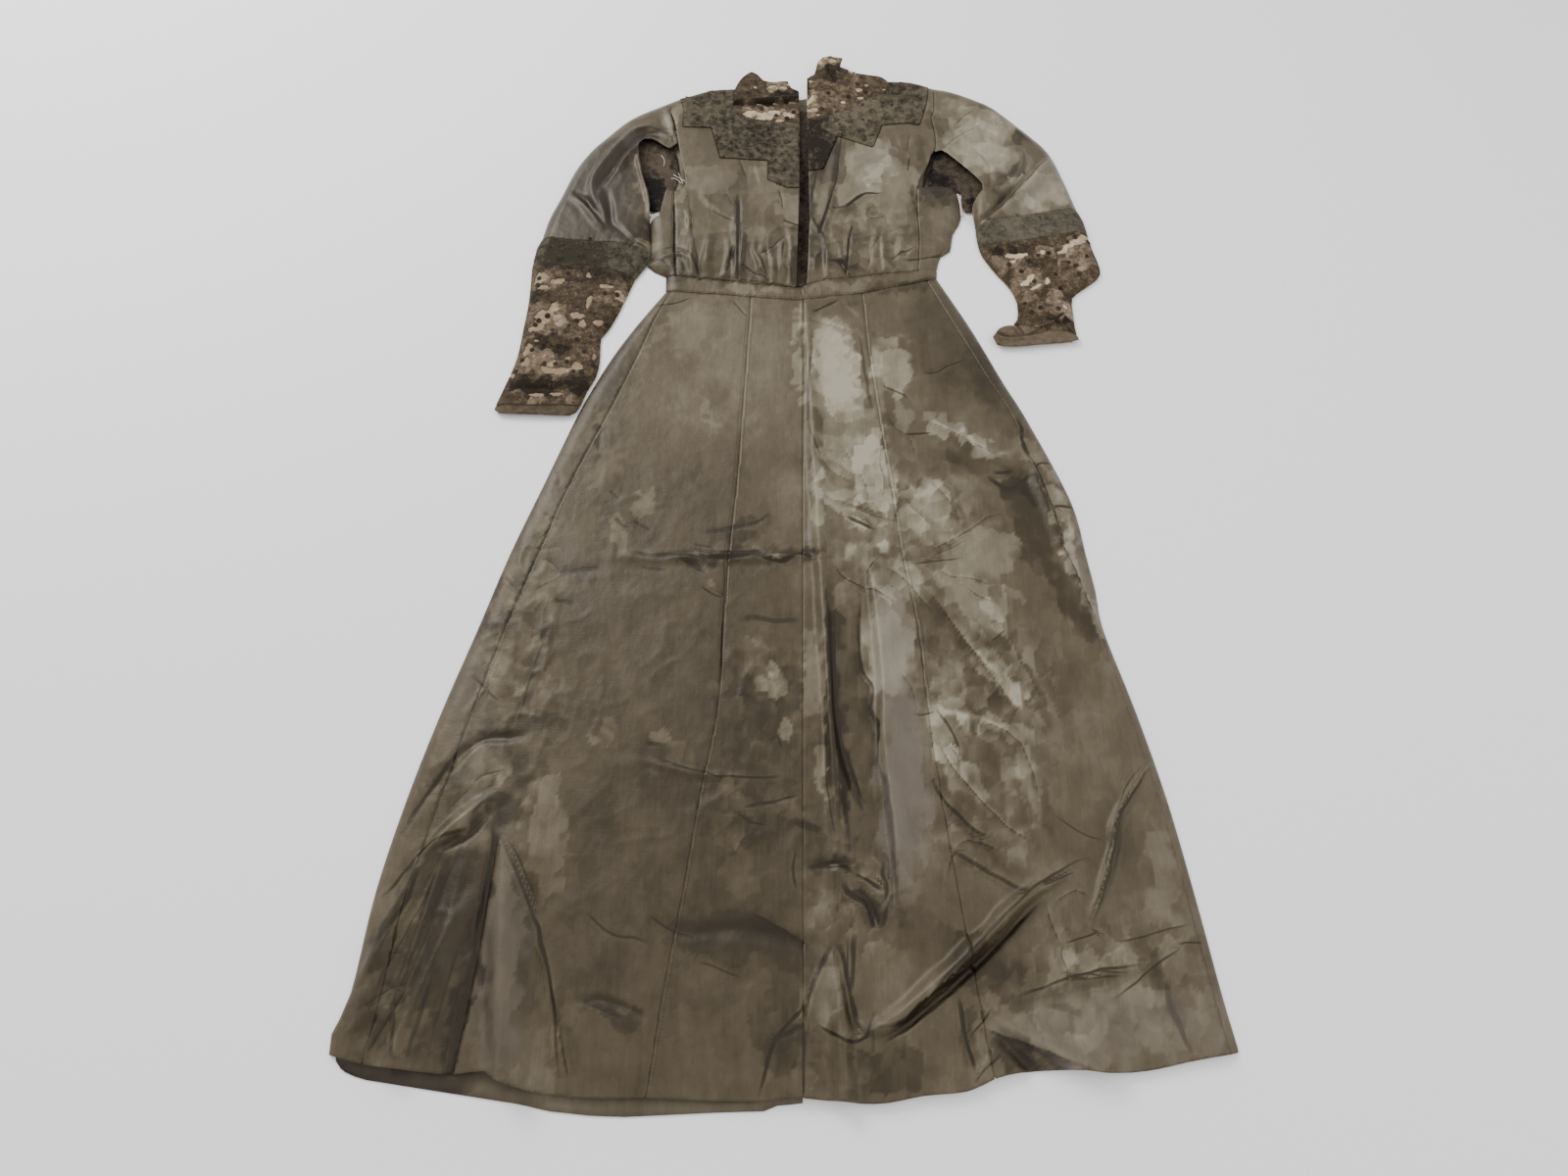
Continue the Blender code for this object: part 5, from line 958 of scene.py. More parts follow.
def blobs(x: np.ndarray, y: np.ndarray, patches: tuple[Patch, ...]) -> np.ndarray:
    """Add soft patches whose borders wander.

    Each adds strength times s^2(3 - 2s), where s falls from 1 in its middle to 0 at its border. A
    large patch or a dark one falls off over a wider border.

    Args:
        x: the points' x values.
        y: the points' y values.
        patches: the patches.

    Returns:
        The sum at each point.
    """
    facet_x, facet_y = facets(x, y, 13.0, 41)
    moved_x = x + 16 * (noise(x, y, 34.0, 31) - 0.5) + 10 * (noise(x, y, 12.0, 32) - 0.5)
    moved_y = y + 16 * (noise(x, y, 34.0, 33) - 0.5) + 10 * (noise(x, y, 12.0, 34) - 0.5)
    moved_x += 0.8 * (facet_x - x)
    moved_y += 0.8 * (facet_y - y)
    result = np.zeros(x.shape)
    for patch in patches:
        turn = math.radians(patch.turn)
        across = (moved_x - patch.x) * math.cos(turn) + (moved_y - patch.y) * math.sin(turn)
        along = -(moved_x - patch.x) * math.sin(turn) + (moved_y - patch.y) * math.cos(turn)
        reach = np.sqrt((across / (0.5 * patch.wide)) ** 2 + (along / (0.5 * patch.long)) ** 2)
        soft = 0.32 if patch.strength > 0 and patch.wide * patch.long < 9000 else 0.75
        s = np.clip((1.0 + 0.5 * soft - reach) / soft, 0, 1)
        result += patch.strength * s * s * (3 - 2 * s)
    return result


def draw_creases(x: np.ndarray, y: np.ndarray, creases: tuple[Crease, ...]) -> tuple[np.ndarray, ...]:
    """Measure points against crisp lines, for the painted shade along and beside them.

    A line's strength falls off over its last fifth at each end, and to nought 8 mm away from it. Its
    sides get painted light or shade: left or right times (1 - distance / reach)^2.

    Args:
        x: the points' x values.
        y: the points' y values.
        creases: the lines.

    Returns:
        The signed distance to the nearest line in half widths, its painted shade, and painted side shading.
    """
    offset = np.full(x.shape, NO_LINE)
    strength = np.zeros(x.shape)
    painted_side_shading = np.zeros(x.shape)
    nearest_yet = np.full(x.shape, LINE_REACH)
    for crease in creases:
        reach = within_reach(x, y, np.asarray(crease.line, float), max(LINE_REACH, crease.reach))
        if not reach.any():
            continue
        px = x[reach] + 2.4 * (noise(x[reach], y[reach], 15.0, 51) - 0.5)
        py = y[reach] + 2.4 * (noise(x[reach], y[reach], 15.0, 52) - 0.5)
        distance, side, taper = crease.measure(px, py)
        beside = np.where(side > 0, crease.left, crease.right)
        fall = np.clip(1 - distance / crease.reach, 0, 1) ** 2
        painted_side_shading[reach] += beside * fall * np.clip(0.25 + taper, 0, 1)
        width = crease.width * (0.75 + 0.5 * noise(px, py, 22.0, 53))
        closer = distance < nearest_yet[reach]
        nearest_yet[reach] = np.where(closer, distance, nearest_yet[reach])
        signed = np.clip(np.sign(side) * distance / width, -NO_LINE, NO_LINE)
        offset[reach] = np.where(closer, signed, offset[reach])
        painted_crease_shade = crease.dark * taper * np.clip((LINE_REACH - distance) / 3.5, 0, 1)
        strength[reach] = np.where(closer, painted_crease_shade, strength[reach])
    return offset, strength, painted_side_shading


class Relief:
    """The height of the top of the cloth over the surface, everywhere on the dress."""

    def __init__(self, folds: tuple[Fold, ...]) -> None:
        """Keep the folds and creases."""
        self.folds = folds

    def loft(self, x: np.ndarray, y: np.ndarray) -> np.ndarray:
        """Blend the heights of the named places by 1 / (distance^2 + 24^2)^2."""
        table = np.asarray(LOFT, float)
        total = np.zeros(x.shape)
        weight = np.zeros(x.shape)
        for place_x, place_y, height in table:
            share = 1 / ((x - place_x) ** 2 + (y - place_y) ** 2 + 24.0 ** 2) ** 2
            total += share * height
            weight += share
        return total / weight

    def fold(self, x: np.ndarray, y: np.ndarray, fold: Fold) -> np.ndarray:
        """Return one fold: its height times q^2(3 - 2q), with q falling from 1 to 0 across it."""
        crest = np.asarray(fold.crest, float)
        result = np.zeros(x.shape)
        reach = within_reach(x, y, crest, max(fold.left, fold.right))
        if not reach.any():
            return result
        smooth = soften(fold.crest, 9.0)
        distance, side, place = nearest(x[reach], y[reach], smooth[:, :2])
        height = np.interp(place, np.arange(len(smooth)), smooth[:, 2])
        wave = 0.8 + 0.4 * noise(x[reach], y[reach], 26.0, 5)
        width = np.where(side > 0, fold.left, fold.right) * wave
        q = np.clip(1 - distance / width, 0, 1)
        result[reach] = height * q * q * (3 - 2 * q)
        return result

    def rise(self, x: np.ndarray, y: np.ndarray) -> np.ndarray:
        """Return 0 at an edge that turns under and 1 inside it: q(2 - q) of the distance from it."""
        edge = np.full(x.shape, ROLL_WIDTH)
        for name in TURNED_LINES:
            reach = within_reach(x, y, LINES[name], ROLL_WIDTH)
            if reach.any():
                edge[reach] = np.minimum(edge[reach], nearest(x[reach], y[reach], LINES[name])[0])
        q = np.clip(edge / ROLL_WIDTH, 0, 1)
        return q * (2 - q)

    def seams(self, x: np.ndarray, y: np.ndarray) -> np.ndarray:
        """Return the dip of each seam and the small puckers that run out from it."""
        result = np.zeros(x.shape)
        for name, depth, shown in SEWN_LINES:
            reach = within_reach(x, y, LINES[name], 14.0) & (y > shown)
            if not reach.any():
                continue
            distance, _, place = nearest(x[reach], y[reach], LINES[name])
            fade = np.clip((y[reach] - shown) / 40.0, 0, 1)
            along = place * 18.0 + 6 * noise(x[reach], y[reach], 30.0, 3)
            pucker = np.sin(along * 2 * math.pi / 11.0) * (0.2 + 0.6 * noise(x[reach], y[reach], 40.0, 8))
            result[reach] -= depth * fade * np.exp(-(distance / 1.5) ** 2)
            result[reach] += 0.55 * depth * fade * pucker * np.exp(-distance / 6.0)
        return result

    def crumples(self, x: np.ndarray, y: np.ndarray) -> np.ndarray:
        """Return the crisp small creases of taffeta at three sizes, stronger in some places."""
        place = np.clip(0.38 + blobs(x, y, CRUMPLED_PATCHES), 0.12, 1.3)
        place *= 0.55 + 0.9 * noise(x, y, 80.0, 2)
        large = 2.0 * (crumple(x, y, 95.0, 1) ** 2 - 0.33)
        middle = 1.5 * (crumple(x, y, 40.0, 4) ** 4 - 0.2)
        small = 0.62 * (crumple(x, y, 16.0, 7) ** 3 - 0.25)
        return place * (large + middle + small)

    def height(self, x: np.ndarray, y: np.ndarray) -> np.ndarray:
        """Add loft, the highest ridge, every trough, seams and crumples, rolled down at turned edges."""
        ridges = np.zeros(x.shape)
        troughs = np.zeros(x.shape)
        for fold in self.folds:
            if fold.sinks():
                troughs += self.fold(x, y, fold)
            else:
                rise = self.fold(x, y, fold)
                ridges = np.maximum(ridges, rise) + 0.35 * np.minimum(ridges, rise)
        inner = self.loft(x, y) + ridges + troughs + self.seams(x, y) + self.crumples(x, y)
        inner += self.grooves(x, y)
        inner = np.maximum(inner, 2.0 + 0.25 * np.maximum(inner - 2.0, -4.0))
        return EDGE_HEIGHT + self.rise(x, y) * inner

    def grooves(self, x: np.ndarray, y: np.ndarray) -> np.ndarray:
        """Return the dip along each crisp line: depth times exp(-(distance / (1.2 width + 1.2))^2)."""
        result = np.zeros(x.shape)
        for crease in CREASES:
            reach = within_reach(x, y, np.asarray(crease.line, float), 3 * crease.width + 4)
            if not reach.any() or crease.dark == 0:
                continue
            distance, _, taper = crease.measure(x[reach], y[reach])
            depth = 0.9 * min(crease.dark, 1.0) * taper
            dip = depth * np.exp(-(distance / (1.2 * crease.width + 1.2)) ** 2)
            result[reach] = np.minimum(result[reach], -dip)
        return result

    def troughs(self, x: np.ndarray, y: np.ndarray) -> np.ndarray:
        """Return how deep each point lies in the troughs, from 0 to 1."""
        depth = np.zeros(x.shape)
        for fold in self.folds:
            if fold.sinks():
                depth = np.maximum(depth, -self.fold(x, y, fold) / 5.0)
        return np.clip(depth, 0, 1)


CREASES = SKIRT_LINES + BODICE_LINES + SLEEVE_LINES
RELIEF = Relief(MAIN_FOLDS + (LAP_FOLD,) + SKIRT_CREASES + BODICE_CREASES + SLEEVE_CREASES + LACE_CREASES)


def inside(x: np.ndarray, y: np.ndarray, polygon: np.ndarray) -> np.ndarray:
    """Tell which points lie inside a polygon, by the number of its edges to their right."""
    count = np.zeros(x.shape, int)
    for (ax, ay), (bx, by) in zip(polygon, np.roll(polygon, -1, axis=0)):
        if ay != by:
            count += ((ay > y) != (by > y)) & (x < (bx - ax) * (y - ay) / (by - ay) + ax)
    return count % 2 == 1


def area_of(polygon: np.ndarray) -> float:
    """Return the area of a polygon, above nought where it runs counter-clockwise."""
    after = np.roll(polygon, -1, axis=0)
    return 0.5 * float(np.sum(polygon[:, 0] * after[:, 1] - after[:, 0] * polygon[:, 1]))


def shrink(polygon: np.ndarray, distance: float) -> np.ndarray:
    """Move every edge of a counter-clockwise polygon inwards by a distance."""
    before = polygon - np.roll(polygon, 1, axis=0)
    after = np.roll(polygon, -1, axis=0) - polygon
    before /= np.linalg.norm(before, axis=1, keepdims=True)
    after /= np.linalg.norm(after, axis=1, keepdims=True)
    normal_before = np.column_stack([-before[:, 1], before[:, 0]])
    normal_after = np.column_stack([-after[:, 1], after[:, 0]])
    middle = normal_before + normal_after
    scale = np.maximum((middle * normal_before).sum(axis=1), 0.35)
    return polygon + middle * (distance / scale)[:, None]


def join_lines(names: tuple[str, ...]) -> np.ndarray:
    """Join named lines end to end into one counter-clockwise outline.

    Args:
        names: the lines in order round the piece; each may be stored in either direction.

    Returns:
        The outline's points.
    """
    chain = LINES[names[0]]
    for name in names[1:]:
        line = LINES[name]
        ends = [(np.linalg.norm(a - b), turn_chain, turn_line)
                for a, turn_chain in ((chain[-1], False), (chain[0], True))
                for b, turn_line in ((line[0], False), (line[-1], True))]
        gap, turn_chain, turn_line = min(ends)
        if gap > 0.05:
            raise ValueError(f"{name} does not follow on by {gap:.2f} mm")
        chain = chain[::-1] if turn_chain else chain
        line = line[::-1] if turn_line else line
        chain = np.vstack([chain, line[1:]])
    chain = chain[:-1]
    return chain if area_of(chain) > 0 else chain[::-1]


def gap_loop(gap: tuple[float, ...], turn: int) -> np.ndarray:
    """Return a ragged opening: its radius is 1 and waves of 2, 3, 7, 11 and 19 to the turn."""
    middle_x, middle_y, wide, long, angle = gap
    a = np.arange(72) * 2 * np.pi / 72
    uneven = 1 + 0.13 * np.sin(2 * a + turn) + 0.11 * np.cos(3 * a + 2.1 * turn)
    uneven += 0.10 * np.sin(7 * a + 1.7 * turn) + 0.07 * np.sin(11 * a + turn) + 0.05 * np.sin(19 * a + turn)
    across = 0.5 * wide * uneven * np.cos(a)
    along = 0.5 * long * uneven * np.sin(a)
    turned = np.radians(angle)
    return np.column_stack([middle_x + across * np.cos(turned) - along * np.sin(turned),
                            middle_y + across * np.sin(turned) + along * np.cos(turned)])


def tidy_cells(keep: np.ndarray) -> np.ndarray:
    """Drop grid cells that hang on by one side or by a corner alone."""
    keep = keep.copy()
    for _ in range(4):
        around = np.pad(keep, 1).astype(int)
        sides = around[:-2, 1:-1] + around[2:, 1:-1] + around[1:-1, :-2] + around[1:-1, 2:]
        keep &= sides >= 2
        falling = keep[:-1, :-1] & keep[1:, 1:] & ~keep[:-1, 1:] & ~keep[1:, :-1]
        keep[1:, 1:][falling] = False
        rising = keep[:-1, 1:] & keep[1:, :-1] & ~keep[:-1, :-1] & ~keep[1:, 1:]
        keep[1:, :-1][rising] = False
    return keep


def cut_grid(outline: np.ndarray, step: float, gaps: list[np.ndarray]) -> Sheet:
    """Cover an outline with a square grid and slide its border points onto the cut.

    Args:
        outline: the piece's outline.
        step: the side of a grid square.
        gaps: the outlines of the openings in it.

    Returns:
        The points in the plan, and four point numbers for each face.
    """
    low = outline.min(axis=0) - step
    count_x, count_y = np.ceil((outline.max(axis=0) + step - low) / step).astype(int) + 1
    x = low[0] + step * np.arange(count_x)
    y = low[1] + step * np.arange(count_y)
    centre_x, centre_y = np.meshgrid(x[:-1] + step / 2, y[:-1] + step / 2, indexing="ij")
    keep = inside(centre_x, centre_y, outline)
    for loop in gaps:
        keep &= ~inside(centre_x, centre_y, loop)
    keep = tidy_cells(keep)
    i, j = np.nonzero(keep)
    corner = np.stack([i * count_y + j, (i + 1) * count_y + j, (i + 1) * count_y + j + 1,
                       i * count_y + j + 1], axis=1)
    used, faces = np.unique(corner, return_inverse=True)
    faces = faces.reshape(corner.shape)
    grid_x, grid_y = np.meshgrid(x, y, indexing="ij")
    points = np.column_stack([grid_x.ravel()[used], grid_y.ravel()[used]])
    uses = np.bincount(faces.ravel(), minlength=len(used))
    border = uses < 4
    best = np.full(int(border.sum()), 1e9)
    moved = points[border].copy()
    for loop in [outline] + gaps:
        for first, second in zip(loop, np.roll(loop, -1, axis=0)):
            along = second - first
            t = np.clip(((points[border] - first) @ along) / (along @ along), 0, 1)
            place = first + t[:, None] * along
            distance = np.linalg.norm(points[border] - place, axis=1)
            nearer = distance < best
            best[nearer] = distance[nearer]
            moved[nearer] = place[nearer]
    points[border] = moved
    return points, faces


class Slot(Enum):
    """The record's material slots."""

    SILK = "silk"
    CREPE = "crepe"
    BRAID = "braid"
    LINING = "lining"
    LACE = "lace"
    DARK = "dark_lining"


class Shader:
    """A material under construction, with short calls for the nodes it needs."""

    def __init__(self, name: str, roughness: float, specular: float) -> None:
        """Start a material with a plain Principled shader."""
        self.material = bpy.data.materials.new(name)
        self.material.use_nodes = True
        self.nodes = self.material.node_tree.nodes
        self.links = self.material.node_tree.links
        self.surface = self.nodes["Principled BSDF"]
        self.surface.inputs["Roughness"].default_value = roughness
        self.surface.inputs["Specular IOR Level"].default_value = specular
        self.place = self.nodes.new("ShaderNodeTexCoord").outputs["Object"]

    def value(self, kind: str, first: Socket | float, second: Socket | float = 0.0,
              third: Socket | float = 0.0) -> Socket:
        """Return the output of a Math node of a kind."""
        node = self.nodes.new("ShaderNodeMath")
        node.operation = kind
        for socket, given in zip(node.inputs, (first, second, third)):
            if isinstance(given, (int, float)):
                socket.default_value = given
            else:
                self.links.new(given, socket)
        return node.outputs[0]

    def add(self, tone: Socket, source: Socket, share: float, middle: float = 0.5) -> Socket:
        """Return a tone plus a share of how far a source is from its middle."""
        return self.value("MULTIPLY_ADD", self.value("SUBTRACT", source, middle), share, tone)

    def attribute(self, name: str) -> Socket:
        """Return a value kept on the mesh's points."""
        node = self.nodes.new("ShaderNodeAttribute")
        node.attribute_name = name
        return node.outputs["Fac"]

    def cloud(self, scale: float, detail: float, stretch: Triple = (1, 1, 1),
              turn: float = 0.0, rough: float = 0.5) -> Socket:
        """Return noise of a scale, stretched along the axes and turned in the plan."""
        mapping = self.nodes.new("ShaderNodeMapping")
        mapping.inputs["Scale"].default_value = stretch
        mapping.inputs["Rotation"].default_value = (0, 0, turn)
        self.links.new(self.place, mapping.inputs["Vector"])
        node = self.nodes.new("ShaderNodeTexNoise")
        node.inputs["Scale"].default_value = scale
        node.inputs["Detail"].default_value = detail
        node.inputs["Roughness"].default_value = rough
        self.links.new(mapping.outputs[0], node.inputs["Vector"])
        return node.outputs["Fac"]

    def cells(self, scale: float, feature: str = "DISTANCE_TO_EDGE") -> Socket:
        """Return a distance in random cells, to their border unless another feature is named."""
        node = self.nodes.new("ShaderNodeTexVoronoi")
        node.feature = feature
        node.inputs["Scale"].default_value = scale
        self.links.new(self.place, node.inputs["Vector"])
        return node.outputs["Distance"]

    def ribs(self, scale: float, turn: float = 0.0) -> Socket:
        """Return fine even ribs in the plan."""
        mapping = self.nodes.new("ShaderNodeMapping")
        mapping.inputs["Rotation"].default_value = (0, 0, turn)
        self.links.new(self.place, mapping.inputs["Vector"])
        node = self.nodes.new("ShaderNodeTexWave")
        node.inputs["Scale"].default_value = scale
        node.inputs["Distortion"].default_value = 0.4
        self.links.new(mapping.outputs[0], node.inputs["Vector"])
        return node.outputs["Fac"]

    def ramp(self, value: Socket, stops: tuple[tuple[float, Triple], ...]) -> Socket:
        """Return a colour read off a ramp."""
        node = self.nodes.new("ShaderNodeValToRGB")
        elements = node.color_ramp.elements
        while len(elements) < len(stops):
            elements.new(0.5)
        for element, (position, colour) in zip(elements, stops):
            element.position = position
            element.color = (*colour, 1)
        self.links.new(value, node.inputs[0])
        return node.outputs[0]

    def mix(self, share: Socket, first: Socket | Triple, second: Socket | Triple) -> Socket:
        """Return a blend of two colours, each a socket or three numbers."""
        node = self.nodes.new("ShaderNodeMix")
        node.data_type = "RGBA"
        self.links.new(share, node.inputs[0])
        for socket, given in ((node.inputs[6], first), (node.inputs[7], second)):
            if isinstance(given, tuple):
                socket.default_value = (*given, 1)
            else:
                self.links.new(given, socket)
        return node.outputs[2]

    def bump(self, height: Socket, distance: float, strength: float, below: Socket | None = None) -> Socket:
        """Return normals bent by a height, over those of another bump."""
        node = self.nodes.new("ShaderNodeBump")
        node.inputs["Distance"].default_value = distance
        node.inputs["Strength"].default_value = strength
        self.links.new(height, node.inputs["Height"])
        if below is not None:
            self.links.new(below, node.inputs["Normal"])
        return node.outputs[0]

    def creased(self, tone: Socket) -> Socket:
        """Paint shade on a tone along the crisp lines, by their strength where the offset is below one."""
        away = self.value("ABSOLUTE", self.attribute("offset"))
        across = self.nodes.new("ShaderNodeMapRange")
        across.interpolation_type = "SMOOTHSTEP"
        across.inputs["From Min"].default_value = 0.25
        across.inputs["From Max"].default_value = 1.35
        across.inputs["To Min"].default_value = 1.0
        across.inputs["To Max"].default_value = 0.0
        self.links.new(away, across.inputs["Value"])
        dark = self.value("MULTIPLY", across.outputs[0], self.attribute("painted_crease_shade"))
        return self.value("MULTIPLY_ADD", dark, -1.25, tone)

    def finish(self, colour: Socket, normal: Socket, roughness: Socket | None = None) -> bpy.types.Material:
        """Join colour, normals and roughness to the shader."""
        self.links.new(colour, self.surface.inputs["Base Color"])
        self.links.new(normal, self.surface.inputs["Normal"])
        if roughness is not None:
            self.links.new(roughness, self.surface.inputs["Roughness"])
        return self.material


@dataclass(frozen=True)
class SilkFinish:
    """Crisp taffeta: a ribbed weave, soft stains, and painted sheen and painted shade."""

    name: str = "silk taffeta"
    deep: Triple = (0.008, 0.005, 0.002)
    dark: Triple = (0.026, 0.018, 0.009)
    middle: Triple = (0.071, 0.055, 0.032)
    light: Triple = (0.148, 0.127, 0.089)
    bright: Triple = (0.300, 0.272, 0.205)
    violet: Triple = (0.140, 0.118, 0.105)

    def material(self) -> bpy.types.Material:
        """Return the material; its tone, with the painted sheen and shade, is read from the mesh."""
        shader = Shader(self.name, 0.44, 0.42)
        shader.surface.inputs["Specular Tint"].default_value = (1.0, 0.90, 0.74, 1)
        broad = shader.cloud(7.0, 5.0)
        middle = shader.cloud(24.0, 6.0, (1.0, 0.7, 1.0), 0.3, 0.62)
        fine = shader.cloud(75.0, 5.0, (1.0, 0.45, 1.0), 0.0, 0.6)
        threads = shader.cloud(420.0, 2.0, (1.0, 0.04, 1.0))
        tone = shader.attribute("tone")
        for source, share in ((broad, 0.75), (middle, 0.85), (fine, 0.45), (threads, 0.2)):
            tone = shader.add(tone, source, share)
        tone = shader.creased(tone)
        # The ramp's dark end shows the painted shade and its bright end the painted sheen.
        colour = shader.ramp(shader.value("MULTIPLY_ADD", tone, 0.42, 0.5), (
            (0.0, self.deep), (0.26, self.dark), (0.5, self.middle), (0.74, self.light), (1.0, self.bright)))
        share = shader.value("MULTIPLY", shader.attribute("violet"), 0.5)
        colour = shader.mix(share, colour, self.violet)
        weave = shader.ribs(420.0, math.pi / 2)
        slub = shader.cloud(260.0, 2.0, (0.25, 3.0, 1.0))
        planes = shader.cells(46.0, "SMOOTH_F1")
        creases = shader.cloud(70.0, 4.0, (1.0, 0.8, 1.0), 0.4)
        normal = shader.bump(planes, 0.004, 0.16)
        normal = shader.bump(creases, 0.002, 0.4, normal)
        normal = shader.bump(slub, 0.0003, 0.4, normal)
        normal = shader.bump(weave, 0.0001, 0.25, normal)
        roughness = shader.value("MULTIPLY_ADD", middle, 0.3, 0.30)
        return shader.finish(colour, normal, roughness)


@dataclass(frozen=True)
class CrepeFinish:
    """Matt cloth of one colour with a fine crinkle: crepe, and plain lining and tape too."""

    name: str
    dark: Triple
    light: Triple
    crinkle: float = 900.0

    def material(self) -> bpy.types.Material:
        """Return the material."""
        shader = Shader(self.name, 0.86, 0.2)
        spots = shader.cloud(110.0, 5.0, rough=0.72)
        broad = shader.cloud(11.0, 3.0)
        both = shader.value("MULTIPLY_ADD", broad, 0.5, shader.value("MULTIPLY", spots, 2.0))
        # The mesh's tone brings painted sheen and painted shade; the crisp lines add their painted shade.
        both = shader.creased(shader.value("MULTIPLY_ADD", shader.attribute("tone"), 0.35, both))
        colour = shader.ramp(shader.value("SUBTRACT", both, 0.75), ((0.15, self.dark), (0.85, self.light)))
        grain = shader.cloud(self.crinkle, 2.0, (1.0, 0.3, 1.0))
        weave = shader.cloud(150.0, 3.0)
        normal = shader.bump(weave, 0.001, 0.5)
        normal = shader.bump(grain, 0.0005, 0.6, normal)
        return shader.finish(colour, normal)


@dataclass(frozen=True)
class LaceFinish:
    """Machine lace: worked dark brown in some places, thin net over the lining in others."""

    name: str = "brown lace"
    dark: Triple = (0.011, 0.007, 0.003)
    thread: Triple = (0.054, 0.037, 0.021)
    haze: Triple = (0.150, 0.110, 0.071)
    ground: Triple = (0.300, 0.237, 0.160)

    def material(self) -> bpy.types.Material:
        """Return the material; how thin the lace is, and painted light and shade, are read from the mesh."""
        shader = Shader(self.name, 0.85, 0.2)
        net = shader.cells(560.0)
        leaves = shader.cloud(95.0, 5.0, rough=0.65)
        specks = shader.cloud(300.0, 3.0, rough=0.7)
        # The mesh's tone adds painted light and shade beside the crisp lines to the lace's thinness.
        thin = shader.add(shader.attribute("tone"), leaves, 2.6)
        thin = shader.add(thin, specks, 1.5)
        thin = shader.creased(shader.add(thin, shader.cells(190.0), 0.9, 0.4))
        colour = shader.ramp(shader.value("MULTIPLY_ADD", thin, 0.36, 0.49), (
            (0.15, self.dark), (0.45, self.thread), (0.72, self.haze), (0.95, self.ground)))
        normal = shader.bump(net, 0.0004, 0.6)
        normal = shader.bump(leaves, 0.0015, 0.6, normal)
        return shader.finish(colour, normal)


@dataclass(frozen=True)
class ThreadFinish:
    """Cord, thread or tape of one plain colour with a fine twist."""

    name: str
    colour: Triple
    other: Triple

    def material(self) -> bpy.types.Material:
        """Return the material."""
        shader = Shader(self.name, 0.8, 0.25)
        spots = shader.cloud(130.0, 3.0)
        colour = shader.ramp(spots, ((0.35, self.colour), (0.65, self.other)))
        return shader.finish(colour, shader.bump(shader.cloud(1500.0, 2.0), 0.0003, 0.5))


class Finishes:
    """Every finish of the dress, made once."""

    def __init__(self) -> None:
        """Make the materials."""
        self.silk = SilkFinish().material()
        self.crepe = CrepeFinish("yoke crepe", (0.010, 0.007, 0.003), (0.104, 0.085, 0.056)).material()
        self.band = CrepeFinish("band crepe", (0.022, 0.018, 0.009), (0.098, 0.085, 0.060)).material()
        self.lining = CrepeFinish("cream lining", (0.230, 0.170, 0.105), (0.520, 0.420, 0.290)).material()
        # Near-black lining for the strip behind the opening and the armholes: its colour is painted shade.
        self.dark = CrepeFinish("lining in painted shade", (0.003, 0.002, 0.001), (0.060, 0.044, 0.029)).material()
        self.lace = LaceFinish().material()
        self.wrist = CrepeFinish("wrist tape", (0.050, 0.036, 0.022), (0.120, 0.088, 0.058)).material()
        self.cord = ThreadFinish("dark cord", (0.018, 0.014, 0.008), (0.080, 0.066, 0.044)).material()
        self.pale_cord = ThreadFinish("grey cord", (0.050, 0.046, 0.032), (0.125, 0.115, 0.088)).material()
        self.dot = ThreadFinish("lace dots", (0.014, 0.009, 0.005), (0.045, 0.030, 0.018)).material()
        self.stitch = ThreadFinish("sewing thread", (0.020, 0.016, 0.011), (0.050, 0.042, 0.030)).material()
        self.scrap = ThreadFinish("cream scraps", (0.480, 0.430, 0.340), (0.700, 0.660, 0.570)).material()


def to_world(plan: np.ndarray, height: np.ndarray) -> np.ndarray:
    """Turn millimetres in the plan and a height into metres in the dress's frame."""
    shifted = (plan - (CENTRE_X, CENTRE_Y)) * MILLIMETRE
    return np.column_stack([shifted, height * MILLIMETRE])


def make_object(name: str, points: np.ndarray, faces: np.ndarray, material: bpy.types.Material) -> bpy.types.Object:
    """Make a smooth mesh object from arrays and let it ride on the dress.

    Args:
        name: the object's name.
        points: its points in metres.
        faces: the point numbers of each face.
        material: its finish.

    Returns:
        The object.
    """
    mesh = bpy.data.meshes.new(name)
    mesh.from_pydata(points.tolist(), [], faces.tolist())
    mesh.polygons.foreach_set("use_smooth", np.ones(len(mesh.polygons), bool))
    mesh.materials.append(material)
    mesh.update()
    made = bpy.data.objects.new(name, mesh)
    bpy.context.scene.collection.objects.link(made)
    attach(made, "root")
    return made


def keep_values(mesh: bpy.types.Mesh, name: str, values: np.ndarray) -> None:
    """Keep a value on each of a mesh's points."""
    layer = mesh.attributes.new(name, "FLOAT", "POINT")
    layer.data.foreach_set("value", values.astype(np.float32))


@dataclass(frozen=True)
class Piece:
    """One cut piece of the top side: its node, its outline's lines, what it lies on (not used), lace and gaps."""

    node: str
    outline: tuple[str, ...]
    rests_on: str
    lace: str = ""
    gaps: Points = ()


@dataclass(frozen=True)
class Section:
    """Pieces of one finish: its slot (not used), their grid's square side, their lift and the pieces."""

    finish: str
    slot: Slot
    step: float
    lift: float
    pieces: tuple[Piece, ...]

    def build(self, cutter: "Cutter") -> None:
        """Cut and lay the pieces."""
        for piece in self.pieces:
            cutter.lay(piece, self)


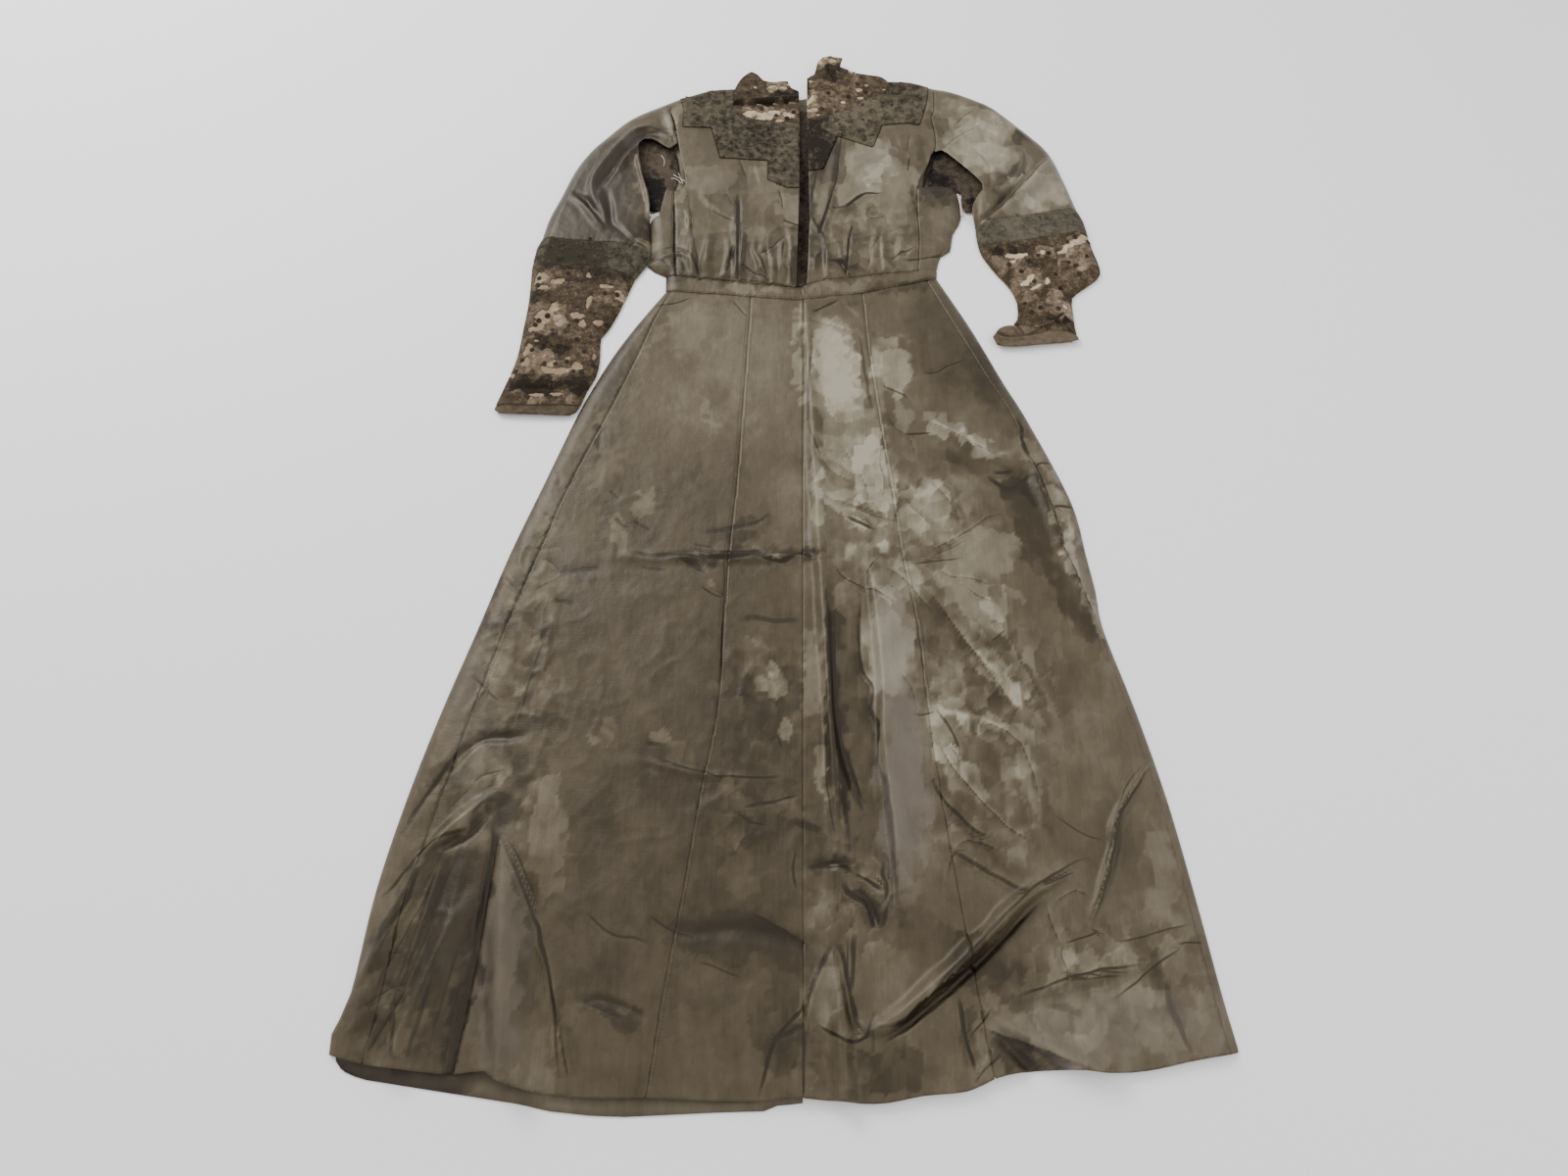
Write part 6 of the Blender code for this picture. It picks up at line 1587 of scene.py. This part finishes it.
class Cutter:
    """Cuts pieces of cloth along the named lines and lays them on the dress."""

    def __init__(self, finishes: Finishes) -> None:
        """Keep the finishes."""
        self.finishes = finishes

    def thicken(self, piece: bpy.types.Object, thickness: float) -> None:
        """Give an open sheet its thickness, downwards."""
        solid = piece.modifiers.new("thickness", "SOLIDIFY")
        solid.thickness = thickness * MILLIMETRE
        solid.offset = -1.0

    def lay(self, piece: Piece, section: Section) -> None:
        """Cut one piece of the top side and lay it at the relief's height.

        Args:
            piece: the piece.
            section: the section it belongs to, for its finish, grid and lift.
        """
        outline = shrink(join_lines(piece.outline), HALF_SEAM)
        points, faces = cut_grid(outline, section.step, [])
        x, y = points[:, 0], points[:, 1]
        height = RELIEF.height(x, y) + section.lift
        name = piece.node + "_cloth"
        material = getattr(self.finishes, section.finish)
        made = make_object(name, to_world(points, height), faces, material)
        # Painted light and shade: sheen and shade patches, crumpled facets, crease sides, and shade in troughs
        deep = RELIEF.troughs(x, y)
        offset, painted_crease_shade, painted_side_shading = draw_creases(x, y, CREASES)
        painted_crumple_shading = np.clip(0.10 + 1.1 * blobs(x, y, CRUMPLED_PATCHES), 0.05, 0.8)
        painted_crumple_shading *= 0.55 * painted_facet_shading(x, y, 30.0, 71) + 0.5 * painted_facet_shading(x, y, 13.0, 81)
        keep_values(made.data, "tone", blobs(x, y, PAINTED_SHEEN_AND_SHADE) + painted_crumple_shading + 0.8 * painted_side_shading - 0.45 * deep)
        keep_values(made.data, "offset", offset)
        keep_values(made.data, "painted_crease_shade", painted_crease_shade)
        keep_values(made.data, "violet", np.clip(blobs(x, y, VIOLET_PATCHES), 0, 1) * (1 - deep))
        self.thicken(made, SHELL)
        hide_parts(piece.node)
        LOG.info("%s: %d faces", name, len(faces))
        if piece.lace:
            self.lay_lace(piece, section, outline)

    def lay_lace(self, piece: Piece, section: Section, outline: np.ndarray) -> None:
        """Cut the lace that lies on a lining, with its gaps open."""
        loops = [gap_loop(gap, index) for index, gap in enumerate(piece.gaps)]
        points, faces = cut_grid(outline, LACE_SHARE * section.step, loops)
        x, y = points[:, 0], points[:, 1]
        height = RELIEF.height(x, y) + section.lift + LACE_LIFT
        name = piece.lace + "_work"
        made = make_object(name, to_world(points, height), faces, self.finishes.lace)
        # The lace's tone adds painted light and shade beside the crisp lines to its thinness.
        offset, painted_crease_shade, painted_side_shading = draw_creases(x, y, CREASES)
        keep_values(made.data, "tone", blobs(x, y, LACE_PATCHES) + painted_side_shading)
        keep_values(made.data, "offset", offset)
        keep_values(made.data, "painted_crease_shade", painted_crease_shade)
        self.thicken(made, LACE_SHELL)
        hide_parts(piece.lace)
        LOG.info("%s: %d faces, %d gaps", name, len(faces), len(loops))

    def lay_flat(self, node: str, points: Points, underside: float, material: bpy.types.Material,
                 step: float = 12.0, ripple: float = 0.5) -> None:
        """Cut one layer that lies on the surface, with a slight ripple on its top.

        Args:
            node: the solid's node.
            points: the outline's corners.
            underside: the height of its lower side.
            material: its finish.
            step: the side of its grid's squares.
            ripple: the height of the ripple.
        """
        outline = straighten(points + points[:1], 20.0)[:-1]
        outline = outline if area_of(outline) > 0 else outline[::-1]
        outline = shrink(outline, HALF_SEAM)
        plan, faces = cut_grid(outline, step, [])
        height = underside + 1.0 + ripple * crumple(plan[:, 0], plan[:, 1], 40.0, 6)
        made = make_object(node + "_cloth", to_world(plan, height), faces, material)
        # Random tone, plus painted shade under the hem, opening and armholes, and painted light where these are lit
        tone = 0.1 + 0.5 * (noise(plan[:, 0], plan[:, 1], 30.0, 9) - 0.5)
        tone += blobs(plan[:, 0], plan[:, 1], UNDER_PAINTED_SHADE_AND_LIGHT)
        keep_values(made.data, "tone", tone)
        keep_values(made.data, "violet", np.full(len(plan), 0.2))
        keep_values(made.data, "offset", np.full(len(plan), NO_LINE))
        self.thicken(made, SHELL)
        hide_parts(node)
        LOG.info("%s: %d faces", node, len(faces))


SKIRT = Section("silk", Slot.SILK, 2.75, 0.0, (
    Piece("skirt_side_left", ("skirt left", "hem side left", "skirt side left", "waist a"),
          "skirt_back_left"),
    Piece("skirt_gore_left", ("skirt side left", "hem gore left", "skirt gore left", "waist b"),
          "skirt_back_left"),
    Piece("skirt_front_left", ("skirt gore left", "hem front left", "skirt centre", "waist c"),
          "skirt_back_left"),
    Piece("skirt_front_right", ("skirt centre", "hem front right", "skirt gore right", "waist d"),
          "skirt_back_right"),
    Piece("skirt_gore_right", ("skirt gore right", "hem gore right", "skirt side right", "waist e"),
          "skirt_back_right"),
    Piece("skirt_side_right", ("skirt side right", "hem side right", "skirt right", "waist f"),
          "skirt_back_right"),
))
BODICE = Section("silk", Slot.SILK, 1.95, 0.0, (
    Piece("waistband_left", ("waist low left", "waist split", "waist dip left", "waist top left",
                             "waist top far left", "waist end left"), "waistband_back"),
    Piece("waistband_right", ("waist low right", "waist end right", "waist top far right",
                              "waist top right", "waist dip right", "waist split"), "waistband_back"),
    Piece("bodice_side_left", ("waist top far left", "side left", "hole low left", "sleeve inner left",
                               "band inner left", "side piece left low"), "bodice_back"),
    Piece("bodice_front_left", ("waist top left", "centre left low", "yoke left low", "yoke side left",
                                "shoulder left", "armscye left", "hole right side left", "side left"),
          "bodice_back"),
    Piece("bodice_front_right", ("waist top right", "side right", "hole left side right",
                                 "armscye right", "shoulder right", "yoke side right",
                                 "yoke right low", "centre right low"), "bodice_back"),
    Piece("bodice_side_right", ("waist top far right", "side piece right edge",
                                "side piece right top", "side right"), "bodice_back"),
))
YOKE = Section("crepe", Slot.CREPE, 2.4, 1.2, (
    Piece("yoke_left", ("yoke left low", "centre left mid", "patch low left", "patch side left",
                        "neck split left", "top left", "yoke side left"), "bodice_back"),
    Piece("yoke_right", ("yoke right low", "yoke side right", "top right", "top split right",
                         "lace low right", "centre right mid"), "bodice_back"),
))
NECK = Section("lining", Slot.LINING, 2.2, 0.0, (
    Piece("neck_lining_left", ("patch low left", "centre left top", "collar crease left",
                               "patch side left"), "bodice_back", "neck_lace_left", LEFT_NECK_GAPS),
    Piece("neck_lining_right", ("lace low right", "top split right", "neck top right",
                                "collar crease right", "centre right top"), "bodice_back",
          "neck_lace_right", RIGHT_NECK_GAPS),
))
COLLAR = Section("lining", Slot.LINING, 2.2, 1.5, (
    Piece("collar_lining_left", ("collar crease left", "collar end left", "collar top left",
                                 "neck split left"), "bodice_back", "collar_lace_left",
          LEFT_COLLAR_GAPS),
    Piece("collar_lining_right", ("collar crease right", "collar top right", "collar end right"),
          "bodice_back", "collar_lace_right", RIGHT_COLLAR_GAPS),
))
SLEEVES = Section("silk", Slot.SILK, 2.2, 0.0, (
    Piece("sleeve_top_left", ("armscye left", "sleeve outer left", "band top left",
                              "sleeve inner left", "hole left side left"), "sleeve_under_left"),
    Piece("sleeve_top_right", ("armscye right", "sleeve outer right", "band top right",
                               "hole right side right"), "sleeve_under_right"),
))
BANDS = Section("band", Slot.BRAID, 2.2, 1.2, (
    Piece("sleeve_band_left", ("band top left", "band inner left", "band end left", "band low left",
                               "band outer left"), "sleeve_under_left"),
    Piece("sleeve_band_right", ("band top right", "band inner right", "band low right",
                                "band outer right"), "sleeve_under_right"),
))
CUFFS = Section("lining", Slot.LINING, 2.3, 0.0, (
    Piece("cuff_lining_left", ("band low left", "cuff inner left", "wrist top left",
                               "cuff outer left"), "cuff_under_left", "cuff_lace_left", LEFT_CUFF_GAPS),
    Piece("cuff_lining_right", ("band low right", "cuff inner right", "wrist top right",
                                "cuff outer right"), "cuff_under_right", "cuff_lace_right",
          RIGHT_CUFF_GAPS),
))
WRISTS = Section("wrist", Slot.LACE, 2.2, 0.0, (
    Piece("wrist_band_left", ("wrist top left", "wrist low left"), "cuff_under_left"),
    Piece("wrist_band_right", ("wrist top right", "wrist low right"), "cuff_under_right"),
))

# Where the lace has raised rings: x and y
LEFT_CUFF_DOTS = (
    (-357, 22), (-339, -43), (-350, -51), (-354, -58), (-309, -59), (-300, -51), (-260, -55), (-354, -99),
    (-366, -114), (-336, -120), (-321, -121), (-307, -117), (-297, -133), (-286, -134), (-265, -5),
    (-249, -6), (-302, -26), (-358, 10), (-318, 30), (-280, 28), (-340, -90), (-325, -98), (-372, -132),
    (-278, -78), (-330, -68), (-296, -84), (-272, -122), (-285, -102),
)
RIGHT_CUFF_DOTS = (
    (368, 87), (399, 92), (380, 96), (330, 47), (366, 50), (375, 44), (312, 52), (316, 17), (325, 62),
    (288, 70), (284, 46), (346, 30), (392, 60), (378, 28), (300, 34), (330, 6), (300, -20), (344, -30),
    (330, -44), (320, -28), (356, -64), (308, -36), (340, 66), (350, 4),
)
NECK_DOTS = (
    (-38, 338), (-22, 332), (-60, 352), (-12, 346), (30, 352), (70, 378), (96, 388), (40, 384), (84, 404),
    (-86, 388), (-50, 384), (-80, 412), (-84, 404), (50, 436), (52, 420), (30, 420), (90, 416),
)

# Seams with stitches that show: line, distance to one side, first and last y
STITCHED = (
    ("skirt side left", 3.5, -560, -20), ("skirt gore left", 4.0, -985, -30),
    ("skirt gore left", -4.5, -500, -20), ("skirt gore right", 4.0, -600, -20),
    ("waist low left", 3.0, -20, 40), ("waist low right", 3.0, -20, 40),
    ("waist top left", -3.0, -20, 60), ("waist top right", -3.0, -20, 60),
    ("side left", 3.0, 60, 180), ("side right", -3.0, 60, 180),
)

# Sprays of cord: middle x and y, size and turn
YOKE_SPRAYS = (
    (-150, 355, 9, 20), (-128, 372, 8, 140), (-112, 386, 7, 60), (-122, 350, 9, 250), (-150, 330, 8, 90),
    (-110, 330, 9, 10), (-98, 300, 9, 120), (-116, 280, 9, 200), (-100, 262, 8, 40), (-78, 310, 9, 300),
    (-70, 282, 9, 80), (-74, 258, 8, 160), (-52, 306, 8, 10), (-46, 280, 8, 220), (-30, 308, 8, 90),
    (-24, 284, 8, 330), (-36, 256, 8, 130), (-24, 232, 8, 60), (-36, 220, 7, 240), (-14, 256, 7, 10),
    (-14, 210, 7, 120), (-30, 200, 6, 300), (20, 300, 8, 70), (20, 270, 8, 200), (22, 244, 7, 330),
    (36, 316, 8, 20), (40, 290, 8, 130), (62, 312, 9, 260), (86, 300, 8, 40), (76, 330, 9, 150),
    (100, 320, 8, 310), (104, 348, 9, 90), (128, 336, 8, 220), (122, 362, 9, 350), (146, 350, 9, 60),
    (168, 340, 7, 180), (150, 376, 9, 280), (174, 372, 8, 30), (140, 398, 8, 120), (164, 398, 7, 230),
    (98, 288, 6, 100), (50, 330, 7, 210), (-160, 372, 7, 320), (-132, 392, 6, 10), (-92, 340, 6, 200),
)
LEFT_BAND_SPRAYS = (
    (-350, 70, 9, 20), (-338, 62, 8, 200), (-322, 72, 9, 110), (-308, 62, 9, 300), (-292, 72, 9, 60),
    (-276, 60, 8, 160), (-262, 68, 8, 260), (-246, 56, 8, 10), (-232, 50, 7, 130), (-224, 64, 7, 240),
    (-360, 58, 6, 90), (-330, 82, 6, 30), (-282, 80, 6, 190),
)
RIGHT_BAND_SPRAYS = (
    (258, 106, 8, 30), (272, 112, 9, 190), (288, 106, 9, 90), (302, 116, 8, 300), (334, 116, 10, 40),
    (338, 126, 8, 220), (326, 108, 7, 130), (356, 122, 8, 20), (372, 130, 9, 250), (380, 124, 8, 80),
    (388, 136, 7, 170), (262, 94, 6, 210), (316, 124, 7, 10), (350, 134, 6, 100),
)


def band_of(path: np.ndarray, radius: float, sides: int = 5) -> Sheet:
    """Sweep a small circle along a path: each point is the path's plus radius times cos and sin.

    Args:
        path: the points of the path in millimetres.
        radius: the circle's radius.
        sides: how many sides it has.

    Returns:
        The points and four point numbers for each face.
    """
    along = np.gradient(path, axis=0)
    along /= np.maximum(np.linalg.norm(along, axis=1, keepdims=True), 1e-6)
    across = np.column_stack([-along[:, 1], along[:, 0], np.zeros(len(path))])
    across /= np.maximum(np.linalg.norm(across, axis=1, keepdims=True), 1e-6)
    up = np.cross(along, across)
    a = np.arange(sides) * 2 * np.pi / sides
    ring = across[:, None, :] * np.cos(a)[None, :, None] + up[:, None, :] * np.sin(a)[None, :, None]
    points = (path[:, None, :] + radius * ring).reshape(-1, 3)
    i, j = np.meshgrid(np.arange(len(path) - 1), np.arange(sides), indexing="ij")
    after = (j + 1) % sides
    here = i * sides
    faces = np.stack([here + j, here + sides + j, here + sides + after, here + after], axis=-1)
    return points, faces.reshape(-1, 4)


def merge(parts: list[Sheet]) -> Sheet:
    """Put several meshes of four-sided faces together."""
    starts = np.cumsum([0] + [len(points) for points, faces in parts[:-1]])
    return (np.vstack([points for points, faces in parts]),
            np.vstack([faces + start for (points, faces), start in zip(parts, starts)]))


def lay_paths(paths: list[np.ndarray], lift: float, radius: float, sides: int = 5) -> list[Sheet]:
    """Lift lines drawn in the plan onto the cloth and sweep a circle along each."""
    together = np.vstack(paths)
    height = RELIEF.height(together[:, 0], together[:, 1]) + lift
    ends = np.cumsum([len(path) for path in paths])[:-1]
    return [band_of(np.column_stack([path, part]), radius, sides)
            for path, part in zip(paths, np.split(height, ends))]


def spray(middle_x: float, middle_y: float, size: float, turn: float) -> list[np.ndarray]:
    """Return the lines of one spray of cord: a scroll that winds in, and three leaves beside it.

    The scroll's radius is size times (1 - 0.75t) while it winds one and a half turns; a leaf is a
    loop whose half width is 0.22 size sin(pi t).
    """
    paths = []
    base = math.radians(turn)

    def add(x: np.ndarray, y: np.ndarray) -> None:
        """Turn a drawn line and move it to its place."""
        px = middle_x + x * math.cos(base) - y * math.sin(base)
        py = middle_y + x * math.sin(base) + y * math.cos(base)
        paths.append(np.column_stack([px, py]))

    t = np.linspace(0, 1, 26)
    angle = t * 3.2 * np.pi
    radius = 0.52 * size * (1 - 0.78 * t)
    add(radius * np.cos(angle), radius * np.sin(angle))
    for leaf in range(3):
        lean = 0.9 + leaf * 0.75
        s = np.linspace(0, 2 * np.pi, 15)
        out = 0.55 * size + 0.42 * size * (1 - np.cos(s)) / 2
        side = 0.20 * size * np.sin(s)
        add(out * math.cos(lean) - side * math.sin(lean), out * math.sin(lean) + side * math.cos(lean))
    return paths


# Frayed ends of thread and the edge of the lining that show in the armholes: radius and line
SCRAPS = (
    (0.6, ((-185, 223), (-179, 218), (-173, 214), (-168, 210))),
    (0.5, ((-178, 226), (-175, 217), (-171, 206))),
    (0.5, ((-188, 216), (-180, 214), (-174, 206))),
    (1.7, ((-224, 183), (-222, 170), (-219, 158), (-214, 140))),
    (1.5, ((223, 184), (225, 172), (226, 158), (226, 142))),
    (0.5, ((-205, 262), (-200, 252), (-200, 240))),
)


def make_trim(name: str, parts: list[Sheet], material: bpy.types.Material) -> None:
    """Make one object of several swept lines."""
    points, faces = merge(parts)
    make_object(name, to_world(points[:, :2], points[:, 2]), faces, material)


@dataclass(frozen=True)
class Trims:
    """Raised cord, lace dots, stitches and loose scraps.

    cord: the cord's radius. dot: a ring's radius. stitch: from one stitch to the next.
    """

    cord: float = 0.5
    dot: float = 2.9
    stitch: float = 3.6
    cord_lift: float = 1.4
    scrap_height: float = 4.4

    def sprays(self, name: str, table: Points, material: bpy.types.Material) -> None:
        """Lay the sprays of a table as one object, each with a smaller one beside it."""
        paths = []
        for number, (middle_x, middle_y, size, turn) in enumerate(table):
            lean = 5.0 * math.sin(2.3 * number)
            paths += spray(middle_x + lean, middle_y + 4.0 * math.cos(3.1 * number), size, turn)
            paths += spray(middle_x - 9 - lean, middle_y + 10 + lean, 0.5 * size, turn + 140)[:2]
        make_trim(name, lay_paths(paths, self.cord_lift, self.cord, 4), material)

    def dots(self, name: str, table: Points, lift: float, material: bpy.types.Material) -> None:
        """Lay a raised ring with a filled middle at each place of a table."""
        a = np.linspace(0, 2 * np.pi, 13)
        paths = []
        for number, (x, y) in enumerate(table):
            size = self.dot * (0.85 + 0.1 * ((number * 7) % 4))
            for radius in (size, size * 0.55, size * 0.15):
                paths.append(np.column_stack([x + radius * np.cos(a), y + radius * np.sin(a)]))
        make_trim(name, lay_paths(paths, lift, 0.24 * self.dot), material)

    def stitches(self, material: bpy.types.Material) -> None:
        """Sew a row of short threads beside each seam whose stitches show."""
        parts = []
        for name, off, low, high in STITCHED:
            line = LINES[name]
            length = np.concatenate([[0], np.cumsum(np.linalg.norm(np.diff(line, axis=0), axis=1))])
            along = np.gradient(line, axis=0)
            along /= np.linalg.norm(along, axis=1, keepdims=True)
            at = np.arange(2.0, length[-1] - 2.0, self.stitch)
            x = np.interp(at, length, line[:, 0] - off * along[:, 1])
            y = np.interp(at, length, line[:, 1] + off * along[:, 0])
            step_x = np.interp(at, length, along[:, 0])
            step_y = np.interp(at, length, along[:, 1])
            keep = (y > low) & (y < high)
            reach = np.array([-0.9, 0.0, 0.9])
            px = x[keep][:, None] + reach * step_x[keep][:, None]
            py = y[keep][:, None] + reach * step_y[keep][:, None]
            height = RELIEF.height(px.ravel(), py.ravel()).reshape(px.shape) + 0.12
            parts += [band_of(path, 0.22, 4) for path in np.stack([px, py, height], axis=-1)]
        make_trim("seam_stitches", parts, material)

    def scraps(self, material: bpy.types.Material) -> None:
        """Lay the frayed threads and the lining's edge that show in the armholes."""
        parts = []
        for radius, line in SCRAPS:
            plan = soften(line, 3.0)
            parts.append(band_of(np.column_stack([plan, np.full(len(plan), self.scrap_height)]), radius))
        make_trim("armhole_scraps", parts, material)

    def build(self, cutter: Cutter) -> None:
        """Lay every trim."""
        finishes = cutter.finishes
        self.sprays("yoke_cord", YOKE_SPRAYS, finishes.cord)
        self.sprays("band_cord_left", LEFT_BAND_SPRAYS, finishes.cord)
        self.sprays("band_cord_right", RIGHT_BAND_SPRAYS, finishes.pale_cord)
        self.dots("cuff_dots_left", LEFT_CUFF_DOTS, 1.0, finishes.dot)
        self.dots("cuff_dots_right", RIGHT_CUFF_DOTS, 1.0, finishes.dot)
        self.dots("neck_dots", NECK_DOTS, 1.6, finishes.dot)
        self.stitches(finishes.stitch)
        self.scraps(finishes.scrap)


# Outlines of the layers that lie on the surface
FLAT_LAYERS = {
    "skirt_back_left": ((-178, 0), (-120, -6), (-70, -11), (1, -16), (1, -1002), (-20, -1001),
                        (-36, -1007), (-76, -1008), (-123, -1010), (-169, -1012), (-201, -1011),
                        (-242, -1007), (-270, -1001), (-312, -995), (-376, -986), (-425, -979),
                        (-440, -974), (-451, -967), (-456, -957), (-455, -940), (-444, -900),
                        (-436, -800), (-419, -700), (-396, -600), (-368, -500), (-343, -400),
                        (-311, -300), (-278, -200), (-260, -150), (-240, -100), (-213, -50)),
    "skirt_back_right": ((1, -16), (82, -5), (130, 7), (177, 20), (214, -50), (236, -100), (256, -150),
                         (278, -200), (315, -300), (333, -400), (342, -500), (366, -600), (386, -700),
                         (400, -800), (412, -900), (419, -946), (380, -954), (300, -962), (190, -968),
                         (117, -983), (1, -985)),
    "waistband_back": ((-178, 0), (-120, -6), (-70, -11), (1, -16), (82, -5), (130, 7), (177, 20),
                       (178, 43), (110, 31), (32, 19), (-1, 9), (-93, 19), (-178, 31)),
    "bodice_back": ((-178, 31), (-93, 19), (-1, 9), (32, 19), (110, 31), (178, 43), (186, 72),
                    (201, 84), (206, 112), (219, 142), (219, 178), (199, 184), (173, 190), (177, 225),
                    (188, 262), (189, 302), (188, 340), (188, 390), (163, 405), (128, 407), (80, 412),
                    (0, 382), (-70, 390), (-104, 392), (-135, 390), (-165, 377), (-200, 356),
                    (-193, 328), (-187, 260), (-191, 190), (-192, 150), (-205, 126), (-203, 80),
                    (-206, 58), (-180, 42)),
    "sleeve_under_left": ((-200, 356), (-247, 330), (-281, 290), (-301, 268), (-318, 231), (-334, 177),
                          (-346, 139), (-353, 97), (-359, 82), (-363, 47), (-322, 44), (-294, 45),
                          (-266, 38), (-233, 28), (-219, 52), (-214, 76), (-219, 125), (-221, 148),
                          (-203, 154), (-196, 168), (-191, 190), (-187, 260), (-193, 328)),
    "sleeve_under_right": ((188, 390), (222, 381), (257, 363), (277, 348), (317, 303), (347, 272),
                           (357, 252), (367, 212), (379, 163), (382, 149), (389, 131), (395, 112),
                           (350, 101), (299, 91), (251, 85), (249, 106), (249, 122), (246, 140),
                           (250, 160), (258, 178), (240, 190), (200, 194), (173, 190), (177, 225),
                           (188, 262), (189, 302), (188, 340)),
    "cuff_under_left": ((-363, 47), (-322, 44), (-294, 45), (-266, 38), (-233, 28), (-253, -39),
                        (-263, -63), (-271, -76), (-270, -114), (-274, -140), (-284, -162), (-293, -194),
                        (-343, -195), (-385, -193), (-376, -147), (-366, -107), (-363, -57), (-360, -10)),
    "cuff_under_right": ((251, 85), (299, 91), (350, 101), (395, 112), (398, 85), (404, 40), (383, 15),
                         (363, -3), (360, -32), (360, -57), (360, -80), (320, -84), (268, -84),
                         (262, -74), (272, -63), (294, -54), (295, -43), (296, -13), (288, 13),
                         (273, 36), (265, 50), (255, 70)),
    "placket_under": ((-22, 16), (0, 14), (26, 22), (26, 352), (0, 356), (-22, 352)),
    "armhole_lining_left": ((-194, 154), (-182, 190), (-176, 225), (-183, 262), (-197, 292), (-222, 302),
                            (-246, 288), (-240, 220), (-229, 176), (-213, 154)),
    "armhole_lining_right": ((178, 180), (184, 225), (194, 262), (206, 278), (232, 256), (268, 202),
                             (262, 172), (252, 152), (232, 150), (228.5, 160), (228, 188), (212, 189),
                             (208, 182)),
}


@dataclass(frozen=True)
class UnderLayers:
    """The layers that lie on the surface, under the top side.

    raised: how far the strip behind the opening and the armholes' linings are off the surface. step
    and ripple: the side of their grid's squares and the height of their ripple.
    """

    raised: float = 1.7
    step: float = 2.8
    ripple: float = 1.2

    def build(self, cutter: Cutter) -> None:
        """Lay every under layer."""
        finishes = cutter.finishes
        for node, points in FLAT_LAYERS.items():
            if node.startswith("cuff"):
                cutter.lay_flat(node, points, 0.0, finishes.lining)
            elif node.startswith(("placket", "armhole")):
                # The strip behind the opening and the armholes' linings get the near-black lining as painted shade.
                cutter.lay_flat(node, points, self.raised, finishes.dark, self.step,
                                self.ripple)
            else:
                cutter.lay_flat(node, points, 0.0, finishes.silk)


@dataclass(frozen=True)
class Lamp:
    """A square lamp: its place, what it is turned to, its side in metres and its power in watts."""

    name: str
    place: Triple
    aim: Triple
    size: float
    power: float


LAMPS = (
    Lamp("window", (-1.5, 1.6, 1.7), (0.0, -0.1, 0.0), 1.3, 62),
    Lamp("fill", (1.9, -0.6, 1.9), (0.0, -0.2, 0.0), 2.0, 16),
)


@dataclass(frozen=True)
class Studio:
    """A pale floor, soft lamps and a camera at the photograph's angle.

    height: the camera's, in metres. reach: how far it stands in front of the dress's origin. pitch:
    how far it looks down. lens and sensor: in millimetres. floor: half the floor's side. sink: how
    far the floor is under the dress. sky: the strength of the light from all round.
    """

    height: float = 1.192
    reach: float = 1.0526
    pitch: float = 63.0
    lens: float = 26.0
    sensor: float = 36.0
    shift: float = -0.01125
    floor: float = 6.0
    sink: float = 0.0002
    sky: float = 1.04

    def add_lamp(self, lamp: Lamp) -> None:
        """Hang one lamp and turn it to its aim."""
        data = bpy.data.lights.new(lamp.name, "AREA")
        data.size = lamp.size
        data.energy = lamp.power
        made = bpy.data.objects.new(lamp.name, data)
        made.location = lamp.place
        toward = np.array(lamp.aim) - np.array(lamp.place)
        flat = math.hypot(toward[0], toward[1])
        made.rotation_euler = (math.atan2(flat, -toward[2]), 0,
                               math.atan2(toward[1], toward[0]) - math.pi / 2)
        bpy.context.scene.collection.objects.link(made)

    def add_floor(self) -> None:
        """Lay a pale square floor."""
        mesh = bpy.data.meshes.new("floor")
        corners = [(x * self.floor, y * self.floor, -self.sink)
                   for x, y in ((-1, -1), (1, -1), (1, 1), (-1, 1))]
        mesh.from_pydata(corners, [], [(0, 1, 2, 3)])
        floor = bpy.data.objects.new("floor", mesh)
        bpy.context.scene.collection.objects.link(floor)
        material = bpy.data.materials.new("pale floor")
        material.use_nodes = True
        surface = material.node_tree.nodes["Principled BSDF"]
        surface.inputs["Base Color"].default_value = (0.93, 0.93, 0.93, 1)
        surface.inputs["Roughness"].default_value = 0.9
        mesh.materials.append(material)

    def add_sky(self) -> None:
        """Light the studio from all round."""
        world = bpy.data.worlds.new("studio")
        world.use_nodes = True
        background = world.node_tree.nodes["Background"]
        background.inputs["Color"].default_value = (1.0, 1.0, 1.0, 1)
        background.inputs["Strength"].default_value = self.sky
        bpy.context.scene.world = world

    def add_camera(self) -> None:
        """Set up the camera."""
        data = bpy.data.cameras.new("camera")
        data.lens = self.lens
        data.sensor_width = self.sensor
        data.shift_x = self.shift
        camera = bpy.data.objects.new("camera", data)
        camera.location = (-CENTRE_X * MILLIMETRE, -CENTRE_Y * MILLIMETRE - self.reach, self.height)
        camera.rotation_euler = (math.radians(90 - self.pitch), 0, 0)
        bpy.context.scene.collection.objects.link(camera)
        bpy.context.scene.camera = camera

    def build(self) -> None:
        """Make the floor, the lamps, the sky and the camera."""
        self.add_floor()
        for lamp in LAMPS:
            self.add_lamp(lamp)
        self.add_sky()
        self.add_camera()


def dress_nodes(finishes: Finishes) -> None:
    """Give every node of the solids a finish, for where one shows."""
    for name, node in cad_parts.items():
        node.data.materials.clear()
        node.data.materials.append(finishes.silk if "lace" not in name else finishes.lace)


def main() -> None:
    """Build the dress piece by piece, then the studio."""
    logging.basicConfig(level=logging.INFO)
    finishes = Finishes()
    cutter = Cutter(finishes)
    dress_nodes(finishes)
    for part in (UnderLayers(), SKIRT, BODICE, YOKE, NECK, COLLAR, SLEEVES, BANDS, CUFFS, WRISTS,
                 Trims()):
        part.build(cutter)
    Studio().build()


if __name__ == "__main__":
    main()
